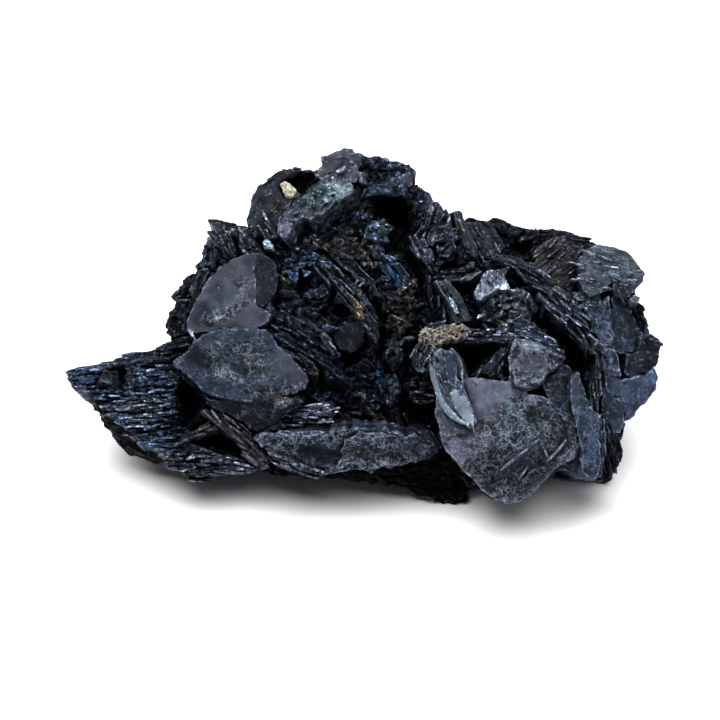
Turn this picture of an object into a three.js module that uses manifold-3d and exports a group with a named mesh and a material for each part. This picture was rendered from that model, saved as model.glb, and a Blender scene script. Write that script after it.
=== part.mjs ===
// Berthierite specimen: one intergrown cluster of bluish-black blades, plates and discs on a flat broken base,
// with a cream-tan matrix grain and a small ochre crust. Millimetres, +Z up. The origin is the middle of the
// bounding box at the height of the surface that the specimen rests on.
import * as THREE from 'three';
import { mergeVertices } from 'three/addons/utils/BufferGeometryUtils.js';
import Module from 'manifold-3d';

// ---- driving dimensions -------------------------------------------------------------------------------------------
const LENGTH = 94.4;            // left tip of the tail to the right edge of the end plates
const LISTED_LENGTH = 94.4;     // the length that the lists below are given at; LENGTH / LISTED_LENGTH scales the specimen
const FACE_TILT = 35;           // degrees that the showy face leans back when the specimen rests on its base
const SEAT = [-0.676, -8.701, 23.8];   // moves the tilted cluster so that its base is the plane z = 0 under the middle of its box
const SOCKET_GAP = 0.3;         // clearance between the cluster and the two grains of other minerals
const BASE_REACH = 120;         // half width of the block that cuts the broken base flat
const GRAIN_BEVEL = 0.45;       // worn edge of the tan matrix grain
const CRUST_BEVEL = 0.4;        // worn edge of the ochre crust

// The crystals are listed in the frame of the showy face: x to the right, d inwards from the face, z up along it.
// Each is a flat crystal: name, centre of its outer face, outward normal, grain angle in degrees, thickness behind
// the outer face, and the outline of that face as u, v pairs about the centre (u runs along the grain).
const CRYSTALS = [
  ['tail_face', [-36,5.01,-4.76], [-0.1,-1,0.25], 3, 9, [-9.47,2.04,1.48,-9.08,4.3,-10.24,7.16,-9.8,8.17,-7.96,8.44,1.04,6.99,6.03,5.25,6.81,-6.19,5.22,-10.41,3.58]],
  ['tail_top', [-34.69,6,0.49], [-0.1,-1,0.9], 4, 5, [-5.71,-1.68,-0.03,-0.66,6,-0.95,5.67,0.8,3.59,1.91,-6.4,-0.11]],
  ['tail_under', [-34.86,7.01,-13.6], [-0.25,-1,-0.7], -28, 8, [-8.14,2.1,-1.07,-3.94,6.09,-1.41,8.71,-1.9,10.22,0.67,0.87,0.04,-11.06,4.17]],
  ['tail_low', [-23.81,1.5,-16.03], [0,-1,0.05], -4, 10, [-6.38,-0.61,-1.22,-2.75,7.65,-0.26,-3.22,3.2,-6.52,1.25]],
  ['arch_l', [-24.04,0,-10.73], [-0.2,-1,0.2], 24, 6, [-1.82,-0.66,3.37,-0.7,2.93,0.73,1.3,0.98,-4.32,0.01]],
  ['arch_r', [-18.5,-1.2,-12.05], [0.2,-1,0.1], -42, 6.7, [-4.76,-0.81,3.74,-1.38,5.52,-1.02,6.36,0.38,-1.71,1.38,-5.8,0.33,-6.71,-0.51]],
  ['under_b', [-16.04,-1.8,-7.7], [0,-1,-0.2], 0, 6.2, [-7.38,0.62,0.9,-4.29,4.61,-2.86,3.7,-1.27,7.72,0.94,6.8,1.88,2.19,2.2,-6.29,1.41,-9.2,2.67]],
  ['lip', [-3.36,-1.5,-14.24], [0,-1,-0.25], 0, 4.5, [-12.06,0.7,-7.77,-2.2,-2.52,-3.66,9.85,-2.04,11.7,-1.23,12.61,0.38,11.68,1.98,9.52,2.94,1.05,3.74,-11.72,2.94,-13.28,1.98]],
  ['lip2', [1.83,-2.6,-14.77], [0.1,-1,-0.25], 0, 5.2, [-4.61,0.47,-5.23,-1.76,-2.14,-1.21,-0.13,-2.71,5.13,-0.46,5.58,1.46,1.25,3.82,-1.84,3.9,-3.99,2.69]],
  ['lip3', [9.45,-1.6,-13.77], [0.3,-1,-0.2], 0, 4.2, [-2.79,-1.19,-1.49,-2.08,3.05,-0.65,-0.87,2.48,-2.8,1.66]],
  ['ledge', [-7.66,0.8,-8.86], [0,-1,0], 6, 5, [-4.89,-0.89,-0.68,-2.43,2.14,-2.41,3.8,-1.49,3.43,-0.52,4.63,0.45,2.63,2.22,-2.11,1.78,-5.41,0.1]],
  ['disc_a', [-19.91,0.8,9.63], [-0.1,-1,0.22], 0, 1.8, [-5.56,-5.14,1.34,-5.29,5.85,-3.65,5.84,-2.69,3.48,-1.04,2.92,7.01,-2.1,5.04,-3.5,3.46,-6.85,-3.03,-6.98,-4.63]],
  ['disc_a_under', [-19.76,2.2,9.95], [-0.1,-1,0.22], 0, 4, [-4.23,-5.95,1.12,-5.91,6.42,-3.32,6.05,3.76,3.49,6.41,-1.55,4.93,-4.66,1.12,-6.92,-5.25]],
  ['disc_a_r', [-15.2,1.5,12.44], [0.12,-1,0.2], 0, 3, [-1.33,2.86,-1.11,-4,0.14,-4.61,1.99,-1.85,2.11,2.16,-0.1,4.19,-1.97,4.29]],
  ['disc_b', [-18.24,-1.8,-0.7], [0.02,-1,0.14], 0, 2.2, [-8.29,2.55,-11.03,0.52,-4.36,-4.9,0.25,-5.66,5.32,-5.19,9.77,-3.62,10.23,-2.38,7.59,1.81,1.86,6.01,-3.69,5.53]],
  ['rim1', [-20.17,7,20.97], [-0.15,-1,0.45], -12, 5, [-3.06,-0.1,4.46,-1.31,3.83,0.04,2.04,0.72,-4.48,0.99]],
  ['rim1b', [-19.98,6.2,19], [-0.2,-1,0.1], -60, 5.8, [-1.77,-1.18,2.48,-0.89,3.17,0.59,2.4,2.12,0.51,2.04,-3.56,-1.7]],
  ['rim4', [-17.66,4.2,18.4], [-0.1,-1,0.2], -55, 7.8, [-0.87,-1.24,1.16,-1.47,2.12,0.94,-1.78,1.09,-2.89,0.12]],
  ['rim5', [-24.46,7.2,14.68], [-0.45,-1,0.2], 40, 7, [-0.61,1.42,-6.19,-0.33,-4.87,-2.13,1.49,-1.67,3.61,-2.44,4.35,-1.81,3.52,2.53,2.33,3.06]],
  ['rim6', [-27.88,6.8,10.25], [-0.4,-1,0], 50, 6, [-1.7,0.21,-0.44,-1.71,1.45,-1.58,2.13,-0.38,1.76,0.89,-0.31,1.52,-1.6,1.64]],
  ['rim7', [-28.59,6.2,6.67], [-0.4,-1,-0.05], 60, 6, [0.65,1.73,-2.95,1.08,-3.24,-0.06,-1.34,-2.26,4.53,-1.22]],
  ['rim8', [-29.06,5.4,1.87], [-0.2,-1,0.2], 18, 6.6, [-2.47,-0.45,-1.16,-1.78,2.57,-1.26,3.5,0.11,-0.19,1.46,-3.07,0.97]],
  ['hump', [-13.77,9.01,25.88], [-0.35,-1,0.4], 50, 10, [-6.53,-2.4,-5.31,-4.06,2.75,-3.33,4.3,-0.09,5.65,-0.16,5.46,1.32,2.92,3.35,-1.73,3.48,-6.31,0.25]],
  ['band', [-7.17,5,24.64], [-0.3,-1,0.55], -35, 6.5, [-2.81,0.41,-3.31,-5.36,-2.24,-6.28,-1.19,-5.77,-0.29,-3.1,1.97,-1.21,4.3,4.8,3.29,5.97,-0.45,5.03,-1.93,3.71]],
  ['top_lump', [-3.3,10,30.98], [0,-1,0.32], 20, 9, [-3.45,-1.51,1.26,-3.51,2.75,-3.11,3.03,2.1,1.94,2.85,-2.26,2.47,-4.07,-0.38]],
  ['crown_r', [3.82,11,29.94], [0.1,-1,0.3], -70, 9, [-3.58,-3.2,1.94,-4.07,3.07,-2.97,2.56,-1.37,3.66,1.66,1.95,4.99,0.35,5.13,-5.62,-3.25]],
  ['face_mid', [-1.93,7.6,23.08], [0,-1,0.12], 10, 8, [-4.35,-1.11,-0.93,-3.67,1.67,-3.47,4.16,-0.31,2.9,3.52,-2.92,1.59,-4.73,0.43]],
  ['olive', [-0.97,7.2,17.6], [0,-1,0.05], -35, 8, [-4.04,-3.03,-2.77,-2.92,-1.96,-1.58,4.37,-1.23,4.71,2.7,3.1,3.9,0.96,1.43,-3.35,0.95,-5.08,-1.82]],
  ['lump_l', [-8.33,7,20.22], [-0.1,-1,0.1], 0, 7, [-2.62,-0.87,1.05,-2.2,2.8,-0.95,3.12,0.64,-0.23,1.82,-2.79,0.42]],
  ['gran_l', [-11.3,5.8,13.61], [0,-1,0], 0, 8, [-2.58,-0.36,-1.48,-2.25,0.26,-2.56,2.78,0.59,1.83,1.85,-2.27,1.85]],
  ['sh1', [9.41,10,24.89], [0.15,-1,0.3], -70, 9, [-1.53,-1.09,3.64,-2.77,-0.23,2.06,-2.66,1.86,-3.15,0.48]],
  ['sh2', [11.77,6,19.83], [-0.1,-1,0.12], 72, 10, [2.3,2.53,-1.72,3.52,-3.98,1.1,-5.13,-2.11,-2.95,-4.22,-0.99,-4.06,3.59,-1.55,5.5,0.92,5.07,2.28]],
  ['sh2b', [9.39,4.6,17.36], [-0.3,-1,0.2], -62, 6, [-1.09,-1.42,2.73,-0.52,3.07,0.75,0.87,1.43,-2.59,0.55,-2.86,-0.95]],
  ['sh3', [15.79,8.4,19.71], [0.2,-1,0.1], -80, 8, [-1.78,-0.86,4.2,-1.04,4.31,0.6,-3.97,0.75,-4.2,-0.71]],
  ['sh4', [16.93,6.4,19.99], [0.25,-1,0.2], -66, 5, [-1.03,-0.98,3.73,-0.97,3.67,0.16,-3.7,1.1,-4.06,-0.2]],
  ['sh5', [19.75,7.8,19.28], [0.15,-1,0.22], -62, 7, [-2.16,-1.81,2.14,-2.08,3.57,1.02,2.59,2.35,-2.23,1.99,-3.8,-1.41]],
  ['sh6', [24.31,10,20.94], [0,-1,0.55], -15, 7, [-2.31,-0.74,1.67,-1.93,4.08,-0.98,4.19,0.98,-3.38,1.35,-4.36,0.53]],
  ['sh7', [33.96,11.5,19.35], [0.05,-1,0.5], -8, 6, [-4.99,-1.22,-3.12,-0.38,4.71,-1.43,6.58,-0.4,-1.96,1.29,-5.82,0.89]],
  ['sh8', [15.73,5.2,13.7], [0,-1,0.3], 8, 5, [-3.04,-0.26,0.5,-1.08,3.84,-0.01,-0.72,1.44,-3.03,0.91]],
  ['bright', [20.44,2,11.63], [-0.08,-1,0.32], 70, 2, [-3.01,0.69,-0.76,-0.61,0.48,-2.97,2.81,0.25,0.91,2.03,-2.2,1.83,-3.38,1.21]],
  ['green', [23.01,3,7.68], [0,-1,0], 0, 7, [-3.77,-1.42,-1.11,-4.39,0.3,-3.92,1.55,-0.48,4.21,1.08,3.9,2.49,2.02,3.27,-1.58,2.96,-4.08,0.3]],
  ['blade_m', [14.93,2.8,9.16], [0.15,-1,0.1], -61, 7.2, [-1.46,-0.91,2.72,-1.46,3.74,1.07,-2.36,1.07,-3.79,0.42,-4.27,-1.13]],
  ['fib_m', [12.22,5,10.96], [0,-1,0], -84, 8, [-1.8,-1.49,4.64,-0.43,4.51,1.33,-3.5,0.43,-4.62,-1.2]],
  ['dark_m', [11.04,5.6,7.18], [0,-1,0.1], 0, 7, [-2.21,-0.24,-0.64,-1.67,2.2,-1.67,2.52,-0.4,0.01,1.99,-1.89,1.99]],
  ['diag1', [25.18,3.8,14.3], [0.1,-1,0.45], -36, 5, [-3.52,-1.7,-1.53,-0.7,5.59,-1.19,5.51,1.1,-1.15,1.73,-4.79,-0.22,-5.62,-1.9]],
  ['diag2', [32.88,2,6.53], [0.2,-1,0.28], -43, 5, [-4.46,-1.15,6.29,-1.76,7.12,-0.73,2.61,1.21,-4.86,2.12,-6.45,1.24,-6.64,-0.55]],
  ['diag2b', [33.45,4,9.06], [0.1,-1,0.3], -45, 6, [-0.61,-0.54,4.05,-0.55,2.08,0.74,-0.59,0.88,-4.39,-0.11]],
  ['diag3', [36.97,1.2,-2.3], [0.1,-1,0.1], -84, 5.8, [-3.3,-0.32,5.68,-1.46,5.92,-0.69,-1.22,1.49,-5.4,0.74,-6.18,-0.75]],
  ['brown', [31.34,6,15.07], [-0.02,-1,0.22], 40, 9, [-2.6,2.9,-3.14,-4.05,0.76,-4.32,4.16,-0.35,3.9,1.78,2.52,3.56,0.4,4.24]],
  ['striated', [39.57,4.8,13.95], [0.2,-1,0.3], -10, 9, [-4.97,-1.64,-4.29,-4.19,-2.86,-5.04,0.41,-1.21,4.06,-1.37,5.41,1,1.88,3.93,-2.77,4.01,-5.33,1]],
  ['strip_r', [38.14,4,5.67], [0.1,-1,0.1], -80, 7, [0.03,-1.79,4.59,-0.42,4.35,0.92,-4.14,1.96,-2.67,-2.56]],
  ['blue_r', [43.54,6.5,4.61], [0.25,-1,0.1], -80, 9, [-0.78,-3.84,2.23,-4.13,3.07,-2.94,3.65,3.31,2.96,3.98,0.96,2.67,0.37,1.07,-4.65,0.06,-5.49,-1.14,-5.94,-2.93]],
  ['edge_r', [46.06,6.2,2.05], [0.4,-1,0], 0, 8, [-2.43,-0.48,0.81,-2.37,1.9,0.32,0.09,2.21,-2.07,1.73]],
  ['low_r', [44.16,5.6,-0.47], [0.2,-1,0], 10, 8, [-2.25,0.56,-2.4,-2.13,2.68,-0.97,3.45,0.5,0.33,1.86,-1.86,1.78]],
  ['smooth_r', [42.56,3.8,-4.77], [0.25,-1,0.02], -40, 8, [-3.7,-2.7,1.01,-2.56,2.57,-4.12,3.06,2.52,0.94,5.26,-2.37,0.11,-4.77,0.09,-5.82,-1.23]],
  ['strip_r2', [39.16,3,-0.87], [0.05,-1,0.05], -80, 7, [-0.13,-1.14,1.69,-1.64,2.08,1.49,-2.3,1.02,-2.68,-1.15]],
  ['disc_r', [21.51,-5,-11.2], [0,-1,0.12], 0, 2.4, [-8.36,6.97,-10.05,4.82,-9.31,-1.16,-5.23,-6.19,-0.54,-10,2.8,-10.3,4.33,-9.54,7.87,-5.43,10.79,-3.76,11.72,-1.92,10.56,2.67,9.05,4.51,1.44,7.89,-4.98,8.2]],
  ['disc_r_under', [22.72,-2.8,-13.61], [0,-1,0.1], 0, 6, [-10.72,5.17,-10.12,1.32,-8.28,-1.45,-4.32,-5.74,-0.04,-8.04,2.42,-7.89,10.3,-1.75,11.1,1.32,9.91,5.64,5.78,8.11,0.4,9.65,-5.77,9.96,-9.78,8.72]],
  ['leaf', [14.03,-6,-4.04], [-0.12,-1,0.1], -64, 1.6, [-3.08,-1.95,2.81,-2.4,6.8,-0.11,4.26,1.28,-0.92,1.08,-4.64,2.19,-5.71,-0.35]],
  ['leaf_top', [14.38,-4.2,-0.57], [-0.2,-1,0.15], -80, 7.4, [-0.39,-0.72,3.15,-0.17,1.23,1.37,-2.46,0.06,-2.34,-1.05]],
  ['dome', [25.91,-4.6,-0.38], [0,-1,0.28], 0, 7.8, [-3.2,-2.45,-2.15,-3.72,1.2,-3.56,4.33,-0.24,1.36,3.42,-2.16,3.58,-3.44,0.87]],
  ['ridge_t', [26.65,-1.39,3.8], [0.05,-1,0.85], -22, 7, [-2.37,-2.45,1.44,-1.15,4.99,-1.44,3.98,0.15,-2.15,3.05,-3.41,0.43,-3.49,-1.76]],
  ['tri', [21.19,-0.6,-0.6], [-0.25,-1,0.15], 50, 3.8, [-2.64,0.03,-1.22,-3.49,0.14,-0.7,3.51,0.09,4.28,1.14,-3.98,2.19]],
  ['ridge_l', [19.76,-0.4,3.68], [0,-1,0.55], -5, 5, [-3.28,-1.28,3.35,-0.95,3.76,0.33,-3.41,1.21]],
  ['tuft', [9.74,-1.2,0.82], [-0.2,-1,0.12], 62, 11.2, [-2.21,0.78,-1.95,-1.75,1.56,-1.44,2.64,-0.15,2.41,1.33,0.87,1.92]],
  ['bars', [9.79,1.6,-4.62], [0,-1,0.1], 2, 8.4, [-2.36,-1.22,-0.53,-2.22,1.66,-1.99,1.22,2.72,-1.92,2.2]],
  ['small_s', [10.03,0.4,-9.04], [-0.1,-1,-0.1], -45, 9.6, [-1.73,-1.48,3.64,-0.26,-0.44,2.5,-2.84,-0.59]],
  ['dark_rr', [31.04,-4,-4.66], [0.1,-1,0.2], 0, 14, [-2.91,0.32,0.4,-4.58,2.24,-5.79,1.5,3.52,-1.61,3.93,-2.87,2.82]],
  ['rblade', [34.68,-5.2,-10.52], [0.15,-1,0.08], -80, 15.2, [-4.76,-1.53,6.13,-2.07,7.72,-0.14,-1.57,2.48,-2.57,1.24,-8.48,0.32,-7.64,-1.12]],
  ['rblade2', [36.65,-4.4,-12.94], [0.12,-1,0.05], -80, 12.4, [-1.16,-0.7,5.22,-1.42,5.09,-0.44,-3.53,1.65,-5.12,-0.28]],
  ['rside', [38.45,-2.6,-14.06], [0.55,-1,0], -77, 12.6, [-1.97,-0.77,4.02,-2.75,4.62,-1.53,4.17,-0.09,0.88,2.11,-5.92,-0.16]],
  ['low_dark', [32.31,-5,-15.67], [0.05,-1,-0.05], 0, 13, [-2.42,-0.8,2.81,-2.06,1.56,1.63,0.33,2.55,-1.51,1.95]],
  ['lobe', [24.04,-5.4,-18.23], [0,-1,-0.1], -50, 6, [-1.44,-4.9,2.75,-1.84,3.05,1.87,1.66,6.18,-4.3,-2.32,-4.1,-4.47]],
  ['stack1', [-8.59,0.8,1.8], [0.15,-1,0.45], -38, 5, [-7.04,-1.09,-0.43,-0.68,5.55,-1.59,9.28,-0.4,-3.2,2.15,-7.3,0.89,-8.38,-0.83]],
  ['above_st', [-8.03,2,4.37], [0.1,-1,0.3], -35, 5, [-3.79,-0.68,5.67,-1.59,6.11,-0.29,1.8,1.66,-5.31,0.46,-7.01,-0.94]],
  ['nav1', [-6.5,6,12.81], [-0.1,-1,0.15], 70, 6, [-1.3,1.18,-2.08,-2.35,0.13,-1.85,2.38,1.4,0.74,2.14]],
  ['nav2', [-7.18,4.8,9.66], [-0.15,-1,0.1], 30, 6, [-3.04,-1.02,0.95,-1.75,2.66,-0.37,2.82,1.19,-0.84,1.55,-2.45,0.66]],
  ['diagc', [-0.99,4.2,9.67], [0.3,-1,0.3], -50, 5, [-6.62,-0.93,1.61,-0.76,7.6,-1.86,8.54,-1.17,4.46,1.06,-0.52,1.88,-7.33,0.6,-8.44,-0.59]],
  ['diagu', [-1.42,6,14.77], [0.1,-1,0.25], -42, 5, [-3.12,-0.75,3.75,-0.71,4.37,0.52,-0.34,1.12,-4.23,-0.19]],
  ['pebble', [-1.74,4,3.84], [-0.05,-1,0.12], 0, 5, [-2.18,-1.17,0.02,-2.6,1.27,-2.3,2.53,1.18,1.9,2.45,-2.03,1.37]],
  ['gran_c', [0.04,4.4,-4.19], [0,-1,0.22], 0, 8, [-4.44,-1.17,-0.36,-4.05,2.78,-4.05,4.04,-2.13,4.04,0.43,3.26,2.68,1.53,3.97,-0.67,3.65,-4.76,1.07]],
  ['gran_c0', [-5.95,3.2,-4.96], [0.1,-1,0.2], 0, 6, [-2.19,-0.72,1.89,-1.6,2.51,-0.32,-0.64,1.85,-2.52,1.18]],
  ['col_c', [6.42,4,7.57], [0,-1,0.12], 70, 8, [-1.38,1.82,-3.81,-0.74,-0.46,-2.52,1.89,-2.5,3.31,-0.82,3.46,1.07,0.35,2.62]],
  ['col_c2', [5.55,3.8,1.16], [0,-1,0.1], 80, 8, [-0.19,1.62,-3.05,-0.32,-2.23,-1.29,2.51,-0.93,2.78,0.23]],
  ['col_c3', [4.78,3.6,-4.58], [-0.1,-1,0.12], 80, 8, [-1.28,1.12,-2.23,0.14,-0.47,-1.61,2.49,-0.26,0.21,1.72]],
  ['iri1', [5.43,5.4,14.1], [0.05,-1,0.25], -48, 6, [-1.28,-1.27,3.31,-0.62,2.31,1.2,-1.78,1.59,-2.76,0.77]],
  ['bot_c', [1.37,3.2,-9.92], [0,-1,0.2], 0, 7, [-5.12,-0.42,6.14,-1.69,1.77,1.49,-2,1.96,-4.82,1.49]],
  ['right_c', [2.21,6,0.21], [0,-1,0.1], 0, 7, [-1.89,-0.53,1.89,-2.12,1.58,0.42,0.32,2.01,-1.89,1.38]],
  ['black', [12.36,6.51,-19.36], [0.05,-1,-0.55], 0, 16, [-6.05,0.25,-2.53,-2.66,3.09,-4.7,5.37,-0.07,0.5,5.62,-6.39,2.85]],
  ['black2', [-2.91,4.5,-18.04], [0,-1,-0.75], 0, 14, [-10.44,0.37,10.81,-2.93,11.09,-0.25,9.49,1.8,-1.8,0.16,-10.41,1.6,-13.4,1.19]],
  ['disc_a_neck', [-19.99,2.2,9.67], [-0.1,-1,0.22], 0, 2.2, [-4.8,-4.44,1.16,-4.57,5.06,-3.15,3.01,-0.9,2.52,6.05,-1.81,4.35,-3.02,2.99,-5.92,-2.62,-6.03,-4]],
  ['disc_b_neck', [-18.34,0,-0.7], [0.02,-1,0.14], 0, 4.4, [-7.17,2.2,-9.54,0.45,-3.77,-4.24,4.6,-4.48,8.45,-3.13,8.85,-2.06,6.57,1.57,1.61,5.2,-3.19,4.78]],
  ['disc_r_neck', [21.65,-3,-11.28], [0,-1,0.12], 0, 3.5, [-7.23,6.03,-8.7,4.17,-8.06,-1,-0.47,-8.65,3.75,-8.26,10.15,-1.66,7.83,3.9,1.25,6.83,-4.31,7.1]],
  ['leaf_neck', [14.08,-4.8,-4.05], [-0.12,-1,0.1], -64, 8, [-2.66,-1.68,2.43,-2.08,5.87,-0.09,3.68,1.11,-0.8,0.93,-4,1.89,-4.93,-0.3]],
  ['back_00', [-10.92,22.78,21.66], [-0.56,0.827,0.051], -34.5, 5.47, [2.53,1.45,-4.59,2.33,-4.06,0.49,-6.65,-0.91,0.37,-2.83,4.47,-1.94,5.29,0.51]],
  ['back_01', [8.76,26.61,-6.02], [-0.038,0.889,-0.455], -42.5, 6.8, [5.24,-1.91,4.21,4.56,0.36,3.84,-2.23,5.74,-5.33,2.42,-4.16,-4.04,2.74,-4.43]],
  ['back_02', [6.27,27.34,12.64], [0.125,0.903,0.412], -15, 7.22, [3.67,0.76,1.97,3.3,-3.01,1.54,-3.42,-1.59,1.15,-2.82,3.44,-1.69]],
  ['back_03', [24.41,29.31,0.9], [0.098,0.972,0.211], -35.5, 6.62, [4.35,1.07,2.84,3.1,-2.7,3.38,-7.91,-1.21,2.62,-4.23,7.32,-1.96]],
  ['back_04', [29.17,26.17,-4.27], [0.178,0.961,-0.212], -41, 7.67, [4.81,0.7,3.11,3.48,-5.36,2.08,-4.7,-0.93,-1.59,-2.34,4.91,-1.21]],
  ['back_05', [34.76,23.76,9.15], [0.525,0.811,0.259], -59, 6.27, [0.99,-3.95,4.54,1.35,0.92,4.31,-2.92,3.03,-4.61,-1.29,-1.05,-4.5]],
  ['back_06', [16.66,30.42,-1.82], [0.244,0.911,-0.332], -51.5, 7.19, [0.09,3.58,-3.73,4.21,-6.01,0.73,-3.03,-3.45,4.93,-2.94,4.24,2.88]],
  ['back_07', [23.62,25.75,-8.56], [-0.046,0.901,-0.432], 54.5, 6.2, [-3.03,-1.45,1.84,-2.78,5.3,-1.45,3.55,2.07,-3.01,2.93,-5.85,1.77]],
  ['back_08', [-35.58,15.21,-4.63], [-0.098,0.828,0.551], 10.5, 6.5, [-3.38,1.67,-7.12,0.95,-0.04,-2.8,4.94,-1.78,3.99,2.43]],
  ['back_09', [34.93,18.41,17.19], [0.101,0.593,0.799], -55, 5.08, [2.91,-1.96,5.03,1.1,3.85,4.48,-3.68,3.82,-4.33,-2.69,2.32,-3.96]],
  ['back_10', [-8.43,27.58,-4.4], [0.132,0.887,-0.442], -12, 7.67, [0.58,3.21,-3.75,1.95,-5.79,0.04,-5.21,-1.95,3.06,-3.04,6.3,-1.24]],
  ['back_11', [0.25,28.26,11.99], [0.071,0.997,0.042], -26, 5.82, [-4.48,-2.6,1.66,-5.08,4.7,-3.07,4.72,2.73,-1.88,4.81,-6.48,0.28]],
  ['back_12', [-3.24,24.32,-8.27], [0.195,0.915,-0.353], -10, 5.93, [0.95,-1.79,5.77,-1.2,2.86,2.43,-1.87,2.33,-6.33,-0.42]],
  ['back_13', [4.8,18.13,-17.15], [-0.197,0.633,-0.748], -60, 7.85, [2.21,2.29,0.7,4.91,-1.28,3.79,-4.2,-2.54,4.67,-2.79,4.68,-0.09]],
  ['back_14', [16.31,22.06,16.15], [0.181,0.729,0.66], -39, 7.85, [3.5,5.25,-6.27,1,-4.38,-3.24,-0.72,-4.05,5.33,-1.33]],
  ['back_15', [37.98,21.05,-9.58], [0.589,0.758,-0.28], -54.5, 6.28, [4.71,-0.93,4.51,0.33,1.97,1.43,-0.1,2.61,-2.63,1.72,-3.63,0.75,-6.35,-0.67,-2.31,-1.13,0.32,-1.89,2.1,-1.34]],
  ['back_16', [16.59,27.25,-9.65], [0.113,0.865,-0.49], -40.5, 6.31, [-4.8,4,-6.82,1.09,-6.14,-2.12,-3.75,-4.82,3.39,-5.4,6.84,0.72,5.35,3.85,-1.63,5.47]],
  ['back_17', [11.87,26.09,10.48], [0.332,0.81,0.483], -41.5, 7.11, [2.12,-5.32,5.36,-3.93,6.53,2.35,4.02,4.97,0.27,5.62,-6.39,-0.5,-5.19,-3.34]],
  ['back_18', [-24.52,19.26,9.15], [-0.682,0.722,0.113], 45.5, 7.27, [-4.31,-0.74,0.98,-4.31,4.15,-1.6,4.42,2.53,-3.75,2.89]],
  ['back_19', [-8.13,29.19,8.64], [-0.291,0.916,0.276], -54, 7.94, [4.27,1.13,-2.84,4.34,-5.59,1.65,-0.08,-4.69,4.64,-3.31]],
  ['back_20', [-27.84,23.61,-5.72], [-0.768,0.63,0.113], 31.5, 7.37, [-1.67,5.83,-6.01,0.32,-4.78,-3.11,-1.74,-5.31,5.16,-4.12,6.46,0.25,5.14,3.35,2.14,5.89]],
  ['back_22', [-10.79,14.88,-17.26], [-0.119,0.6,-0.791], 9, 7.38, [-2.61,1.89,-5.76,0.61,-2,-2.14,6.2,0.48]],
  ['back_23', [-24.99,19.66,1.44], [-0.673,0.733,0.093], 57.5, 5.9, [3.13,-3.37,5.38,-1.48,3.25,3.24,0.8,4.94,-4.34,2.52,-4.15,-2.68,-2.23,-4.5]],
  ['back_24', [6.27,29.94,5.73], [0.234,0.965,0.115], -37.5, 7.22, [5.63,-1.98,4.83,2.43,-6.33,1.65,-3.16,-2.83]],
  ['back_25', [9.53,12.64,-20.45], [-0.482,0.522,-0.704], -33, 7.34, [2.35,-1.36,2.82,1.47,-1.55,2.44,-1.91,-1.24]],
  ['back_26', [14.88,27.72,4.77], [0.267,0.958,0.108], -26.5, 7.38, [2.38,2.69,-1.07,3.26,-4.67,-1.69,-0.6,-4.8,2.03,-3.47,4.13,-0.6]],
  ['back_27', [18.51,14.17,-19.38], [0.173,0.585,-0.792], 17, 5.01, [-3.58,0.98,-3.08,-3.17,2.76,-2.15,5.18,1.44,3.73,3.58,-2.91,3.72]],
  ['back_28', [40.47,15.76,16.68], [0.196,0.538,0.82], -51.5, 7.36, [-2.16,-0.03,-0.46,-2.63,2.1,-0.88,1.26,1.82]],
  ['back_29', [-32.72,12.65,-15.33], [-0.037,0.691,-0.722], -50.5, 7.17, [-1.69,0.2,-0.86,-2.18,2.43,-0.32,-0.1,2.33,-1.75,2.11]],
  ['back_30', [12.11,24.44,-14.4], [-0.127,0.884,-0.45], -56.5, 6.47, [4.31,0.04,-1.87,2.5,-5.73,0.67,-3.83,-1.75]],
  ['back_31', [9.63,23.58,17.35], [0.423,0.785,0.453], 45.5, 6.77, [0.26,-2.51,4.22,-0.36,0.12,3.06,-3.09,2.82,-4.7,0.08,-3.47,-2.51]],
  ['back_33', [-16.76,23.02,13.5], [-0.437,0.704,0.56], -44, 7.65, [2.56,-3.3,5.28,0.57,3.34,2.59,-1.28,3.74,-3.47,2.13,-4.71,-1.92,-2.87,-3.72]],
  ['back_34', [-26.23,16.12,-16.6], [-0.319,0.618,-0.718], -51, 7.03, [3.84,0.86,-0.39,2.99,-4.15,-0.19,-0.83,-3.3,3.54,-1.05]],
  ['back_35', [2.27,20.86,26.46], [0.37,0.779,0.506], -19.5, 6.94, [-0.91,4.33,-6.65,0.21,2.33,-3.95,5.66,1.39,3.98,3.73]],
  ['back_36', [3.67,30.32,0.29], [-0.043,0.997,-0.07], 8, 6.88, [4.14,-1.4,1.51,4.48,-4.58,0.72,-2.48,-2.81]],
  ['back_37', [30.43,16.22,-15.46], [0.414,0.58,-0.701], -49.5, 5.56, [-4.05,2.82,-5.31,-0.75,1.37,-3.82,4.56,0.46,3.09,3.05]],
  ['back_38', [25.98,22.18,13.14], [0.22,0.89,0.4], -58.5, 6.61, [-1.3,-4.8,4.72,-3.92,6.28,-0.95,1.46,5.45,-6.31,1.02,-3.79,-3.77]],
  ['back_39', [40.63,22.53,7.13], [0.566,0.767,0.303], 56.5, 7.2, [-4.71,-3.95,1.23,-4.62,5.02,0.06,3.8,3.25,0,4.46,-3.5,2.09]],
  ['back_40', [-0.7,26.17,20.56], [0.169,0.923,0.346], 21, 7.71, [4.93,-0.86,4.88,1.73,2.1,3.32,-4.95,3.17,-3.4,-2.61,-0.39,-5.3]],
  ['back_41', [-21.96,26.46,-6.13], [0.03,0.999,0.011], -7.5, 6.45, [1.82,3.8,-3.43,2.85,-4.93,0.69,-3.31,-3.75,3.04,-4.32,4.62,-2.48,4.15,2.85]],
  ['back_42', [32.12,23.89,-9.8], [-0.033,0.708,-0.706], -71.5, 6.33, [-7.03,-1.48,-0.13,-2.88,7.74,-0.5,-1.24,3.82]],
  ['back_43', [-3.28,17.9,30.15], [-0.368,0.745,0.557], -60.5, 5.63, [-0.63,-1.96,6.04,-0.15,-4.19,1.39,-4.76,-0.01]],
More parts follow.
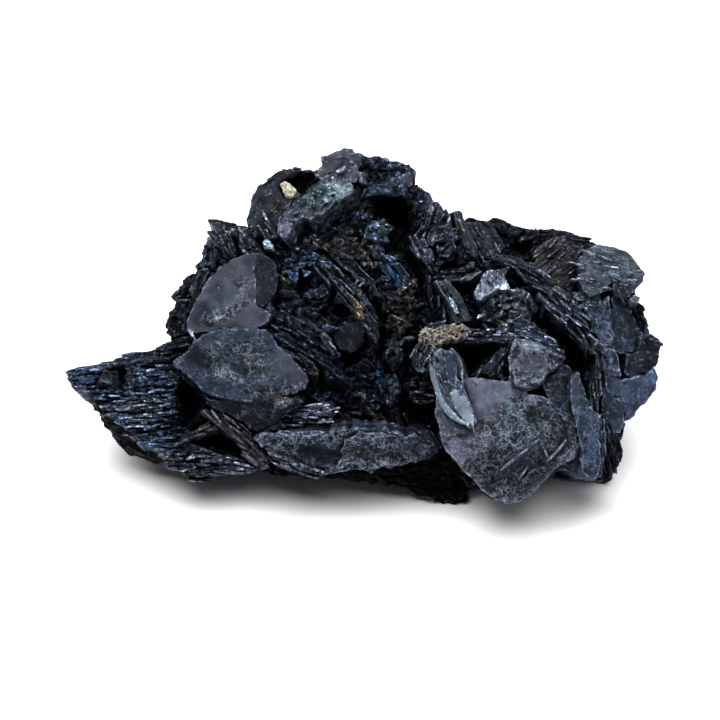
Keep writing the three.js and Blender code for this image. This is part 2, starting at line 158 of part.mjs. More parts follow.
  ['back_44', [38.96,13.67,-17.85], [0.173,0.641,-0.748], -56, 6.99, [0.71,-1.12,2.88,0.83,-2.12,1.31,-2.51,-1.38]],
  ['back_45', [-5.99,25.11,19.41], [-0.305,0.913,0.272], 67.5, 6.29, [-4.27,-0.66,-1.27,-5.53,4.56,-2.93,1.92,4.97,-4.23,3.33]],
  ['back_47', [-21.59,16.37,18.93], [-0.519,0.623,0.585], -34.5, 5.28, [0.8,-3.45,4.5,-1.27,3.46,3.01,-2.03,3.21,-4.64,-0.14,-2.24,-3.49]],
  ['back_48', [5.13,23.2,20.42], [0.536,0.781,0.322], -40, 7.27, [3.36,-1.46,7.21,0.16,1.64,2.41,-6.46,0.98,0.75,-3.73]],
  ['back_49', [-14.26,28.93,6.82], [-0.05,0.987,0.154], -23, 6.8, [-1.82,3.8,-6.35,-0.24,-0.52,-4.09,5.29,-2.54,6.29,2.08]],
  ['back_51', [3.64,23.81,-9.51], [0.163,0.903,-0.397], -72.5, 5.77, [-4.52,-0.51,-3.76,-2.63,1.75,-3.16,4.73,-1.45,3.47,1.94,0.66,2.58,-5.08,2.25]],
  ['back_52', [42.79,20.13,-0.17], [0.742,0.67,0.017], 26, 6.56, [5.83,-0.03,0.76,5.15,-5.74,2.04,0.29,-5.65]],
  ['back_53', [-8.31,18.32,27.32], [-0.033,0.683,0.73], -43.5, 5.63, [-4.33,-1.5,1.71,-4.69,4.67,0.97,-0.18,4.25,-3.65,1.51]],
  ['back_54', [-5.66,19.81,-14.64], [-0.061,0.745,-0.664], -17, 5.45, [-0.36,2.93,-2.93,1.43,-3.17,-1.29,-0.84,-4.07,2.32,-2.39,4.28,2.86]],
  ['back_55', [-16.09,19.12,-14.53], [0.02,0.697,-0.717], 20.5, 5.14, [-4.32,-3.25,3.63,-2.86,5.6,-0.18,3.38,2.95,-0.73,3.49,-3.8,1.25]],
  ['back_56', [-2.11,31.16,3.1], [0.111,0.992,-0.059], -41, 6.38, [3.68,-2.17,5.26,-0.1,0.05,3.26,-5.24,1.17,-0.72,-3.72]],
  ['back_57', [21.66,26.61,8.06], [0.145,0.981,0.132], -66, 6.51, [-0.82,-1.88,5.44,-1.87,4.84,1.32,-1.85,2.95,-5.38,-1.04]],
  ['back_58', [20.41,17.12,19.31], [-0.124,0.624,0.772], -7.5, 5.61, [-1.05,-3.06,4.88,-1.98,0,3.98,-4,1.06,-4.3,-2.72]],
  ['back_59', [44.84,15.26,5.06], [0.82,0.51,0.259], -30, 5.36, [2.3,-3.09,4.16,-1.83,4.15,1.72,-0.11,3.52,-4.24,2.13,-4.04,-1.84,-0.19,-3.93]],
  ['back_60', [-20.42,25.08,4.18], [-0.574,0.777,0.26], 54.5, 6.86, [3.84,-0.9,4.46,1.12,-0.28,3.32,-4.08,1.07,-4.69,-1.94,4.35,-2.78]],
  ['back_61', [25.24,15.85,-21.22], [0.051,0.536,-0.843], -39, 6.88, [0.48,1.27,-1.28,0.86,-1.92,0.34,-1.96,-0.36,-1.48,-0.78,-0.2,-1.06,1.82,-1.19,3.15,-0.75,2.29,0.17,1.55,0.7]],
  ['back_62', [36.26,27.4,-1.27], [0.535,0.84,-0.097], 65.5, 7.28, [6.94,0.09,4.34,2.48,-3.16,2.63,-7,0.75,-2.89,-2.99]],
  ['back_63', [-9.95,23.59,-9.93], [-0.236,0.709,-0.665], -27.5, 7.24, [3.14,-0.38,3.73,1.55,1.34,4.22,-1.66,3.29,-3.32,-0.51,-0.91,-4.29,2.32,-3.36]],
  ['back_64', [-0.03,19.78,-13.73], [0.051,0.66,-0.749], 51.5, 6.81, [-5.68,-0.82,-1.44,-3.04,4.44,-0.81,3.6,3.19,-1.09,3.74,-4.46,2.23]],
  ['back_65', [-9.17,30.12,2.68], [0.039,0.988,-0.149], -61, 5.05, [-2.98,2.94,-6.3,1.25,-6.41,-1.07,-3.01,-3.34,5.24,-3.34,5.21,3.04,1.51,4.57]],
  ['back_66', [21.14,23.56,-14.54], [-0.131,0.674,-0.727], -55.5, 6.66, [-0.39,-1.83,4.32,-1.99,4.04,1.04,-2.24,1.46,-4.67,-0.08,-4.07,-1.91]],
  ['back_67', [-14.07,26.09,-6.43], [-0.194,0.924,-0.33], -71, 7.92, [3.67,3.92,-1.69,4.46,-4.89,-2.07,-1.47,-4.55,4.07,-3.55]],
  ['back_68', [-14.15,16.79,25.83], [-0.645,0.579,0.498], -15, 5.92, [4.44,-0.67,2.76,3.58,0.34,4.52,-4.54,1.97,-3.94,-3.12,-1.1,-4.09,3.72,-3.56]],
  ['back_69', [-37.42,12.21,-11.35], [-0.54,0.812,-0.223], 15, 5.53, [2.59,-0.61,1.49,2.55,-3.18,0.28,-2.77,-1.51,0.93,-2.53]],
  ['back_70', [29.35,26.65,5.33], [0.171,0.985,0.029], -39.5, 6.73, [4.42,-2.04,4.97,1.59,0.36,2.68,-5,0.02,-5.17,-1.84]],
  ['back_71', [10.05,13.75,25.84], [0.593,0.573,0.566], -9, 6.57, [-3.62,-0.09,1.41,-2.08,2.71,2.19,-1.74,2.45]],
  ['back_72', [29.56,16.99,17.87], [0.17,0.533,0.829], 54.5, 5.87, [6.29,-1.8,5.27,2.21,-0.24,4.88,-4.23,3.23,-6.87,-0.62,-3.66,-3.35,0.53,-3.87]],
  ['back_73', [-9.98,27.02,14.75], [-0.182,0.925,0.332], 51.5, 5.05, [-0.62,-5.05,5.47,-1.68,3.31,3.83,-0.08,5.23,-5.46,1.36,-5.49,-1.58]],
  ['back_75', [5.92,14.27,29.66], [0.146,0.676,0.722], 16.5, 7.47, [2.56,2.09,0.28,4.24,-3.06,4.16,-3.72,-2.85,2.78,-2.44]],
  ['back_76', [42.93,14.28,11.74], [0.803,0.586,-0.106], -55, 6.97, [1.87,1.85,-2.03,1.36,-1.77,-1.71,2.45,-1.58]],
  ['back_77', [13.64,15.35,21.99], [0.354,0.621,0.699], 54.5, 5.79, [-0.3,1.61,-2.93,1.59,-3.56,-1.11,4.47,0.03]],
  ['back_78', [44.41,13.58,-6.39], [0.491,0.53,-0.692], 29, 6.02, [-0.68,1.95,-3.78,0.13,-2.44,-2.1,2.7,-1.8,4.01,0.11]],
  ['back_79', [-24.44,23.97,-11.11], [0.041,0.865,-0.5], -22.5, 7.02, [-2.46,4.59,-5.42,2.43,-6.13,-1,-1.12,-5.3,6.02,-1.15,3.47,3.61]],
  ['back_80', [-16.44,28,0.51], [-0.438,0.893,0.102], -51.5, 5.41, [-0.43,4.1,-6.52,-0.65,-1.28,-2.95,3.29,-3.04,6.19,-1.03]],
  ['back_81', [9.73,28.36,0.63], [-0.147,0.943,-0.298], 45, 6.64, [-3.17,1.92,-4.92,-0.2,1.33,-3.92,3.38,-0.43,2.46,1.68]],
  ['back_82', [-32.41,19.73,-8.64], [-0.21,0.965,-0.16], 63, 7.1, [3.23,4.94,-0.59,6.35,-6.63,1.59,-4.02,-5.37,-0.01,-6.59,4.58,-5.33,6.47,-2.14]],
  ['back_83', [-41.13,11.04,-6.43], [-0.348,0.799,-0.491], -4, 7.15, [1.16,1.03,-2.26,1.24,-1.89,-1.48,1.14,-1.26,2.6,0.33]],
  ['back_84', [-30.08,11.32,1.67], [-0.564,0.622,0.543], -37.5, 5.74, [-0.13,-1.96,2.36,0.25,0.65,1.6,-2.45,0.35]],
  ['back_86', [0.09,26.46,-4.02], [0.125,0.94,-0.318], -52, 6.6, [1.81,4.36,-4.83,1.66,-3.39,-2.67,1.12,-4.54,5.27,0.61]],
  ['back_87', [-3.36,21.78,25.09], [-0.388,0.728,0.565], -56, 7.53, [2.2,-5.28,5.25,-3.31,3.89,2.95,-3.37,3.03,-5.49,-2.01,-2.31,-5.06]],
  ['back_88', [-38.84,11.19,-0.45], [-0.192,0.734,0.652], 29, 5.57, [0.58,0.88,-2.39,-0.16,1.44,-0.95,2.21,0.29]],
  ['back_89', [-15.25,19.99,18.55], [-0.513,0.733,0.446], 56.5, 7.79, [-4.32,-1.35,0.87,-4.08,4.81,0.46,2.56,4.06,0.1,4.46,-3.8,2.52]],
  ['back_90', [40.06,23.03,-4.61], [0.579,0.715,-0.391], -39.5, 7.29, [-6.04,2.45,-5.87,-0.63,-2.58,-4.32,1.13,-5.06,6.07,-0.89,0.61,4.17,-2.76,4.94]],
];

// The mass that the crystals grew on: name, inner depths, outline at the near depth, outline at the far depth.
const MASS = [
  ['core', 9, 25.5, [-28.68,-1.59,-26.77,-9.56,-23.11,-14.66,-17.53,-15.94,-9.56,-16.89,-1.59,-17.53,6.37,-18.49,12.75,-19.12,17.53,-18.8,24.7,-19.44,29.48,-17.21,34.26,-16.89,39.2,-16.89,40.64,-11.16,44.3,-6.69,45.9,-1.59,45.42,4.78,43.35,11.95,39.04,16.57,31.87,18.8,22.31,19.76,14.34,21.04,6.37,19.76,-3.19,19.12,-12.75,18.33,-19.92,17.53,-24.7,14.34,-28.37,9.56,-29.32,4.78], [-16.53,-1.43,-15.2,-6.95,-12.66,-10.48,-8.8,-11.37,-3.27,-12.03,2.25,-12.47,7.77,-13.13,12.19,-13.58,15.5,-13.36,20.47,-13.8,23.79,-12.25,27.1,-12.03,30.52,-12.03,31.52,-8.05,34.06,-4.96,35.16,-1.43,34.83,2.99,33.4,7.96,30.41,11.17,25.44,12.71,18.82,13.37,13.29,14.26,7.77,13.37,1.14,12.93,-5.48,12.38,-10.45,11.83,-13.77,9.62,-16.31,6.31,-16.97,2.99]],
  ['core_crown', 12.5, 20.5, [-14.49,15.78,-3.22,12.88,9.66,12.88,16.43,17.72,15.78,23.19,12.24,25.12,9.66,27.38,8.54,30.6,5.15,31.57,0.32,32.69,-3.22,33.34,-6.12,31.24,-10.47,30.28,-14.82,28.99,-17.07,25.77,-17.72,21.26], [-9.15,19.96,-2.22,18.18,5.7,18.18,9.85,21.14,9.46,24.51,7.28,25.7,5.7,27.08,5.01,29.06,2.93,29.65,-0.04,30.35,-2.22,30.74,-4,29.46,-6.67,28.86,-9.34,28.07,-10.73,26.09,-11.12,23.32]],
  ['core_tail', 8, 16.5, [-42.9,-6.35,-40.04,-10.33,-37.81,-13.98,-35.75,-15.57,-30.98,-16.21,-27.01,-18.11,-23.04,-17.79,-21.45,-13.5,-22.24,-6.35,-24.63,1.59,-30.5,1.59,-36.54,0.48,-41.31,-0.64,-45.12,-2.54], [-39.87,-7.36,-38.11,-9.81,-36.74,-12.06,-35.47,-13.03,-32.53,-13.43,-30.09,-14.6,-27.64,-14.4,-26.67,-11.76,-27.15,-7.36,-28.62,-2.47,-32.24,-2.47,-35.96,-3.16,-38.89,-3.84,-41.24,-5.02]],
  ['core_foot', 10.5, 30, [-24.81,-17.61,-20.01,-17.61,-12.81,-18.25,-3.2,-19.21,5.6,-19.85,9.61,-21.13,14.41,-21.45,17.61,-20.17,25.61,-20.81,28.82,-18.89,34.42,-17.61,39.38,-17.29,39.38,-10.41,28.82,-9.61,9.61,-10.41,-9.61,-10.41,-25.93,-11.53], [-21.23,-18.5,-16.86,-18.5,-10.3,-19.08,-1.55,-19.96,6.47,-20.54,10.12,-21.71,14.49,-22,17.41,-20.83,24.7,-21.41,27.61,-19.67,32.71,-18.5,37.23,-18.21,37.23,-11.94,27.61,-11.21,10.12,-11.94,-7.38,-11.94,-22.25,-12.96]],
  ['core_low', 7, 24, [-19.8,-16.16,-12.67,-17.11,-3.17,-18.06,6.34,-19.01,11.09,-21.22,15.21,-21.7,18.06,-19.01,25.34,-19.64,31.68,-16.79,38.65,-17.42,38.01,-12.67,31.68,-11.09,17.42,-12.67,6.34,-12.67,-9.5,-12.67,-22.97,-12.67], [-13.76,-17.03,-7.91,-17.81,-0.12,-18.59,7.68,-19.36,11.58,-21.18,14.96,-21.57,17.3,-19.36,23.28,-19.88,28.48,-17.55,34.2,-18.07,33.68,-14.17,28.48,-12.87,16.78,-14.17,7.68,-14.17,-5.31,-14.17,-16.36,-14.17]],
  ['m_left', 3.4, 14, [-28.2,-1.25,-25.69,-5.01,-22.71,-7.83,-17.23,-10.97,-9.4,-10.18,-3.92,-7.05,-2.35,-3.13,-4.7,3.13,-9.4,9.4,-13.78,15.35,-18.8,15.35,-22.71,12.53,-25.38,8.62,-26.32,3.92], [-28.52,-1.15,-26.06,-4.83,-23.14,-7.6,-17.76,-10.67,-10.07,-9.91,-4.69,-6.83,-3.16,-2.99,-5.46,3.16,-10.07,9.31,-14.38,15.15,-19.29,15.15,-23.14,12.38,-25.75,8.54,-26.67,3.93]],
  ['m_lip', 1.6, 14, [-11.68,-16.04,-4.67,-17.14,3.12,-16.51,9.35,-15.58,11.84,-13.4,7.79,-11.84,-1.56,-10.9,-9.35,-10.9,-15.89,-11.84], [-11.37,-16.5,-4.6,-17.55,2.92,-16.95,8.94,-16.05,11.35,-13.94,7.43,-12.44,-1.59,-11.53,-9.12,-11.53,-15.44,-12.44]],
  ['m_arch', 4.5, 14, [-28.92,-15.88,-25.15,-17.29,-18.86,-16.98,-14.46,-15.4,-17.29,-11.32,-21.69,-8.17,-24.21,-8.49,-27.66,-12.57], [-29.43,-16.21,-25.74,-17.59,-19.59,-17.28,-15.29,-15.74,-18.05,-11.75,-22.36,-8.67,-24.82,-8.98,-28.2,-12.98]],
  ['m_crown', 10.5, 16, [-14.41,17.61,-9.61,15.69,-3.2,17.61,3.2,15.69,8,15.69,12.81,14.41,14.73,17.61,13.77,23.05,11.85,24.65,8.96,27.21,8,30.58,2.88,31.38,-1.6,32.98,-4.8,32.02,-6.72,29.94,-12.49,29.62,-15.69,27.69,-16.97,25.29,-16.97,22.09], [-13.96,18.21,-9.33,16.36,-3.14,18.21,3.04,16.36,7.68,16.36,12.32,15.12,14.18,18.21,13.25,23.47,11.39,25.02,8.61,27.49,7.68,30.74,2.73,31.51,-1.59,33.06,-4.69,32.13,-6.54,30.12,-12.11,29.81,-15.2,27.95,-16.44,25.63,-16.44,22.54]],
  ['m_mid', 7.4, 14, [-13.96,9.52,-9.52,7.93,-4.76,2.38,-1.59,-3.17,-3.81,-6.34,-3.17,-11.42,6.98,-11.42,7.61,-6.34,7.93,3.17,13.64,6.34,12.69,12.69,7.93,15.54,3.17,15.54,-3.17,16.49,-9.52,17.44,-13.96,15.54], [-14.24,9.71,-9.71,8.09,-4.85,2.43,-1.62,-3.24,-3.88,-6.47,-3.24,-11.65,7.12,-11.65,7.77,-6.47,8.09,3.24,13.91,6.47,12.94,12.94,8.09,15.85,3.24,15.85,-3.24,16.83,-9.71,17.8,-14.24,15.85]],
  ['m_fan', 9, 15, [17.53,15.62,25.5,14.34,31.87,9.56,37.61,1.59,38.25,-4.78,37.61,-9.56,36.65,-17.85,40.48,-17.53,42.71,-7.65,46.21,-3.19,46.53,1.91,44.3,4.46,40.16,9.56,43.66,12.75,42.71,16.25,38.25,18.17,28.68,20.24,20.08,21.83,14.34,23.27], [18.58,15.5,26.37,14.25,32.6,9.58,38.21,1.79,38.83,-4.44,38.21,-9.11,37.27,-17.21,41.01,-16.9,43.19,-7.24,46.62,-2.88,46.93,2.1,44.75,4.6,40.7,9.58,44.13,12.7,43.19,16.12,38.83,17.99,29.48,20.02,21.07,21.57,15.46,22.98]],
  ['m_disc_r', -0.5, 14, [13.31,-12.38,15.48,-16.09,18.26,-18.57,21.36,-20.58,24.14,-21.05,26.93,-19.34,29.09,-16.71,32.81,-15.17,33.74,-12.38,32.5,-7.74,28.63,-4.64,23.21,-3.71,17.02,-3.71,13.31,-5.57], [14.98,-12.97,17.02,-16.47,19.64,-18.8,22.56,-20.69,25.18,-21.13,27.8,-19.53,29.84,-17.05,33.33,-15.6,34.2,-12.97,33.04,-8.61,29.4,-5.69,24.3,-4.82,18.48,-4.82,14.98,-6.57]],
  ['m_dome', 2.2, 12, [11.86,-1.56,13.42,-4.99,17.17,-3.75,21.85,-3.75,24.97,-4.37,29.65,-4.37,32.15,-1.87,31.53,1.56,29.34,4.68,24.97,5.93,23.41,3.75,17.17,4.68,11.86,4.68], [12.22,-1.61,13.83,-5.15,17.69,-3.86,22.51,-3.86,25.73,-4.5,30.55,-4.5,33.13,-1.93,32.48,1.61,30.23,4.82,25.73,6.11,24.12,3.86,17.69,4.82,12.22,4.82]],
  ['m_diag', 6, 14, [26.84,11.84,31.58,7.9,36.63,1.58,37.58,-6.63,38.21,-3.16,37.58,3.95,30.95,11.84,25.27,15.47,19.58,15.47], [27.5,12.13,32.36,8.09,37.53,1.62,38.5,-6.79,39.15,-3.24,38.5,4.04,31.71,12.13,25.88,15.85,20.06,15.85]],
];

// Open clefts between the crystals: same layout as MASS.
const CLEFTS = [
  ['k_cleft', -6, 13, [-28.29,-1.83,-28.14,-6.08,-27.68,-10.65,-26.77,-11.86,-24.94,-9.73,-23.73,-7.6,-23.12,-5.78,-24.64,-4.26,-26.46,-2.13,-27.68,-0.3], [-29.43,-3.05,-29.31,-6.44,-28.95,-10.06,-28.22,-11.03,-26.77,-9.34,-25.8,-7.65,-25.32,-6.19,-26.53,-4.98,-27.98,-3.29,-28.95,-1.84]],
  ['k_arch', -6, 11, [-23.12,-13.08,-20.99,-13.69,-18.86,-14.75,-17.34,-14.6,-18.25,-13.08,-19.77,-11.56,-21.29,-10.8,-23.42,-11.25,-25.55,-12.17], [-23.8,-13.71,-22.12,-14.19,-20.43,-15.03,-19.23,-14.91,-19.95,-13.71,-21.15,-12.51,-22.36,-11.9,-24.04,-12.27,-25.72,-12.99]],
  ['k_pocket', -2, 12.8, [-11.71,27.88,-12.63,27.42,-12.78,26.19,-12.17,24.8,-11.09,24.18,-9.7,24.64,-8.47,25.88,-7.09,27.26,-6.01,28.34,-7.7,28.96,-9.55,28.8,-10.63,28.03], [-11.79,28.91,-12.52,28.55,-12.64,27.58,-12.16,26.49,-11.31,26.01,-10.22,26.37,-9.26,27.34,-8.17,28.43,-7.32,29.27,-8.65,29.76,-10.1,29.64,-10.95,29.03]],
  ['k_crown', -2, 17.5, [2.16,22.49,4,21.56,5.39,20.33,4.62,18.79,4.31,16.94,5.24,16.02,6.16,17.25,7.09,19.1,8.01,20.64,8.16,22.8,7.39,24.64,4.93,25.42,2.77,25.57,1.23,24.64], [3.07,23.51,4.54,22.78,5.65,21.8,5.03,20.57,4.79,19.1,5.52,18.36,6.26,19.35,6.99,20.82,7.73,22.04,7.85,23.76,7.24,25.23,5.28,25.84,3.56,25.97,2.34,25.23]],
  ['k_ur', -2, 12.6, [22.18,17.41,22.8,16.48,24.18,16.17,26.34,15.71,27.11,16.94,26.8,18.48,24.64,18.18,22.64,18.48], [23.83,18.16,24.31,17.43,25.4,17.19,27.09,16.83,27.69,17.8,27.45,19.01,25.76,18.76,24.19,19.01]],
  ['k_blade', -2, 13, [16.02,10.17,16.79,8.47,17.71,6.93,18.18,8.01,17.41,9.09,17.71,10.78,18.18,12.32,16.33,12.17,14.94,11.71], [17.04,10.59,17.64,9.26,18.37,8.05,18.73,8.9,18.13,9.75,18.37,11.08,18.73,12.29,17.28,12.16,16.19,11.8]],
  ['k_tri_r', -2, 11, [22.8,12.32,23.72,11.09,26.8,10.94,26.19,11.71,24.64,12.94,23.41,13.86], [24.2,12.78,24.92,11.82,27.32,11.7,26.84,12.3,25.64,13.26,24.68,13.98]],
  ['k_long', -8, 15, [26.9,7.25,26.3,5.59,28.41,3.93,30.38,2.57,30.98,0.76,31.43,-0.6,33.1,-2.42,33.85,-5.44,34.76,-7.71,35.36,-7.25,35.21,-4.23,35.06,-0.91,34.46,1.51,33.25,2.87,31.13,4.53,29.02,6.65,27.2,8.61], [30.39,5.75,29.94,4.5,31.53,3.25,33,2.23,33.46,0.87,33.8,-0.16,35.05,-1.52,35.61,-3.79,36.3,-5.5,36.75,-5.15,36.64,-2.88,36.52,-0.38,36.07,1.43,35.16,2.46,33.57,3.71,31.98,5.3,30.62,6.77]],
  ['k_slit', -2, 10, [38.35,9.86,39.12,9.7,39.28,10.78,38.97,12.32,38.2,12.32], [39.91,10.53,40.51,10.41,40.63,11.25,40.39,12.44,39.79,12.44]],
  ['k_rr', -2, 11, [40.05,-0.92,40.51,-2.62,40.82,-0.62,41.13,1.08,39.74,0.92], [41.79,-0.83,42.15,-2.16,42.39,-0.59,42.63,0.73,41.55,0.61]],
  ['k_tri', -6, 13, [15.36,0.61,16.12,-0.91,16.58,-2.43,18.1,-1.06,19.62,0.76,20.84,2.43,17.95,2.28,15.21,2.28], [16.85,0.61,17.46,-0.59,17.82,-1.8,19.03,-0.72,20.24,0.74,21.21,2.07,18.91,1.95,16.73,1.95]],
  ['k_tri2', -6, 9, [21.9,-1.83,22.66,-3.5,23.12,-3.19,22.81,-0.91,23.27,1.22,22.81,1.67,21.75,-0.15], [23.14,-1.68,23.73,-3,24.09,-2.76,23.85,-0.97,24.21,0.71,23.85,1.06,23.02,-0.37]],
  ['k_diag', -2, 12, [-4.93,15.1,-3.08,13.55,-1.23,12.01,-0.31,12.48,-2.16,14.17,-3.85,15.71,-5.24,16.02], [-4.63,15.51,-3.19,14.31,-1.74,13.1,-1.02,13.46,-2.46,14.79,-3.79,16,-4.88,16.24]],
  ['k_peb', -2, 14, [-4.77,6.78,-3.7,5.7,-1.85,6.01,-0.31,6.78,-1.08,8.32,-2.46,9.4,-4.47,8.93], [-4.46,7.29,-3.61,6.44,-2.16,6.68,-0.94,7.29,-1.55,8.5,-2.64,9.35,-4.22,8.98]],
  ['k_peb2', -2, 11, [-3.23,-0.46,-1.85,-1.23,0,-0.62,0.31,1.23,-1.54,0.77,-3.7,0.92], [-2.96,-0.33,-1.88,-0.94,-0.43,-0.45,-0.19,0.99,-1.64,0.63,-3.32,0.75]],
  ['k_mid', -2, 15, [6.32,16.94,6.47,15.4,7.55,13.86,8.78,11.71,9.4,9.55,10.32,9.55,10.47,12.01,9.86,14.17,8.78,15.87,7.7,18.02], [7.25,17,7.37,15.78,8.22,14.56,9.19,12.86,9.68,11.16,10.41,11.16,10.53,13.1,10.04,14.81,9.19,16.15,8.34,17.85]],
  ['k_ch1', -2, 12, [2.77,3.08,2.46,0.62,3.23,-0.92,3.85,1.54,4.31,3.85,3.85,6.16,2.93,6.47], [3.04,3.19,2.8,1.26,3.41,0.05,3.89,1.98,4.25,3.79,3.89,5.6,3.16,5.84]],
  ['k_ch2', -4, 12, [6.89,-0.92,6.43,-5.82,5.82,-9.8,6.73,-11.02,7.04,-8.27,7.35,-5.82,7.5,-1.84,7.5,2.45,6.89,3.37], [7.24,-1.82,6.88,-5.68,6.4,-8.82,7.12,-9.78,7.36,-7.61,7.6,-5.68,7.72,-2.55,7.72,0.83,7.24,1.55]],
  ['k_notch', -2, 7, [-37.12,-3.7,-36.2,-4,-36.04,-2.16,-36.35,-0.77,-37.43,-1.39], [-38.05,-3.47,-37.33,-3.71,-37.21,-2.28,-37.45,-1.21,-38.28,-1.69]],
  ['k_nav', -2, 12, [-9.86,12.01,-10.32,9.86,-9.55,9.24,-8.63,10.47,-8.16,12.32,-8.63,14.48,-9.86,15.1], [-10.14,12.52,-10.5,10.83,-9.9,10.35,-9.18,11.31,-8.82,12.76,-9.18,14.45,-10.14,14.93]],
  ['k_st', -6, 6, [-13.08,2.43,-11.56,1.52,-9.73,0.61,-8.52,0.61,-9.73,1.83,-11.86,2.43,-13.69,3.65], [-13.08,2.38,-11.9,1.67,-10.48,0.96,-9.53,0.96,-10.48,1.91,-12.14,2.38,-13.56,3.33]],
  ['k_gran', -2, 11, [-4.62,8.01,-3.7,9.24,-3.39,10.78,-4.31,11.71,-4.62,9.86,-5.85,8.63], [-4.76,8.78,-4.03,9.74,-3.79,10.94,-4.52,11.66,-4.76,10.22,-5.72,9.26]],
  ['k_drk', -4, 10, [-3.37,-8.57,-1.53,-8.88,1.84,-9.49,3.67,-9.18,1.53,-8.27,-1.22,-8.27,-3.37,-6.73], [-2.73,-8.93,-1.29,-9.17,1.35,-9.65,2.79,-9.41,1.11,-8.69,-1.05,-8.69,-2.73,-7.49]],
];

// Two grains of other minerals.
const TAN_GRAIN = { at: [-11.48,8.2,27.26], lean: [-0.2,-1,0.25], thick: 5.2, outline: [-1.18,-0.18,-0.44,-1.31,0.38,-1.78,1.02,-0.99,1.51,-0.35,1.01,0.52,0.19,1.24,-0.79,1.64,-1.69,1.2] };
const OCHRE_CRUST = { at: [12.71,-1.8,4.11], lean: [0,-1,0.3], thick: 2.2, outline: [-3.63,-0.92,-2.55,-1.56,-1.33,-2.2,0.06,-2.04,0.99,-0.92,2.54,-0.59,3.93,-0.11,4.72,0.86,3.65,1.51,2.11,1.83,0.41,1.51,-0.99,0.86,-2.22,1.18,-3.46,0.7,-4.24,-0.11] };

// ---- geometry -----------------------------------------------------------------------------------------------------
const wasm = await Module();
wasm.setup();

const pairs = (flat) => Array.from({ length: flat.length / 2 }, (_, i) => new THREE.Vector2(flat[2 * i], flat[2 * i + 1]));

function solidOf(geometry) {
  const g = geometry.clone();
  for (const name of Object.keys(g.attributes)) if (name !== 'position') g.deleteAttribute(name);
  const merged = mergeVertices(g, 1e-4);
  return new wasm.Manifold(new wasm.Mesh({
    numProp: 3,
    vertProperties: new Float32Array(merged.attributes.position.array),
    triVerts: new Uint32Array(merged.index.array),
  }));
}

// axes of a flat crystal: w outwards, u along the grain, v across it
function axesOf(normal, grainDeg) {
  const w = new THREE.Vector3(...normal).normalize();
  const a = THREE.MathUtils.degToRad(grainDeg);
  const along = new THREE.Vector3(Math.cos(a), 0, Math.sin(a));
  const u = along.addScaledVector(w, -along.dot(w)).normalize();
  const v = new THREE.Vector3().crossVectors(w, u);
  return [u, v, w];
}

function flatCrystal([, at, normal, grain, thick, outline]) {
  const g = new THREE.ExtrudeGeometry(new THREE.Shape(pairs(outline)), { depth: thick, bevelEnabled: false });
  g.translate(0, 0, -thick);
  const m = new THREE.Matrix4().makeBasis(...axesOf(normal, grain)).setPosition(...at);
  return g.applyMatrix4(m);
}

// a block between two outlines of the same corner count, d0 near and d1 far
function loft([, d0, d1, near, far]) {
  const a = pairs(near), b = pairs(far);
  const g = new THREE.ExtrudeGeometry(new THREE.Shape(a), { depth: 1, bevelEnabled: false });
  const p = g.attributes.position;
  for (let i = 0; i < p.count; i++) {
    let k = 0, best = Infinity;
    for (let j = 0; j < a.length; j++) {
      const e = (a[j].x - p.getX(i)) ** 2 + (a[j].y - p.getY(i)) ** 2;
      if (e < best) { best = e; k = j; }
    }
    const isFar = p.getZ(i) < 0.5;
    const c = isFar ? b[k] : a[k];
    p.setXYZ(i, c.x, isFar ? d1 : d0, c.y);
  }
  return g;
}

function grainShape({ at, lean, thick, outline }, bevel, grow) {
  const shape = new THREE.Shape(pairs(outline));
  const g = new THREE.ExtrudeGeometry(shape, {
    depth: thick - 2 * bevel, bevelEnabled: true, bevelThickness: bevel, bevelSize: bevel, bevelOffset: -bevel, bevelSegments: 1,
  });
  g.translate(0, 0, -thick + bevel);
  if (grow > 0) {
    g.computeBoundingBox();
    const size = g.boundingBox.getSize(new THREE.Vector3());
    const mid = g.boundingBox.getCenter(new THREE.Vector3());
    g.translate(-mid.x, -mid.y, -mid.z);
    g.scale(1 + 3.0 * grow / size.x, 1 + 3.0 * grow / size.y, 1 + 2.4 * grow / size.z);
    g.translate(mid.x, mid.y, mid.z);
  }
  const m = new THREE.Matrix4().makeBasis(...axesOf(lean, 0)).setPosition(...at);
  return g.applyMatrix4(m);
}

// from the face frame to the resting frame
const rest = new THREE.Matrix4().makeScale(...Array(3).fill(LENGTH / LISTED_LENGTH))
  .multiply(new THREE.Matrix4().makeTranslation(...SEAT))
  .multiply(new THREE.Matrix4().makeRotationX(-THREE.MathUtils.degToRad(FACE_TILT)));
const seat = (g) => solidOf(g.applyMatrix4(rest));

const sumOf = (list) => wasm.Manifold.union(list);

let mass = sumOf(MASS.map((m) => seat(loft(m))));
const plates = sumOf(CRYSTALS.map((c) => seat(flatCrystal(c))));
const clefts = sumOf(CLEFTS.map((c) => seat(loft(c))));
const below = new THREE.BoxGeometry(2 * BASE_REACH, 2 * BASE_REACH, BASE_REACH).translate(0, 0, -BASE_REACH / 2);

let cluster = mass.add(plates).subtract(clefts).subtract(solidOf(below));
for (const [g, bevel] of [[TAN_GRAIN, GRAIN_BEVEL], [OCHRE_CRUST, CRUST_BEVEL]])
  cluster = cluster.subtract(seat(grainShape(g, bevel, SOCKET_GAP)));
// what a cleft cut loose isn't part of the specimen
cluster = cluster.decompose().sort((a, b) => b.volume() - a.volume())[0];
cluster = cluster.asOriginal().simplify(0.06);

function meshOf(name, solid, look) {
  const m = solid.getMesh();
  const g = new THREE.BufferGeometry();
  g.setAttribute('position', new THREE.BufferAttribute(new Float32Array(m.vertProperties), 3));
  g.setIndex(new THREE.BufferAttribute(new Uint32Array(m.triVerts), 1));
  g.computeVertexNormals();
  const mesh = new THREE.Mesh(g, new THREE.MeshStandardMaterial(look));
  mesh.name = name;
  return mesh;
}

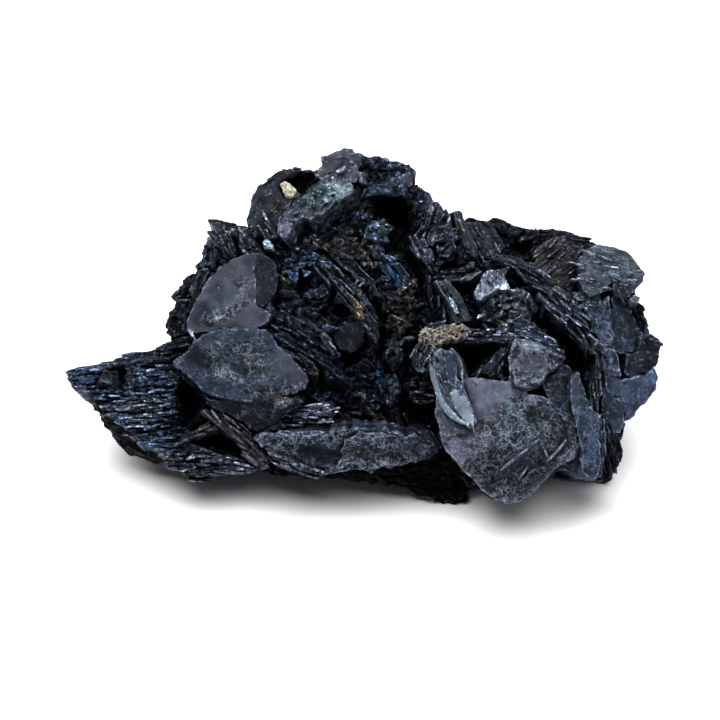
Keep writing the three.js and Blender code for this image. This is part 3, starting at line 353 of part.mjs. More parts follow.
const specimen = new THREE.Group();
specimen.name = 'berthierite_specimen';
specimen.add(meshOf('crystal_cluster', cluster, { color: 0x39414f, roughness: 0.38, metalness: 0.75 }));
specimen.add(meshOf('tan_matrix_grain', seat(grainShape(TAN_GRAIN, GRAIN_BEVEL, 0)), { color: 0xb9ad95, roughness: 0.8, metalness: 0 }));
specimen.add(meshOf('ochre_crust', seat(grainShape(OCHRE_CRUST, CRUST_BEVEL, 0)), { color: 0x9a8b66, roughness: 0.85, metalness: 0 }));

export default specimen;
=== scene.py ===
"""Berthierite specimen: finished look. The crystals are the same ones as in the CAD model, in the same places, with
their jagged edges, laminae, fibres and crackle modelled at full detail, in metres, in the row's frame."""
import bpy, math, time
import numpy as np
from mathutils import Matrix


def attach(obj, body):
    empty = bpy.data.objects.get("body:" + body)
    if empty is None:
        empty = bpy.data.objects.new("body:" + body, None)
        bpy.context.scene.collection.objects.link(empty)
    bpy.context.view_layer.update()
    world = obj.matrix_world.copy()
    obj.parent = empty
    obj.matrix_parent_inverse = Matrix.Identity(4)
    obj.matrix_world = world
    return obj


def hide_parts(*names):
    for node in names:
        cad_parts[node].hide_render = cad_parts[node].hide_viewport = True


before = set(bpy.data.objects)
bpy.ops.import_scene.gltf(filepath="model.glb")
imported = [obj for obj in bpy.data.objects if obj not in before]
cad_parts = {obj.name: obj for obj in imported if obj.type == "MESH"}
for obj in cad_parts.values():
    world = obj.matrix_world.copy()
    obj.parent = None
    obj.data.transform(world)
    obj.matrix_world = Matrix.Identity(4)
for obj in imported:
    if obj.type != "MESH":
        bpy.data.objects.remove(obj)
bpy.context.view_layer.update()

import openvdb

VOX = 0.207        # mm

# ---- the face frame: x right, d inwards, z up along the showy face, mm; then tilted to rest on the base -----------
FACE_TILT = math.radians(35.0)
SEAT = np.array([-0.676, -8.701, 23.8])
CT, ST = math.cos(FACE_TILT), math.sin(FACE_TILT)
def to_row(p):
    x, d, z = p[:, 0], p[:, 1], p[:, 2]
    return np.stack([x + SEAT[0], d * CT + z * ST + SEAT[1], -d * ST + z * CT + SEAT[2]], 1)

# crystals: kind, at, normal, grain, thickness, tint, brightness, extras, outline
PLATES = [
    ('F', [-36,5.01,-4.76], [-0.1,-1,0.25], 3, 9, 1, 0.58, {'pitch': 0.42, 'amp': 0.55, 'seg': 3.2}, [-9.47,2.04,-8.21,0.48,-6.32,-1.6,-4.44,-3.36,-2.39,-4.79,-0.52,-6.7,1.48,-9.08,4.3,-10.24,7.16,-9.8,8.17,-7.96,8.45,-3.81,8.44,1.04,8.06,4.31,6.99,6.03,5.25,6.81,3.15,6.15,0.58,6.18,-3.94,5.22,-6.19,5.22,-8.46,4.57,-10.41,3.58]),
    ('F', [-34.69,6,0.49], [-0.1,-1,0.9], 4, 5, 0, 0.42, {'pitch': 0.5, 'amp': 0.4, 'seg': 4}, [-5.71,-1.68,-3.19,-1.13,-0.03,-0.66,3.15,-1.04,6,-0.95,5.67,0.8,3.59,1.91,1.53,1.08,-1.02,1.17,-6.4,-0.11]),
    ('F', [-34.86,7.01,-13.6], [-0.25,-1,-0.7], -28, 8, 4, 0.16, {'pitch': 0.5, 'amp': 0.6, 'seg': 3}, [-8.14,2.1,-5.49,-0.16,-2.88,-2.72,-1.07,-3.94,4.16,-1.89,6.09,-1.41,8.71,-1.9,10.22,0.67,7.53,0.88,4.27,0.27,0.87,0.04,-4.83,2.52,-7.26,3.09,-11.06,4.17]),
    ('F', [-23.81,1.5,-16.03], [0,-1,0.05], -4, 10, 6, 0.48, {'pitch': 0.42, 'amp': 0.5, 'seg': 2.6}, [-6.38,-0.61,-3.11,-2.57,-1.22,-2.75,0.63,-2.46,3.08,-1.82,5.83,-1.01,7.65,-0.26,6.97,0.48,2.19,1.86,-0.54,2.76,-3.22,3.2,-5.35,2.42,-6.52,1.25]),
    ('F', [-23.11,3,-17.4], [0,-1,-0.6], -6, 8, 4, 0.26, {'pitch': 0.4, 'amp': 0.5, 'seg': 2}, [-5,-1.17,-3.08,-1.95,-0.58,-1.72,2.2,-0.9,4.96,0.11,6.76,1.41,4.24,1.74,0.37,1.02,-3.52,0.67,-6.34,0.79]),
    ('F', [-24.04,0,-10.73], [-0.2,-1,0.2], 24, 6, 4, 0.35, {'pitch': 0.4, 'amp': 0.4, 'seg': 3}, [-1.82,-0.66,0.28,-0.62,2.14,-1.15,3.37,-0.7,2.93,0.73,1.3,0.98,-3.03,0.61,-4.32,0.01]),
    ('F', [-18.5,-1.2,-12.05], [0.2,-1,0.1], -42, 6.7, 4, 0.42, {'pitch': 0.4, 'amp': 0.4, 'seg': 3.5}, [-4.76,-0.81,1.68,-0.97,3.74,-1.38,5.52,-1.02,6.36,0.38,5.17,0.76,3.11,1.18,0.71,1.5,-1.71,1.38,-4.24,0.93,-5.8,0.33,-6.71,-0.51]),
    ('D', [-24.87,3,-8.29], [0.1,-1,0.3], 0, 6, 0, 0.08, {}, [-2.63,-0.88,-1.65,-2.79,3.27,0.24,2,1.51,-0.21,2.43,-2.39,2.04]),
    ('C', [-16.03,-2.05,-7.69], [0,-1,-0.2], 0, 6.45, 1, 0.17, {'crk': 1.4, 'rg': 0.8}, [-7.37,0.62,-4.62,-0.48,0.89,-4.28,4.61,-2.86,3.7,-1.27,5.55,-0.01,7.72,0.94,6.8,1.88,2.19,2.2,-6.28,1.41,-9.19,2.67]),
    ('F', [-17.36,0.6,-10.09], [0,-1,0.2], -25, 5, 0, 0.35, {'pitch': 0.4, 'amp': 0.4, 'seg': 4}, [-1.93,-0.36,0.44,-1.01,2.93,-1.94,3.94,-0.45,2.43,0.59,-0.35,1.39,-2.87,1.63,-4.58,0.16]),
    ('C', [-3.36,-1.5,-14.24], [0,-1,-0.25], 0, 4.5, 1, 0.42, {'crk': 2.4, 'rg': 0.9}, [-12.06,0.7,-10.22,-0.75,-7.77,-2.2,-5.14,-3.17,-2.52,-3.66,-0.51,-3.49,2.12,-2.69,4.91,-3.01,9.85,-2.04,11.7,-1.23,12.61,0.38,11.68,1.98,9.52,2.94,5.67,3.58,1.05,3.74,-4.33,3.1,-8.95,3.42,-11.72,2.94,-13.28,1.98]),
    ('C', [1.83,-2.6,-14.77], [0.1,-1,-0.25], 0, 5.2, 6, 0.3, {'crk': 1.8, 'rg': 0.9}, [-4.61,0.47,-5.23,-1.76,-2.14,-1.21,-1.22,-2.2,-0.13,-2.71,2.19,-1.66,3.74,-1.38,5.13,-0.46,5.58,1.46,4.03,2.78,1.25,3.82,-1.84,3.9,-3.99,2.69]),
    ('C', [9.45,-1.6,-13.77], [0.3,-1,-0.2], 0, 4.2, 1, 0.32, {'crk': 2.0, 'rg': 0.9}, [-2.79,-1.19,-1.49,-2.08,1.1,-1.62,3.05,-0.65,2.72,0.01,1.08,1.39,-0.87,2.48,-2.8,1.66]),
    ('F', [-9.95,-2.4,-16.27], [0,-1,-0.1], -22, 3, 6, 0.45, {'pitch': 0.35, 'amp': 0.4, 'seg': 3}, [-3.61,-0.65,-1.49,-0.97,1.14,-0.92,3.88,-0.32,5.14,0.69,-0.12,0.58,-2.81,0.68,-4.63,0.28]),
    ('F', [-7.66,0.8,-8.86], [0,-1,0], 6, 5, 6, 0.92, {'pitch': 0.42, 'amp': 0.5, 'seg': 4}, [-4.89,-0.89,-3.41,-1.67,-0.68,-2.43,2.14,-2.41,3.8,-1.49,3.43,-0.52,4.63,0.45,3.47,1.35,2.63,2.22,0.43,2.14,-2.11,1.78,-4.03,1.36,-5.41,0.1]),
    ('F', [-11.96,0.2,-11.54], [0,-1,0.1], -2, 4, 0, 0.35, {'pitch': 0.35, 'amp': 0.3, 'seg': 5}, [-3.2,-0.98,-1.04,-0.59,2.68,-0.46,4.51,0.22,2.01,0.76,-1.1,0.96,-3.86,0.09]),
    ('S', [-19.91,0.8,9.63], [-0.1,-1,0.22], 0, 1.8, 6, 0.6, {'crk': 0.22, 'lam': 3}, [-5.56,-5.14,-3.99,-5.01,-1.79,-5.38,1.34,-5.29,4.14,-4.56,5.85,-3.65,5.84,-2.69,3.48,-1.04,3.47,-0.24,3.77,1.19,3.75,2.8,3.42,4.09,3.4,5.7,2.92,7.01,1.34,6.72,-0.38,5.96,-2.1,5.04,-3.5,3.46,-4.58,1.88,-5.49,0.14,-6.25,-1.45,-6.85,-3.03,-6.98,-4.63]),
    ('D', [-19.76,2.2,9.95], [-0.1,-1,0.22], 0, 4, 0, 0.25, {}, [-4.23,-5.95,1.12,-5.91,4.56,-4.87,6.42,-3.32,6.09,-0.75,6.05,3.76,4.77,5.41,3.49,6.41,0.97,5.99,-1.55,4.93,-3.42,3.03,-4.66,1.12,-5.88,-1.26,-6.8,-3.33,-6.92,-5.25]),
    ('C', [-15.2,1.5,12.44], [0.12,-1,0.2], 0, 3, 1, 0.24, {'crk': 0.9, 'rg': 0.5}, [-1.33,2.86,-1.32,1.26,-0.99,-0.01,-0.98,-1.61,-1.27,-3.05,-1.11,-4,0.14,-4.61,1.22,-3.3,1.99,-1.85,2.28,0.08,2.11,2.16,1.32,3.58,-0.1,4.19,-1.97,4.29]),
    ('C', [-18.24,-1.8,-0.7], [0.02,-1,0.14], 0, 2.2, 1, 0.44, {'crk': 1.1, 'lam': 3, 'rg': 0.25}, [-8.29,2.55,-11.03,0.52,-9.94,-0.72,-6.52,-3.66,-4.36,-4.9,-2.05,-5.51,0.25,-5.66,2.56,-5.66,5.32,-5.19,7.78,-4.56,9.77,-3.62,10.23,-2.38,9.92,-1.14,8.83,0.42,7.59,1.81,5.89,2.75,4.8,4.3,3.72,5.39,1.86,6.01,-0.92,5.85,-3.69,5.53,-5.84,4.74,-7.53,3.64]),
    # the next two tiny glittering facets, brightness 1.3 and 1.0: painted glints
    ('V', [-26.21,0.2,4.15], [-0.3,-1,0.6], 0, 1, 5, 1.3, {}, [-0.14,-0.48,0.52,-0.76,0.3,0.55,-0.68,0.7]),
    ('V', [-25.46,-1,2.82], [-0.2,-1,0.6], 0, 1, 5, 1, {}, [-0.18,-0.39,0.3,-0.44,0.26,0.47,-0.37,0.36]),
    ('F', [-20.17,7,20.97], [-0.15,-1,0.45], -12, 5, 2, 0.4, {'pitch': 0.5, 'amp': 0.35, 'seg': 4, 'jag': 0.3}, [-3.06,-0.1,-1.62,-0.64,0.03,-0.61,2.47,-1.2,4.46,-1.31,3.83,0.04,2.04,0.72,-3.02,1.17,-4.48,0.99]),
    ('D', [-19.98,6.2,19], [-0.2,-1,0.1], -60, 5.8, 2, 0.3, {'jag': 0.5}, [-1.77,-1.18,0.3,-0.82,2.48,-0.89,3.17,0.59,2.4,2.12,0.51,2.04,-1.05,0.66,-2.47,-0.8,-3.56,-1.7]),
    ('F', [-22.75,5.4,19.13], [-0.3,-1,0.1], -60, 6.6, 2, 0.46, {'crk': 0.1, 'jag': 0.3}, [0.22,-0.99,1.97,-0.2,1.61,0.74,-0.15,0.9,-1.42,0.61,-2.22,-1.06]),
    ('F', [-20.91,4.6,17.72], [-0.2,-1,0.1], -65, 7.4, 2, 0.36, {'pitch': 0.5, 'amp': 0.4, 'seg': 3, 'jag': 0.4}, [-0.68,-0.95,1.06,-0.99,2.36,-0.49,1.9,0.77,-0.06,1.09,-2.01,1.05,-2.57,-0.48]),
    ('F', [-17.66,4.2,18.4], [-0.1,-1,0.2], -55, 7.8, 2, 0.42, {'pitch': 0.6, 'amp': 0.4, 'seg': 3, 'jag': 0.4}, [-0.87,-1.24,1.16,-1.47,2.04,-0.53,2.12,0.94,0.22,1.08,-1.78,1.09,-2.89,0.12]),
    ('R', [-24.46,7.2,14.68], [-0.45,-1,0.2], 40, 7, 0, 0.28, {}, [-0.61,1.42,-1.69,0.66,-4.14,-0.09,-6.19,-0.33,-4.87,-2.13,-3.24,-2.39,-1,-1.9,1.49,-1.67,3.61,-2.44,4.35,-1.81,4.05,0.35,3.52,2.53,2.33,3.06,1.34,2.68,1.05,2.04]),
    ('F', [-26.3,6.2,12.01], [-0.4,-1,0.1], 50, 5.8, 0, 0.35, {'pitch': 0.6, 'amp': 0.5, 'seg': 3}, [0.24,1.01,-3.35,0.77,-2.75,-0.57,-1.63,-1.01,0.88,-1.19,3.18,-1.1,3.05,0.16,1.85,0.98]),
    ('R', [-27.88,6.8,10.25], [-0.4,-1,0], 50, 6, 0, 0.2, {}, [-1.7,0.21,-1.29,-0.59,-0.44,-1.71,1.45,-1.58,2.13,-0.38,1.76,0.89,-0.31,1.52,-1.6,1.64]),
    ('R', [-26.96,8.5,12.46], [-0.5,-1,0.1], 20, 7, 0, 0.25, {}, [-2.49,-1.01,-0.69,-1.5,1.12,-0.93,2.14,0.71,1.59,1.32,-0.27,1.14,-1.4,0.26]),
    ('R', [-28.59,6.2,6.67], [-0.4,-1,-0.05], 60, 6, 0, 0.22, {}, [0.65,1.73,-0.81,1.78,-2.33,1.6,-2.95,1.08,-3.24,-0.06,-2.65,-1.15,-1.34,-2.26,0.51,-1.7,4.53,-1.22,3.21,0.27,1.91,1.38]),
    ('F', [-29.06,5.4,1.87], [-0.2,-1,0.2], 18, 6.6, 0, 0.3, {'pitch': 0.5, 'amp': 0.6, 'seg': 2.5}, [-2.47,-0.45,-1.16,-1.78,2.57,-1.26,3.5,0.11,1.8,1.25,-0.19,1.46,-1.6,1.29,-3.07,0.97]),
    ('R', [-28.52,6.6,3.53], [-0.4,-1,0], 20, 6, 7, 0.15, {}, [-1.55,0.74,-1.57,-0.28,0.34,-1.21,2.42,-1.69,2.11,-0.55,0.05,0.95,-1.81,2.03]),
    ('C', [-13.77,9.01,25.88], [-0.35,-1,0.4], 50, 10, 0, 0.36, {'crk': 0.7, 'rg': 1.2}, [-6.53,-2.4,-5.31,-4.06,-2.83,-3.94,-0.54,-3.54,1.05,-3.36,2.75,-3.33,3.8,-1.79,4.3,-0.09,5.65,-0.16,5.46,1.32,4.36,2.87,2.92,3.35,1.33,3.44,-0.35,3.68,-1.73,3.48,-3.18,2.49,-4.83,1.78,-6.31,0.25]),
    ('F', [-14.69,5.6,20.9], [-0.3,-1,0.2], -60, 3, 2, 0.45, {'crk': 0.3}, [-0.52,-1.01,1.46,-0.88,1.95,0.55,0.61,0.84,-1.23,0.64,-2.28,-0.14]),
    ('R', [-9.42,10.5,30.18], [0,-1,0.6], 0, 5, 3, 0.28, {}, [-2.73,-0.69,-1.44,-1.09,0.46,-0.3,2.71,-0.69,2.85,0.69,1.73,0.49,-0.19,0.89,-3.4,0.69]),
    ('V', [-7.17,5,24.64], [-0.3,-1,0.55], -35, 6.5, 5, 0.52, {}, [-2.81,0.41,-3.5,-3.41,-3.31,-5.36,-2.24,-6.28,-1.19,-5.77,-0.9,-4.21,-0.29,-3.1,1.17,-2.61,1.97,-1.21,2.51,0.27,3.9,3.39,4.3,4.8,3.29,5.97,1.77,5.87,-0.45,5.03,-1.93,3.71]),
    ('V', [-11.97,3.8,20.57], [-0.3,-1,0.35], 0, 7.7, 6, 0.66, {}, [-1.09,-0.58,-0.09,-1.72,1.05,-1,1.2,0.68,0.03,1.67,-1.11,0.95]),
    ('V', [-14.47,3.4,18.17], [-0.2,-1,0.4], 0, 2, 5, 1.1, {}, [-0.73,-0.63,0.72,-0.92,0.87,-0.25,0.05,0.86,-0.92,0.94]),
    ('C', [-3.3,10,30.98], [0,-1,0.32], 20, 9, 6, 0.6, {'crk': 0.8, 'rg': 1.4}, [-3.45,-1.51,-1.88,-1.87,-0.13,-2.66,1.26,-3.51,2.75,-3.11,3.39,0.69,3.03,2.1,1.94,2.85,0.25,2.88,-1.24,2.48,-2.26,2.47,-2.61,0.94,-4.07,-0.38]),
    ('V', [-3.15,8.6,30.37], [0,-1,0.6], 0, 2, 6, 1.1, {}, [-0.35,-0.75,0.61,-0.35,0.92,0.83,-0.19,0.43,-0.99,-0.16]),
    ('D', [3.82,11,29.94], [0.1,-1,0.3], -70, 9, 1, 0.4, {}, [-3.58,-3.2,-0.5,-3.76,1.94,-4.07,3.07,-2.97,2.56,-1.37,3.59,-0.05,3.66,1.66,1.95,4.99,0.35,5.13,-0.73,3.65,-2.86,-0.19,-4.65,-2.08,-5.62,-3.25]),
    ('S', [6.64,9,28.39], [0.25,-1,0.1], 0, 3, 6, 0.56, {'crk': 0.2}, [-1.43,-1.38,-0.11,-1.32,1.87,-0.59,1.55,1.82,-1.76,0.38]),
    ('S', [0,8.4,29.07], [-0.5,-1,0.2], 85, 2, 6, 0.65, {}, [-1.11,-0.01,-0.75,-0.67,0.86,-0.04,1,0.71]),
    ('F', [7.51,10,26.35], [0.1,-1,-0.1], 60, 5, 0, 0.35, {'pitch': 0.5, 'amp': 0.7, 'seg': 2}, [-1.23,0.58,-1.02,-0.41,-0.09,-1.36,1.44,-0.83,1.2,0.52,-0.3,1.51]),
    ('R', [-1.93,7.6,23.08], [0,-1,0.12], 10, 8, 0, 0.2, {}, [-4.35,-1.11,-3.01,-2.65,-0.93,-3.67,1.67,-3.47,3.2,-2.1,4.16,-0.31,3.56,1.76,2.9,3.52,1.28,3.47,-2.92,1.59,-4.73,0.43]),
    ('R', [0.42,8.5,25.04], [0.1,-1,0.1], 10, 8, 1, 0.22, {}, [-1.78,-0.26,-0.48,-2.1,1.16,-2.03,1.92,0.46,0.57,1.98,-1.39,1.96]),
    ('R', [-0.97,7.2,17.6], [0,-1,0.05], -35, 8, 3, 0.42, {}, [-4.04,-3.03,-2.77,-2.92,-1.96,-1.58,2.43,-1.23,4.37,-1.23,4.84,0.85,4.71,2.7,3.1,3.9,2.52,2.52,0.96,1.43,-1.24,1.26,-3.35,0.95,-4.72,-0.4,-5.08,-1.82]),
    ('R', [3.08,7,20.46], [0.1,-1,0.2], 0, 6, 1, 0.45, {'iri': 1}, [-1.5,-0.88,-0.39,-1.5,1.04,-1.14,2,0.19,1.05,1.15,-0.54,1.43,-1.66,0.75]),
    ('R', [-8.33,7,20.22], [-0.1,-1,0.1], 0, 7, 0, 0.22, {}, [-2.62,-0.87,-1.18,-1.85,1.05,-2.2,2.8,-0.95,3.12,0.64,1.68,1.63,-0.23,1.82,-1.83,1.36,-2.79,0.42]),
    ('R', [-10.49,6.4,17.25], [-0.1,-1,0], 0, 7, 0, 0.2, {}, [-2.66,-1.74,-0.58,-1.44,1.97,-1.77,3.88,-0.83,2.92,0.44,1.01,1.08,-0.58,2.04,-2.5,1.74,-3.46,0.48]),
    ('R', [-11.3,5.8,13.61], [0,-1,0], 0, 8, 0, 0.26, {}, [-2.58,-0.36,-1.48,-2.25,0.26,-2.56,1.83,-1.3,2.78,0.59,1.83,1.85,-0.37,2.17,-2.27,1.85]),
    ('R', [-12.81,4.8,12.43], [-0.2,-1,0.2], 0, 2, 8, 0.55, {}, [-0.42,-0.47,0.39,-0.83,0.71,-0.03,0.06,0.81,-0.75,0.52]),
    ('R', [-10.36,5.2,12.95], [0,-1,0.2], 0, 2, 1, 0.6, {'iri': 1}, [-0.66,-0.36,0.29,-1,1.07,-0.19,0.28,0.94,-0.98,0.62]),
    ('R', [-6.6,5.6,15.98], [0,-1,0.3], -30, 3, 1, 0.45, {'iri': 1}, [-0.58,-0.96,0.96,-0.48,1.91,0.42,0.67,0.69,-0.98,0.73,-1.98,-0.39]),
    ('R', [-12.25,4.2,9.38], [0,-1,0], 80, 7, 0, 0.26, {}, [-1.57,1.95,-2.18,-0.06,-1.79,-2.23,0.12,-2.21,1.5,-1.01,2.14,2.61]),
    ('R', [9.41,10,24.89], [0.15,-1,0.3], -70, 9, 1, 0.32, {}, [-1.53,-1.09,1.08,-2.38,3.64,-2.77,2.83,-1.02,1.28,0.7,-0.23,2.06,-1.28,2.16,-2.66,1.86,-3.15,0.48]),
    ('F', [11.77,6,19.83], [-0.1,-1,0.12], 72, 10, 6, 0.46, {'pitch': 0.7, 'amp': 0.6, 'seg': 2.5}, [2.3,2.53,0.18,2.82,-1.72,3.52,-2.95,2.61,-3.98,1.1,-4.81,-0.51,-5.13,-2.11,-3.69,-2.96,-2.95,-4.22,-0.99,-4.06,1.25,-2.66,3.59,-1.55,5.5,0.92,5.07,2.28,3.92,2.73]),
    ('F', [9.39,4.6,17.36], [-0.3,-1,0.2], -62, 6, 6, 0.5, {'pitch': 0.6, 'amp': 0.5, 'seg': 2.5}, [-1.09,-1.42,0.94,-1.11,2.73,-0.52,3.07,0.75,0.87,1.43,-1.07,1.27,-2.59,0.55,-2.86,-0.95]),
    ('R', [13.3,4.8,18.61], [0,-1,0.15], -70, 5.2, 6, 0.38, {}, [-0.42,-1.28,1.9,-1.48,2.63,-0.41,1.81,1.07,-0.4,1.57,-2.59,1.21,-2.94,-0.68]),
    ('D', [15.79,8.4,19.71], [0.2,-1,0.1], -80, 8, 0, 0.12, {}, [-1.78,-0.86,1.16,-0.77,4.2,-1.04,4.31,0.6,1.79,1.11,-3.97,0.75,-4.2,-0.71]),
    ('F', [16.93,6.4,19.99], [0.25,-1,0.2], -66, 5, 2, 0.48, {'pitch': 0.45, 'amp': 0.35, 'seg': 6, 'soft': 1}, [-1.03,-0.98,1.68,-1.23,3.73,-0.97,3.67,0.16,1.88,0.51,-3.7,1.1,-4.06,-0.2]),
    ('R', [16.88,6.2,16.52], [0.1,-1,0], -60, 7, 0, 0.25, {}, [-1.44,-0.8,0.36,-1.47,1.81,-0.83,2.49,0.99,0.8,1.22,-1.09,0.47,-2.93,0.42]),
    ('F', [19.75,7.8,19.28], [0.15,-1,0.22], -62, 7, 2, 0.38, {'pitch': 0.8, 'amp': 0.3, 'seg': 6, 'soft': 1}, [-2.16,-1.81,-0.08,-2.09,2.14,-2.08,3.24,-1.04,3.57,1.02,2.59,2.35,-0.14,2.45,-2.23,1.99,-3.12,0.63,-3.8,-1.41]),
    ('D', [24.31,10,20.94], [0,-1,0.55], -15, 7, 0, 0.2, {}, [-2.31,-0.74,-0.65,-1.71,1.67,-1.93,4.08,-0.98,4.19,0.98,2.32,0.54,-3.38,1.35,-4.36,0.53]),
    ('F', [33.96,11.5,19.35], [0.05,-1,0.5], -8, 6, 0, 0.22, {'pitch': 0.5, 'amp': 0.6, 'seg': 3}, [-4.99,-1.22,-3.12,-0.38,-0.52,-0.55,2.11,-1.08,4.71,-1.43,6.58,-0.4,4.59,0.23,-1.96,1.29,-3.88,1,-5.82,0.89]),
    ('F', [15.73,5.2,13.7], [0,-1,0.3], 8, 5, 0, 0.34, {'pitch': 0.5, 'amp': 0.5, 'seg': 4}, [-3.04,-0.26,-2.05,-1.07,0.5,-1.08,2.75,-0.88,3.84,-0.01,1.75,0.94,-0.72,1.44,-3.03,0.91]),
    ('V', [17.3,4.2,13.24], [0,-1,0.5], 12, 3, 5, 0.65, {}, [-2.08,-0.58,-0.5,-0.7,1.39,-0.14,2,0.47,0.46,0.76,-1.27,0.18]),
    ('V', [17.42,4.6,14.84], [0.1,-1,0.4], 0, 3, 5, 0.5, {}, [-0.46,-0.61,0.5,-0.39,0.67,0.3,0.05,0.8,-0.76,-0.1]),
    ('V', [20.44,2,11.63], [-0.08,-1,0.32], 70, 2, 6, 0.88, {}, [-3.01,0.69,-0.76,-0.61,-0.01,-1.66,0.48,-2.97,1.2,-2.53,2.62,-0.65,2.81,0.25,2.01,1.45,0.91,2.03,-0.55,2.14,-2.2,1.83,-3.38,1.21]),
    ('S', [22.53,2.6,14.04], [0.2,-1,0.4], 40, 2, 6, 0.5, {}, [-0.87,0.03,-0.8,-0.86,1.74,0.06,0.47,0.33,-0.94,0.91]),
    ('D', [23.01,3,7.68], [0,-1,0], 0, 7, 2, 0.7, {'crk': 0.6}, [-3.77,-1.42,-2.67,-3.3,-1.11,-4.39,0.3,-3.92,1.08,-2.05,1.55,-0.48,2.96,0.15,4.21,1.08,3.9,2.49,2.02,3.27,0.15,3.43,-1.58,2.96,-2.98,1.87,-4.08,0.3]),
    ('F', [14.93,2.8,9.16], [0.15,-1,0.1], -61, 7.2, 2, 0.5, {'pitch': 0.45, 'amp': 0.35, 'seg': 6, 'soft': 1}, [-1.46,-0.91,0.77,-1.08,2.72,-1.46,3.6,-0.5,3.74,1.07,-0.6,1.35,-2.36,1.07,-3.79,0.42,-4.27,-1.13]),
    ('V', [14.58,2,8.55], [-0.2,-1,0.4], -55, 2, 2, 0.75, {}, [-0.22,-0.51,1.38,-0.67,1.72,0.05,0.32,0.45,-1.14,0.51,-2.05,0.18]),
    ('F', [12.22,5,10.96], [0,-1,0], -84, 8, 0, 0.26, {'pitch': 0.5, 'amp': 0.7, 'seg': 5}, [-1.8,-1.49,1.4,-1.2,4.64,-0.43,4.51,1.33,1.03,1.38,-1.68,1.19,-3.5,0.43,-4.62,-1.2]),
    ('D', [11.04,5.6,7.18], [0,-1,0.1], 0, 7, 1, 0.2, {}, [-2.21,-0.24,-0.64,-1.67,2.2,-1.67,2.52,-0.4,0.01,1.99,-1.89,1.99]),
    ('D', [26.11,3.6,7.68], [0.1,-1,0.2], 0, 6.4, 6, 0.4, {}, [-2.33,-0.85,-1.23,-1.47,0.52,-1.43,1.81,-0.28,2.31,1.34,0.57,1.78,-1.66,0.93]),
    ('F', [25.18,3.8,14.3], [0.1,-1,0.45], -36, 5, 0, 0.42, {'pitch': 0.5, 'amp': 0.6, 'seg': 4}, [-3.52,-1.7,-1.53,-0.7,0.97,-0.86,3.42,-1.25,5.59,-1.19,5.51,1.1,3.23,1.84,0.86,2.09,-1.15,1.73,-2.98,1.07,-4.79,-0.22,-5.62,-1.9]),
    ('F', [32.88,2,6.53], [0.2,-1,0.28], -43, 5, 0, 0.5, {'pitch': 0.5, 'amp': 0.6, 'seg': 5}, [-4.46,-1.15,-1.72,-1.43,1.35,-1.6,4.11,-1.4,6.29,-1.76,7.12,-0.73,5.22,0.58,2.61,1.21,-0.02,1.6,-4.86,2.12,-6.45,1.24,-6.64,-0.55]),
    ('F', [33.45,4,9.06], [0.1,-1,0.3], -45, 6, 0, 0.4, {'pitch': 0.5, 'amp': 0.6, 'seg': 3}, [-0.61,-0.54,2.27,-0.93,4.05,-0.55,2.08,0.74,-0.59,0.88,-2.82,0.52,-4.39,-0.11]),
    ('F', [36.97,1.2,-2.3], [0.1,-1,0.1], -84, 5.8, 2, 0.42, {'pitch': 0.45, 'amp': 0.5, 'seg': 6}, [-3.3,-0.32,-0.48,-0.36,5.68,-1.46,5.92,-0.69,4.27,-0.01,1.53,0.82,-1.22,1.49,-3.43,1.45,-5.4,0.74,-6.18,-0.75]),
    ('F', [31.34,6,15.07], [-0.02,-1,0.22], 40, 9, 3, 0.4, {'pitch': 0.34, 'amp': 0.5, 'seg': 3, 'soft': 1}, [-2.6,2.9,-3.21,-1.46,-3.14,-4.05,-1.26,-4.76,0.76,-4.32,2.82,-2.64,4.16,-0.35,3.9,1.78,2.52,3.56,0.4,4.24,-1.53,3.92]),
    ('F', [39.57,4.8,13.95], [0.2,-1,0.3], -10, 9, 5, 0.66, {'pitch': 0.45, 'amp': 0.3, 'seg': 8, 'soft': 1}, [-4.97,-1.64,-4.29,-4.19,-2.86,-5.04,-1.2,-3.97,0.41,-1.21,1.93,-1.53,4.06,-1.37,5.26,-0.4,5.41,1,4.44,2.14,3.32,3.07,1.88,3.93,-0.46,4.06,-2.77,4.01,-4.42,2.76,-5.33,1]),
    ('F', [36.92,4.2,12.13], [0,-1,0.15], -12, 6, 2, 0.66, {'pitch': 0.5, 'amp': 0.3, 'seg': 5, 'soft': 1}, [-2.01,-1.28,-0.69,-2.31,0.84,-1.98,1.89,-0.79,2.2,0.91,1.35,2.04,-0.93,2.21,-2.65,1.2]),
    ('F', [41.52,5,11.11], [0.2,-1,0], -60, 6, 2, 0.5, {'pitch': 0.5, 'amp': 0.35, 'seg': 4, 'soft': 1}, [-0.7,-1.44,0.71,-1.49,1.52,-0.05,1.18,1.28,0.22,1.82,-0.86,0.54,-2.07,-0.67]),
    ('R', [35.67,4,9.46], [0,-1,0.2], 0, 6, 5, 0.55, {'iri': 0}, [-1.63,-0.69,0.07,-1.82,1.66,-1.01,2.32,0.44,0.75,0.44,-0.8,1.4,-2.37,1.24]),
    ('C', [38.14,4,5.67], [0.1,-1,0.1], -80, 7, 1, 0.58, {'crk': 1.5, 'rg': 1.0}, [0.03,-1.79,4.59,-0.42,4.35,0.92,1.2,1.23,-1.91,1.84,-4.14,1.96,-3.84,-0.05,-2.67,-2.56]),
    ('C', [43.54,6.5,4.61], [0.25,-1,0.1], -80, 9, 1, 0.36, {'crk': 1.2, 'rg': 1.0}, [-0.78,-3.84,2.23,-4.13,3.07,-2.94,3.42,0.08,3.65,3.31,2.96,3.98,1.94,3.68,0.96,2.67,0.37,1.07,-1.73,0.13,-4.65,0.06,-5.49,-1.14,-5.94,-2.93]),
    ('S', [43.32,5,9.67], [0.2,-1,0.6], -40, 2, 5, 0.7, {'crk': 0.2}, [-0.08,-0.9,0.67,-0.26,0.58,0.88,-0.34,0.84,-0.84,-0.57]),
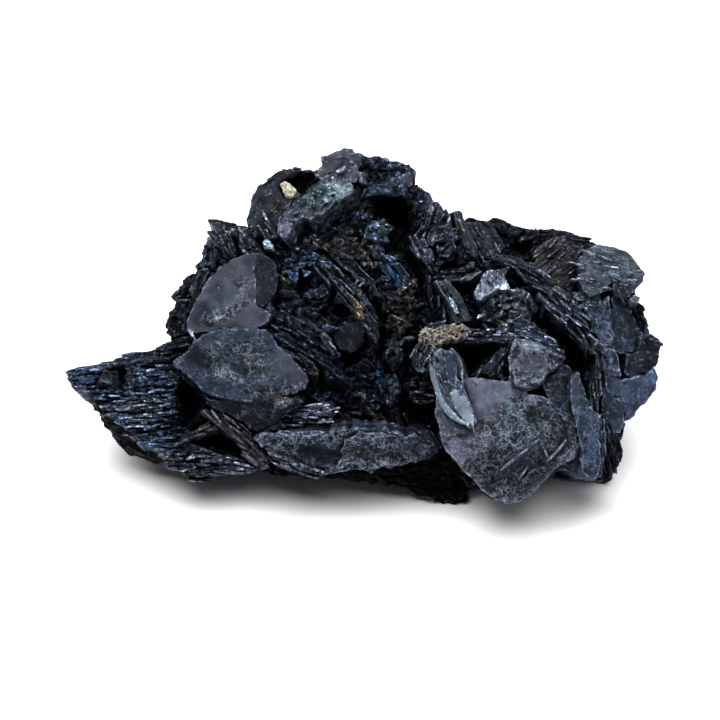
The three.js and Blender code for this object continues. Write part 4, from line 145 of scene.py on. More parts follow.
    ('C', [46.06,6.2,2.05], [0.4,-1,0], 0, 8, 1, 0.26, {'crk': 1.0, 'jag': 0.5, 'rg': 1.4}, [-2.43,-0.48,-0.99,-1.74,0.81,-2.37,1.53,-1.1,1.9,0.32,1.17,1.43,0.09,2.21,-2.07,1.73]),
    ('C', [44.16,5.6,-0.47], [0.2,-1,0], 10, 8, 1, 0.3, {'crk': 1.0, 'jag': 0.5, 'rg': 1.2}, [-2.25,0.56,-2.85,-0.93,-2.4,-2.13,-0.01,-1.92,2.68,-0.97,3.45,0.5,2.91,1.24,0.33,1.86,-1.86,1.78]),
    ('C', [42.56,3.8,-4.77], [0.25,-1,0.02], -40, 8, 1, 0.58, {'crk': 1.0, 'rg': 0.9}, [-3.7,-2.7,1.01,-2.56,2.57,-4.12,3.09,-1.39,3.32,0.66,3.06,2.52,2.19,4.05,0.94,5.26,0.05,3.45,-1.19,1.55,-2.37,0.11,-4.77,0.09,-5.82,-1.23]),
    ('C', [39.16,3,-0.87], [0.05,-1,0.05], -80, 7, 1, 0.56, {'crk': 1.5, 'rg': 1.0}, [-0.13,-1.14,1.69,-1.64,1.65,-0.03,2.08,1.49,-0.31,1.45,-2.3,1.02,-2.68,-1.15]),
    ('C', [39.55,2.6,-8.05], [0.15,-1,0], -70, 8, 1, 0.42, {'crk': 0.6, 'rg': 1.0}, [-2.12,-1.48,0.16,-1.62,2.9,-1.41,3.39,-0.05,1.9,1.35,0.05,2.19,-1.97,1.2,-4.3,-0.18]),
    ('C', [21.51,-5,-11.2], [0,-1,0.12], 0, 2.4, 6, 0.82, {'crk': 1.2, 'lam': 3, 'rg': 0.22}, [-8.36,6.97,-9.58,6.35,-10.05,4.82,-10.21,2.36,-9.61,0.98,-9.31,-1.16,-8.25,-2.84,-5.23,-6.19,-2.35,-8.93,-0.54,-10,0.98,-10.45,2.8,-10.3,4.33,-9.54,5.56,-8.33,7.87,-5.43,8.95,-4.52,10.79,-3.76,11.72,-1.92,11.45,0.22,10.56,2.67,9.05,4.51,4.79,6.05,2.96,6.97,1.44,7.89,0.22,7.74,-1.31,8.2,-3.15,8.35,-4.98,8.2,-6.52,7.89,-7.29,6.97]),
    ('R', [22.72,-2.8,-13.61], [0,-1,0.1], 0, 6, 0, 0.18, {}, [-10.72,5.17,-10.12,1.32,-8.28,-1.45,-6.45,-3.6,-4.32,-5.74,-2.18,-7.27,-0.04,-8.04,2.42,-7.89,4.27,-6.35,7.36,-3.29,10.3,-1.75,11.1,1.32,9.91,5.64,5.78,8.11,0.4,9.65,-5.77,9.96,-9.78,8.72]),
    ('F', [14.03,-6,-4.04], [-0.12,-1,0.1], -64, 1.6, 5, 0.88, {'pitch': 0.34, 'amp': 0.22, 'seg': 6, 'crk': 0.3, 'soft': 1}, [-3.08,-1.95,0.76,-2.43,2.81,-2.4,4.51,-2.04,5.79,-1.14,6.8,-0.11,6.11,0.9,4.26,1.28,2.56,1.26,-0.24,1.43,-0.92,1.08,-2.85,2.01,-4.64,2.19,-5.25,1.63,-5.86,0.74,-5.71,-0.35,-4.81,-1.29]),
    ('F', [14.38,-4.2,-0.57], [-0.2,-1,0.15], -80, 7.4, 2, 0.6, {'pitch': 0.6, 'amp': 0.35, 'seg': 5, 'soft': 1}, [-0.39,-0.72,1.52,-0.54,3.15,-0.17,1.23,1.37,-0.71,1.05,-2.46,0.06,-2.34,-1.05]),
    ('S', [15.54,-4,-2.14], [0.1,-1,0.1], 0, 7.2, 1, 0.25, {'crk': 0.2}, [-1.01,-0.62,-0.55,-1.39,1.31,-1.06,1,0.01,0.09,1.85,-0.84,1.22]),
    ('C', [25.91,-4.6,-0.38], [0,-1,0.28], 0, 7.8, 6, 0.62, {'crk': 2.0, 'rg': 0.5}, [-3.2,-2.45,-2.15,-3.72,-0.49,-4.03,1.2,-3.56,2.14,-2.3,2.79,-1.03,4.33,-0.24,3.46,1.51,2.57,2.62,1.36,3.42,-0.32,3.74,-2.16,3.58,-2.79,2.46,-3.44,0.87]),
    ('F', [30.16,-4.2,0.66], [0.3,-1,0.3], -35, 7.4, 0, 0.45, {'pitch': 0.5, 'amp': 0.5, 'seg': 2}, [-0.77,-0.67,0.12,-1.18,1.33,-0.65,1.17,0.85,-0.28,1.33,-1.57,0.32]),
    ('F', [26.65,-1.39,3.8], [0.05,-1,0.85], -22, 7, 0, 0.46, {'pitch': 0.55, 'amp': 0.5, 'seg': 4}, [-2.37,-2.45,-0.71,-1.46,1.44,-1.15,3.48,-1.74,4.99,-1.44,3.98,0.15,1.79,1.34,-0.47,2.74,-2.15,3.05,-3.08,2.29,-3.41,0.43,-3.49,-1.76]),
    ('F', [21.19,-0.6,-0.6], [-0.25,-1,0.15], 50, 3.8, 0, 0.5, {'pitch': 0.6, 'amp': 0.5, 'seg': 3}, [-2.64,0.03,-1.22,-3.49,0.14,-0.7,1.51,-0.16,3.51,0.09,4.28,1.14,2.46,1.66,0.26,1.65,-2.04,1.77,-3.98,2.19]),
    ('F', [19.76,-0.4,3.68], [0,-1,0.55], -5, 5, 0, 0.42, {'pitch': 0.5, 'amp': 0.6, 'seg': 5}, [-3.28,-1.28,-1.44,-0.96,1.02,-0.77,3.35,-0.95,3.76,0.33,1.25,1.03,-1.25,1.38,-3.41,1.21]),
    ('F', [9.74,-1.2,0.82], [-0.2,-1,0.12], 62, 11.2, 2, 0.6, {'pitch': 0.6, 'amp': 0.7, 'seg': 2.5}, [-2.21,0.78,-2.6,-0.5,-1.95,-1.75,-0.22,-2.06,1.56,-1.44,2.64,-0.15,2.41,1.33,0.87,1.92,-0.51,1.88]),
    ('F', [11.55,0.4,5.03], [0,-1,0.5], 10, 9.6, 6, 0.5, {'pitch': 0.5, 'amp': 0.6, 'seg': 2.5}, [-2.31,-1.13,1.39,-0.65,2.86,0.53,1.7,1.07,-0.51,1.07,-2.26,0.1]),
    ('F', [9.79,1.6,-4.62], [0,-1,0.1], 2, 8.4, 6, 0.26, {'pitch': 0.8, 'amp': 0.7, 'seg': 3}, [-2.36,-1.22,-0.53,-2.22,1.66,-1.99,1.92,0.51,1.22,2.72,-1.92,2.2]),
    ('C', [11.07,-1.2,-12.48], [0.2,-1,-0.1], 0, 9.2, 6, 0.28, {'crk': 0.5}, [-1.21,-0.46,0.37,-1.44,1.8,-1.32,1.32,0.09,-0.11,1.69,-2.17,1.43]),
    ('C', [31.04,-4,-4.66], [0.1,-1,0.2], 0, 14, 1, 0.28, {'crk': 1.3, 'rg': 1.0}, [-2.91,0.32,-1.71,-1.83,0.4,-4.58,2.24,-5.79,1.41,-0.84,1.77,1.66,1.5,3.52,-0.05,4.12,-1.61,3.93,-2.87,2.82]),
    ('S', [34.68,-5.2,-10.52], [0.15,-1,0.08], -80, 15.2, 1, 0.52, {'crk': 1.4, 'rg': 0.5}, [-4.76,-1.53,1.72,-1.68,4.13,-1.99,6.13,-2.07,7.19,-1.32,7.72,-0.14,6.79,0.68,4.42,1.3,-1.57,2.48,-2.57,1.24,-8.48,0.32,-7.64,-1.12]),
    ('S', [36.65,-4.4,-12.94], [0.12,-1,0.05], -80, 12.4, 1, 0.46, {'crk': 1.5, 'rg': 0.8}, [-1.16,-0.7,2.17,-1.17,5.22,-1.42,5.09,-0.44,2.42,0.22,-0.53,1.09,-3.53,1.65,-4.57,1.05,-5.12,-0.28]),
    ('F', [38.45,-2.6,-14.06], [0.55,-1,0], -77, 12.6, 6, 0.18, {'pitch': 0.5, 'amp': 0.6, 'seg': 5}, [-1.97,-0.77,4.02,-2.75,4.62,-1.53,4.17,-0.09,2.72,1.16,0.88,2.11,-1.36,1.99,-3.27,1.22,-5.13,0.63,-5.92,-0.16]),
    ('C', [32.31,-5,-15.67], [0.05,-1,-0.05], 0, 13, 1, 0.26, {'crk': 1.3}, [-2.42,-0.8,0.97,-1.89,2.81,-2.06,1.88,-0.21,1.56,1.63,0.33,2.55,-1.51,1.95,-2.73,0.12]),
    ('C', [24.04,-5.4,-18.23], [0,-1,-0.1], -50, 6, 1, 0.34, {'crk': 1.4, 'rg': 0.9}, [-1.44,-4.9,0.35,-4.21,1.69,-3.34,2.75,-1.84,3.12,0.03,3.05,1.87,2.49,4.31,1.66,6.18,0.44,5.22,-2.13,1.22,-2.89,-1.12,-4.3,-2.32,-4.1,-4.47]),
    ('C', [26.6,-6,-18.19], [0.1,-1,-0.05], 40, 6.5, 1, 0.34, {'crk': 1.4, 'rg': 0.9}, [-1.86,-1.31,0.07,-1.15,2.4,-0.53,2.63,0.48,0.83,1.21,-1.12,1.27,-2.95,0.03]),
    ('F', [-8.59,0.8,1.8], [0.15,-1,0.45], -38, 5, 1, 0.23, {'pitch': 0.55, 'amp': 0.55, 'seg': 8}, [-7.04,-1.09,-5.21,-0.96,-2.84,-1.05,-0.43,-0.68,2.47,-1,5.55,-1.59,8.05,-1.36,9.28,-0.4,7.77,0.14,2.16,1.35,-0.73,1.91,-3.2,2.15,-5.28,1.83,-7.3,0.89,-8.38,-0.83]),
    ('F', [-9.52,-0.6,0.2], [0.1,-1,0.4], -36, 5, 4, 0.25, {'pitch': 0.5, 'amp': 0.5, 'seg': 5}, [-2.02,-0.47,2.87,-1.07,4.01,-0.26,2.2,0.49,-0.47,0.84,-2.52,0.81,-4.5,0.42]),
    ('D', [-8.03,2,4.37], [0.1,-1,0.3], -35, 5, 1, 0.28, {}, [-3.79,-0.68,-0.39,-0.68,2.79,-1.23,5.67,-1.59,6.11,-0.29,1.8,1.66,-0.72,1.49,-3.06,1.04,-5.31,0.46,-7.01,-0.94]),
    ('F', [-5.11,1,2.84], [0.2,-1,0.3], -50, 3.4, 2, 0.34, {'pitch': 0.5, 'amp': 0.3, 'seg': 4}, [-1.16,-0.47,2.64,-0.94,2.22,0.08,-0.06,0.88,-1.85,1.01,-2.54,0.15]),
    ('D', [-6.5,6,12.81], [-0.1,-1,0.15], 70, 6, 1, 0.2, {}, [-1.3,1.18,-2.02,-0.63,-2.08,-2.35,0.13,-1.85,2.15,0.12,2.38,1.4,0.74,2.14]),
    ('D', [-7.18,4.8,9.66], [-0.15,-1,0.1], 30, 6, 1, 0.26, {}, [-3.04,-1.02,-1.18,-1.95,0.95,-1.75,2.66,-0.37,2.82,1.19,1.08,1.69,-0.84,1.55,-2.45,0.66]),
    ('D', [-7.9,4,6.33], [-0.1,-1,0.2], 0, 6, 1, 0.22, {}, [-1.84,-0.01,0.37,-1.03,2.27,-1.39,1.95,0.55,-0.27,0.92,-2.48,0.96]),
    ('F', [-0.99,4.2,9.67], [0.3,-1,0.3], -50, 5, 0, 0.38, {'pitch': 0.5, 'amp': 0.6, 'seg': 3}, [-6.62,-0.93,-1.04,-0.97,1.61,-0.76,4.77,-1.23,7.6,-1.86,8.54,-1.17,7,0.04,4.46,1.06,2.06,1.72,-0.52,1.88,-2.86,1.81,-5.28,1.37,-7.33,0.6,-8.44,-0.59]),
    ('F', [-0.38,3.4,8.6], [0.1,-1,0.4], -50, 2, 8, 0.62, {'pitch': 0.4, 'amp': 0.4, 'seg': 1.5}, [-0.28,-0.29,1.6,-0.97,2.26,-0.73,0.81,0.19,-0.59,0.65,-1.63,0.76,-2.17,0.4]),
    ('F', [-1.42,6,14.77], [0.1,-1,0.25], -42, 5, 2, 0.32, {'pitch': 0.6, 'amp': 0.4, 'seg': 5}, [-3.12,-0.75,-1.1,-0.91,1.38,-0.87,3.75,-0.71,4.37,0.52,2.14,1.16,-0.34,1.12,-2.84,0.63,-4.23,-0.19]),
    ('S', [-0.79,5.4,12.1], [0,-1,0.3], 40, 1, 2, 0.5, {}, [-0.86,-0.32,0.95,-0.07,0.81,0.26,-0.9,0.14]),
    ('S', [-0.08,5.2,11.7], [0,-1,0.3], 40, 1, 2, 0.5, {}, [-0.98,-0.33,1.07,-0.06,0.92,0.27,-1.01,0.12]),
    ('S', [-1.74,4,3.84], [-0.05,-1,0.12], 0, 5, 1, 0.14, {'crk': 0.8, 'rg': 0.3}, [-2.18,-1.17,-1.24,-2.12,0.02,-2.6,1.27,-2.3,2.21,-1.04,2.53,1.18,1.9,2.45,-0.77,1.83,-2.03,1.37,-2.34,0.26]),
    ('R', [0.04,4.4,-4.19], [0,-1,0.22], 0, 8, 1, 0.15, {}, [-4.44,-1.17,-2.55,-2.77,-0.36,-4.05,2.78,-4.05,4.04,-2.13,4.04,0.43,3.26,2.68,1.53,3.97,-0.67,3.65,-2.88,2.36,-4.76,1.07]),
    ('R', [-5.95,3.2,-4.96], [0.1,-1,0.2], 0, 6, 1, 0.28, {}, [-2.19,-0.72,-0.31,-1.64,1.89,-1.6,2.51,-0.32,1.25,1.25,-0.64,1.85,-2.52,1.18]),
    ('R', [6.42,4,7.57], [0,-1,0.12], 70, 8, 3, 0.22, {}, [-1.38,1.82,-2.95,0.58,-3.81,-0.74,-2.79,-1.7,-0.46,-2.52,1.89,-2.5,3.31,-0.82,3.46,1.07,2.37,2.18,0.35,2.62]),
    ('R', [5.55,3.8,1.16], [0,-1,0.1], 80, 8, 0, 0.26, {}, [-0.19,1.62,-1.66,0.88,-3.05,-0.32,-2.23,-1.29,0.33,-1.32,2.51,-0.93,2.78,0.23,1.5,1.12]),
    ('R', [4.78,3.6,-4.58], [-0.1,-1,0.12], 80, 8, 0, 0.28, {'iri': 1}, [-1.28,1.12,-2.23,0.14,-1.88,-0.91,-0.47,-1.61,1.38,-1.26,2.49,-0.26,1.77,1.05,0.21,1.72]),
    ('F', [5.61,4.6,-8.91], [0,-1,0], -70, 8, 4, 0.18, {'pitch': 0.6, 'amp': 0.6, 'seg': 3}, [0.08,-1.31,2.28,-0.78,2.53,0.81,-0.24,1.48,-2.15,0.84,-2.5,-1.04]),
    ('F', [5.43,5.4,14.1], [0.05,-1,0.25], -48, 6, 1, 0.5, {'pitch': 0.5, 'amp': 0.5, 'seg': 3, 'iri': 1}, [-1.28,-1.27,0.18,-1.13,2.22,-1.33,3.31,-0.62,2.31,1.2,-1.78,1.59,-2.76,0.77,-2.45,-0.6]),
    ('R', [7.4,5,11.78], [0.1,-1,0.2], 20, 6, 3, 0.34, {}, [-1.13,-0.78,0.43,-1.13,1.68,-0.02,0.61,1.2,-1.59,0.74]),
    ('R', [3.56,5.6,11.09], [0,-1,0.1], 70, 7, 0, 0.24, {}, [-1.32,1.63,-2.38,-0.1,-1.84,-1.58,0.39,-2.11,1.96,-0.87,2.62,1.05,0.58,1.99]),
    ('R', [1.37,3.2,-9.92], [0,-1,0.2], 0, 7, 4, 0.14, {}, [-5.12,-0.42,-2.62,-1.05,6.14,-1.69,4.27,-0.42,1.77,1.49,-2,1.96,-4.82,1.49]),
    ('R', [2.21,6,0.21], [0,-1,0.1], 0, 7, 0, 0.14, {}, [-1.89,-0.53,0,-1.16,1.89,-2.12,1.58,0.42,0.32,2.01,-1.89,1.38]),
    # the next three down-facing crystals at the bottom are near black (tint 7, brightness 0.01–0.02): painted shade
    # under the specimen
    ('R', [12.36,6.51,-19.36], [0.05,-1,-0.55], 0, 16, 7, 0.01, {'smooth': 1}, [-6.05,0.25,-4.45,-1.29,-2.53,-2.66,-0.28,-3.85,1.65,-4.66,3.09,-4.7,4.18,-3.6,4.94,-1.93,5.37,-0.07,3.73,2.02,2.11,3.92,0.5,5.62,-1.68,4.39,-4.19,3.72,-6.39,2.85]),
    ('R', [-2.91,4.5,-18.04], [0,-1,-0.75], 0, 14, 7, 0.01, {}, [-10.44,0.37,-6.52,-0.25,2.91,-1.48,10.81,-2.93,11.09,-0.25,9.49,1.8,6.83,1.39,2.13,0.98,-1.8,0.16,-6.51,0.57,-10.41,1.6,-13.4,1.19]),
    ('R', [18.78,0,-20.07], [0.1,-1,-0.6], 0, 12, 7, 0.02, {}, [-2.08,0.77,-0.49,-0.07,1.44,-1.88,3.01,-1.98,1.72,-0.96,-0.53,1.05,-3.07,3.07]),
    ('R', [-19.99,2.2,9.67], [-0.1,-1,0.22], 0, 2.2, 0, 0.2, {}, [-4.8,-4.44,-3.45,-4.33,-1.55,-4.65,1.16,-4.57,3.58,-3.94,5.06,-3.15,5.05,-2.33,3.01,-0.9,3,-0.21,3.25,1.03,3.24,2.42,2.95,3.53,2.94,4.92,2.52,6.05,1.16,5.81,-0.33,5.15,-1.81,4.35,-3.02,2.99,-3.95,1.63,-4.74,0.12,-5.4,-1.25,-5.92,-2.62,-6.03,-4]),
    ('R', [-18.34,0,-0.7], [0.02,-1,0.14], 0, 4.4, 0, 0.2, {}, [-7.17,2.2,-9.54,0.45,-8.6,-0.63,-5.64,-3.17,-3.77,-4.24,-1.78,-4.77,0.22,-4.9,2.21,-4.89,4.6,-4.48,6.73,-3.94,8.45,-3.13,8.85,-2.06,8.58,-0.98,7.64,0.36,6.57,1.57,5.1,2.37,4.15,3.72,3.21,4.66,1.61,5.2,-0.79,5.06,-3.19,4.78,-5.05,4.1,-6.51,3.15]),
    ('R', [21.65,-3,-11.28], [0,-1,0.12], 0, 3.5, 0, 0.2, {}, [-7.23,6.03,-8.29,5.5,-8.7,4.17,-8.84,2.05,-8.32,0.85,-8.06,-1,-7.14,-2.46,-4.52,-5.36,-2.04,-7.73,-0.47,-8.65,0.85,-9.05,2.43,-8.92,3.75,-8.26,4.81,-7.21,6.82,-4.7,7.75,-3.91,9.34,-3.25,10.15,-1.66,9.91,0.19,9.14,2.31,7.83,3.9,4.14,5.23,2.56,6.03,1.25,6.83,0.19,6.7,-1.13,7.1,-2.72,7.23,-4.31,7.1,-5.64,6.83,-6.3,6.03]),
    ('R', [14.08,-4.8,-4.05], [-0.12,-1,0.1], -64, 8, 0, 0.2, {}, [-2.66,-1.68,0.66,-2.1,2.43,-2.08,3.89,-1.76,5,-0.98,5.87,-0.09,5.27,0.78,3.68,1.11,2.21,1.09,-0.21,1.23,-0.8,0.93,-2.46,1.73,-4,1.89,-4.53,1.41,-5.06,0.64,-4.93,-0.3,-4.15,-1.11]),
    ('S', [24.47,-5.67,-14.33], [0,-1,0.12], 40, 1.2, 5, 0.7, {'crk': 0.3, 'jag': 0.15}, [-2.71,-0.2,3.76,-0.23,3.73,0.09,-2.7,0.28,-4.21,0.15]),
    ('S', [29.96,-5.6,-13.87], [0,-1,0.12], 40, 1.2, 5, 0.6, {'crk': 0.3, 'jag': 0.15}, [-1.29,-0.4,0.38,-0.21,2.31,0.18,2.28,0.5,-2.55,-0.24]),
    ('S', [27.95,-5.51,-13.25], [0,-1,0.12], 40, 1.2, 5, 0.5, {'crk': 0.3, 'jag': 0.15}, [-0.22,-0.02,-0.68,-1.62,-0.35,-1.7,0.68,1.62,0.35,1.7]),
    ('S', [24.83,-5.99,-17.26], [0,-1,0.12], 40, 1.2, 5, 0.5, {'crk': 0.3, 'jag': 0.15}, [-1.33,-0.57,1.42,0.2,1.39,0.52,-1.37,-0.15]),
    ('S', [12.67,-6.46,-5.22], [-0.18,-1,0.22], -60, 1.2, 5, 0.97, {'crk': 0.3, 'jag': 0.4}, [-3.54,-0.39,-1.05,-1.07,1.31,-1.33,3.49,-0.97,5.07,-0.1,5.82,0.87,3.63,0.18,1.37,-0.31,-0.99,-0.05,-5.95,1.65,-5.63,0.67]),
    ('S', [15.65,-6.95,-7.35], [-0.08,-1,0.2], -50, 1.2, 5, 1.2, {'crk': 0.3, 'jag': 0.4}, [-3.13,0.03,-1.99,-0.54,-0.11,-0.95,1.52,-0.95,2.63,-1.3,2.25,-0.57,2.89,-0.53,2.41,0.08,0.38,1.02,-1.29,1.45,-2.37,1.38,-3.2,0.89]),
    ('C', [13.71,-6.02,-1.25], [0.13,-1,0.15], -84, 1.2, 1, 0.44, {'crk': 0.9, 'jag': 0.4}, [-1.68,-0.89,2.36,-0.64,2.9,0.07,1.25,0.44,-0.54,1.14,-1.62,1.13,-2.87,-0.42]),
    ('F', [-10.92,22.78,21.66], [-0.56,0.827,0.051], -34.5, 5.47, 0, 0.42, {'pitch': 0.66, 'amp': 0.57, 'seg': 2.99, 'crk': 0.92}, [2.53,1.45,-0.55,2.56,-4.59,2.33,-4.06,0.49,-6.65,-0.91,-3.45,-1.91,0.37,-2.83,4.47,-1.94,4.1,-0.3,5.29,0.51]),
    ('B', [8.76,26.61,-6.02], [-0.038,0.889,-0.455], -42.5, 6.8, 0, 0.43, {'pitch': 0.56, 'amp': 0.48, 'seg': 2.97, 'crk': 0.84}, [5.24,-1.91,4.71,1.39,4.21,4.56,0.36,3.84,-2.23,5.74,-5.33,2.42,-5.12,-1.3,-4.16,-4.04,-1.45,-4.58,2.74,-4.43]),
    ('R', [6.27,27.34,12.64], [0.125,0.903,0.412], -15, 7.22, 0, 0.47, {'pitch': 0.63, 'amp': 0.54, 'seg': 2.67, 'crk': 0.93}, [3.67,0.76,1.97,3.3,-1.43,2.17,-3.01,1.54,-3.42,-1.59,-1.53,-2.41,1.15,-2.82,3.44,-1.69]),
    ('D', [24.41,29.31,0.9], [0.098,0.972,0.211], -35.5, 6.62, 0, 0.4, {'pitch': 0.66, 'amp': 0.44, 'seg': 3.01, 'crk': 0.67}, [4.35,1.07,2.84,3.1,-2.7,3.38,-6.02,1.98,-7.91,-1.21,-2.79,-2.68,2.62,-4.23,7.32,-1.96]),
    ('F', [29.17,26.17,-4.27], [0.178,0.961,-0.212], -41, 7.67, 0, 0.47, {'pitch': 0.52, 'amp': 0.63, 'seg': 5.08, 'crk': 0.86}, [4.81,0.7,3.11,3.48,-1.01,2.05,-5.36,2.08,-4.7,-0.93,-1.59,-2.34,0.43,-2.42,4.91,-1.21]),
    ('S', [34.76,23.76,9.15], [0.525,0.811,0.259], -59, 6.27, 0, 0.49, {'pitch': 0.68, 'amp': 0.4, 'seg': 4.0, 'crk': 0.9, 'rg': 1.0}, [0.99,-3.95,3.12,-2.77,3.91,-0.84,4.54,1.35,3.39,3.33,0.92,4.31,-0.96,3.98,-2.92,3.03,-4.07,1.05,-4.61,-1.29,-2.92,-3.15,-1.05,-4.5]),
    ('B', [16.66,30.42,-1.82], [0.244,0.911,-0.332], -51.5, 7.19, 0, 0.49, {'pitch': 0.47, 'amp': 0.55, 'seg': 2.94, 'crk': 0.78}, [0.09,3.58,-3.73,4.21,-6.01,0.73,-3.03,-3.45,0.65,-4.33,4.93,-2.94,4.17,0.67,4.24,2.88]),
    ('F', [23.62,25.75,-8.56], [-0.046,0.901,-0.432], 54.5, 6.2, 6, 0.4, {'pitch': 0.42, 'amp': 0.57, 'seg': 3.39, 'crk': 0.6}, [-3.03,-1.45,1.84,-2.78,5.3,-1.45,4.05,0.4,3.55,2.07,-3.01,2.93,-5.85,1.77,-4.5,-0.41]),
    ('F', [-35.58,15.21,-4.63], [-0.098,0.828,0.551], 10.5, 6.5, 0, 0.28, {'pitch': 0.56, 'amp': 0.65, 'seg': 5.64, 'crk': 1.01}, [-3.38,1.67,-7.12,0.95,-3.73,-0.69,-2.03,-1.51,-0.04,-2.8,4.94,-1.78,4.95,-0.34,4.57,0.88,3.99,2.43,0.02,1.74]),
    ('B', [34.93,18.41,17.19], [0.101,0.593,0.799], -55, 5.08, 0, 0.49, {'pitch': 0.63, 'amp': 0.46, 'seg': 3.8, 'crk': 0.75}, [2.91,-1.96,5.03,1.1,3.85,4.48,-0.44,4.98,-3.68,3.82,-4.69,-0.04,-4.33,-2.69,-1.28,-4.21,2.32,-3.96]),
    ('F', [-8.43,27.58,-4.4], [0.132,0.887,-0.442], -12, 7.67, 1, 0.43, {'pitch': 0.47, 'amp': 0.43, 'seg': 4.06, 'crk': 0.73}, [0.58,3.21,-3.75,1.95,-5.79,0.04,-5.21,-1.95,-0.61,-2,3.06,-3.04,6.3,-1.24,3.59,0.94]),
    ('S', [0.25,28.26,11.99], [0.071,0.997,0.042], -26, 5.82, 2, 0.49, {'pitch': 0.59, 'amp': 0.5, 'seg': 4.68, 'crk': 0.9, 'rg': 1.0}, [-4.48,-2.6,-1.79,-4.12,1.66,-5.08,4.7,-3.07,5.24,-0.29,4.72,2.73,1.72,4.49,-1.88,4.81,-4.59,2.69,-6.48,0.28]),
    ('F', [-3.24,24.32,-8.27], [0.195,0.915,-0.353], -10, 5.93, 0, 0.46, {'pitch': 0.62, 'amp': 0.42, 'seg': 5.13, 'crk': 0.74}, [0.95,-1.79,5.77,-1.2,5.55,0.57,2.86,2.43,-1.87,2.33,-3.26,1.19,-6.33,-0.42,-3.47,-1.93]),
    ('D', [4.8,18.13,-17.15], [-0.197,0.633,-0.748], -60, 7.85, 1, 0.42, {'pitch': 0.63, 'amp': 0.42, 'seg': 5.97, 'crk': 0.97}, [2.21,2.29,0.7,4.91,-1.28,3.79,-2.98,1.07,-3.14,-0.63,-4.2,-2.54,-0.66,-2.93,1.16,-3.42,4.67,-2.79,4.68,-0.09]),
    ('R', [16.31,22.06,16.15], [0.181,0.729,0.66], -39, 7.85, 3, 0.46, {'pitch': 0.55, 'amp': 0.47, 'seg': 5.91, 'crk': 0.7}, [3.5,5.25,-0.56,3.63,-2.76,3.42,-6.27,1,-4.38,-3.24,-0.72,-4.05,2.22,-3.05,5.33,-1.33,3.47,1.65]),
    ('F', [37.98,21.05,-9.58], [0.589,0.758,-0.28], -54.5, 6.28, 3, 0.49, {'pitch': 0.48, 'amp': 0.56, 'seg': 5.4, 'crk': 0.84}, [4.71,-0.93,4.51,0.33,1.97,1.43,-0.1,2.61,-2.63,1.72,-3.63,0.75,-6.35,-0.67,-2.31,-1.13,0.32,-1.89,2.1,-1.34]),
    ('S', [16.59,27.25,-9.65], [0.113,0.865,-0.49], -40.5, 6.31, 4, 0.49, {'pitch': 0.7, 'amp': 0.42, 'seg': 4.32, 'crk': 0.9, 'rg': 1.0}, [-4.8,4,-6.82,1.09,-6.14,-2.12,-3.75,-4.82,-0.31,-5.49,3.39,-5.4,5,-2.19,6.84,0.72,5.35,3.85,1.95,5.39,-1.63,5.47]),
    ('S', [11.87,26.09,10.48], [0.332,0.81,0.483], -41.5, 7.11, 0, 0.49, {'pitch': 0.55, 'amp': 0.53, 'seg': 4.24, 'crk': 1.06, 'rg': 1.0}, [2.12,-5.32,5.36,-3.93,6.86,-0.61,6.53,2.35,4.02,4.97,0.27,5.62,-2.85,4.12,-5.12,2.05,-6.39,-0.5,-5.19,-3.34,-1.57,-4.76]),
    ('D', [-24.52,19.26,9.15], [-0.682,0.722,0.113], 45.5, 7.27, 0, 0.43, {'pitch': 0.45, 'amp': 0.45, 'seg': 4.2, 'crk': 0.58}, [-4.31,-0.74,-2.67,-2.47,0.98,-4.31,4.15,-1.6,4.42,2.53,0.5,3.2,-3.75,2.89]),
    ('D', [-8.13,29.19,8.64], [-0.291,0.916,0.276], -54, 7.94, 3, 0.27, {'pitch': 0.51, 'amp': 0.47, 'seg': 5.93, 'crk': 0.4}, [4.27,1.13,1.11,2.6,-2.84,4.34,-5.59,1.65,-4,-0.45,-3.87,-2.04,-0.08,-4.69,4.64,-3.31,4.85,-0.2]),
    ('C', [-27.84,23.61,-5.72], [-0.768,0.63,0.113], 31.5, 7.37, 0, 0.44, {'pitch': 0.47, 'amp': 0.52, 'seg': 5.66, 'crk': 0.9, 'rg': 1.0}, [-1.67,5.83,-4.22,3.39,-6.01,0.32,-4.78,-3.11,-1.74,-5.31,1.83,-5.67,5.16,-4.12,6.46,0.25,5.14,3.35,2.14,5.89]),
    ('F', [-10.79,14.88,-17.26], [-0.119,0.6,-0.791], 9, 7.38, 6, 0.31, {'pitch': 0.67, 'amp': 0.56, 'seg': 3.16, 'crk': 0.96}, [-2.61,1.89,-5.76,0.61,-4.94,-1.03,-2,-2.14,1.3,-1.69,4.07,-0.76,6.2,0.48,4.25,1.39,0.66,2.24]),
    ('S', [-24.99,19.66,1.44], [-0.673,0.733,0.093], 57.5, 5.9, 6, 0.4, {'pitch': 0.57, 'amp': 0.6, 'seg': 4.05, 'crk': 0.9, 'rg': 1.0}, [3.13,-3.37,5.38,-1.48,4.67,1.34,3.25,3.24,0.8,4.94,-2.22,4.21,-4.34,2.52,-4.89,-0.06,-4.15,-2.68,-2.23,-4.5,0.73,-4.3]),
    ('F', [6.27,29.94,5.73], [0.234,0.965,0.115], -37.5, 7.22, 6, 0.3, {'pitch': 0.53, 'amp': 0.44, 'seg': 4.68, 'crk': 0.7}, [5.63,-1.98,5,-0.3,4.83,2.43,0.7,2.87,-2.56,3.04,-6.33,1.65,-4.63,-0.37,-3.16,-2.83,-0.01,-3.46]),
    ('D', [9.53,12.64,-20.45], [-0.482,0.522,-0.704], -33, 7.34, 4, 0.45, {'pitch': 0.53, 'amp': 0.61, 'seg': 2.72, 'crk': 0.78}, [2.35,-1.36,2.86,-0.34,2.82,1.47,0.42,1.54,-1.55,2.44,-2.01,0.68,-2.71,-0.39,-1.91,-1.24,0.43,-1.74]),
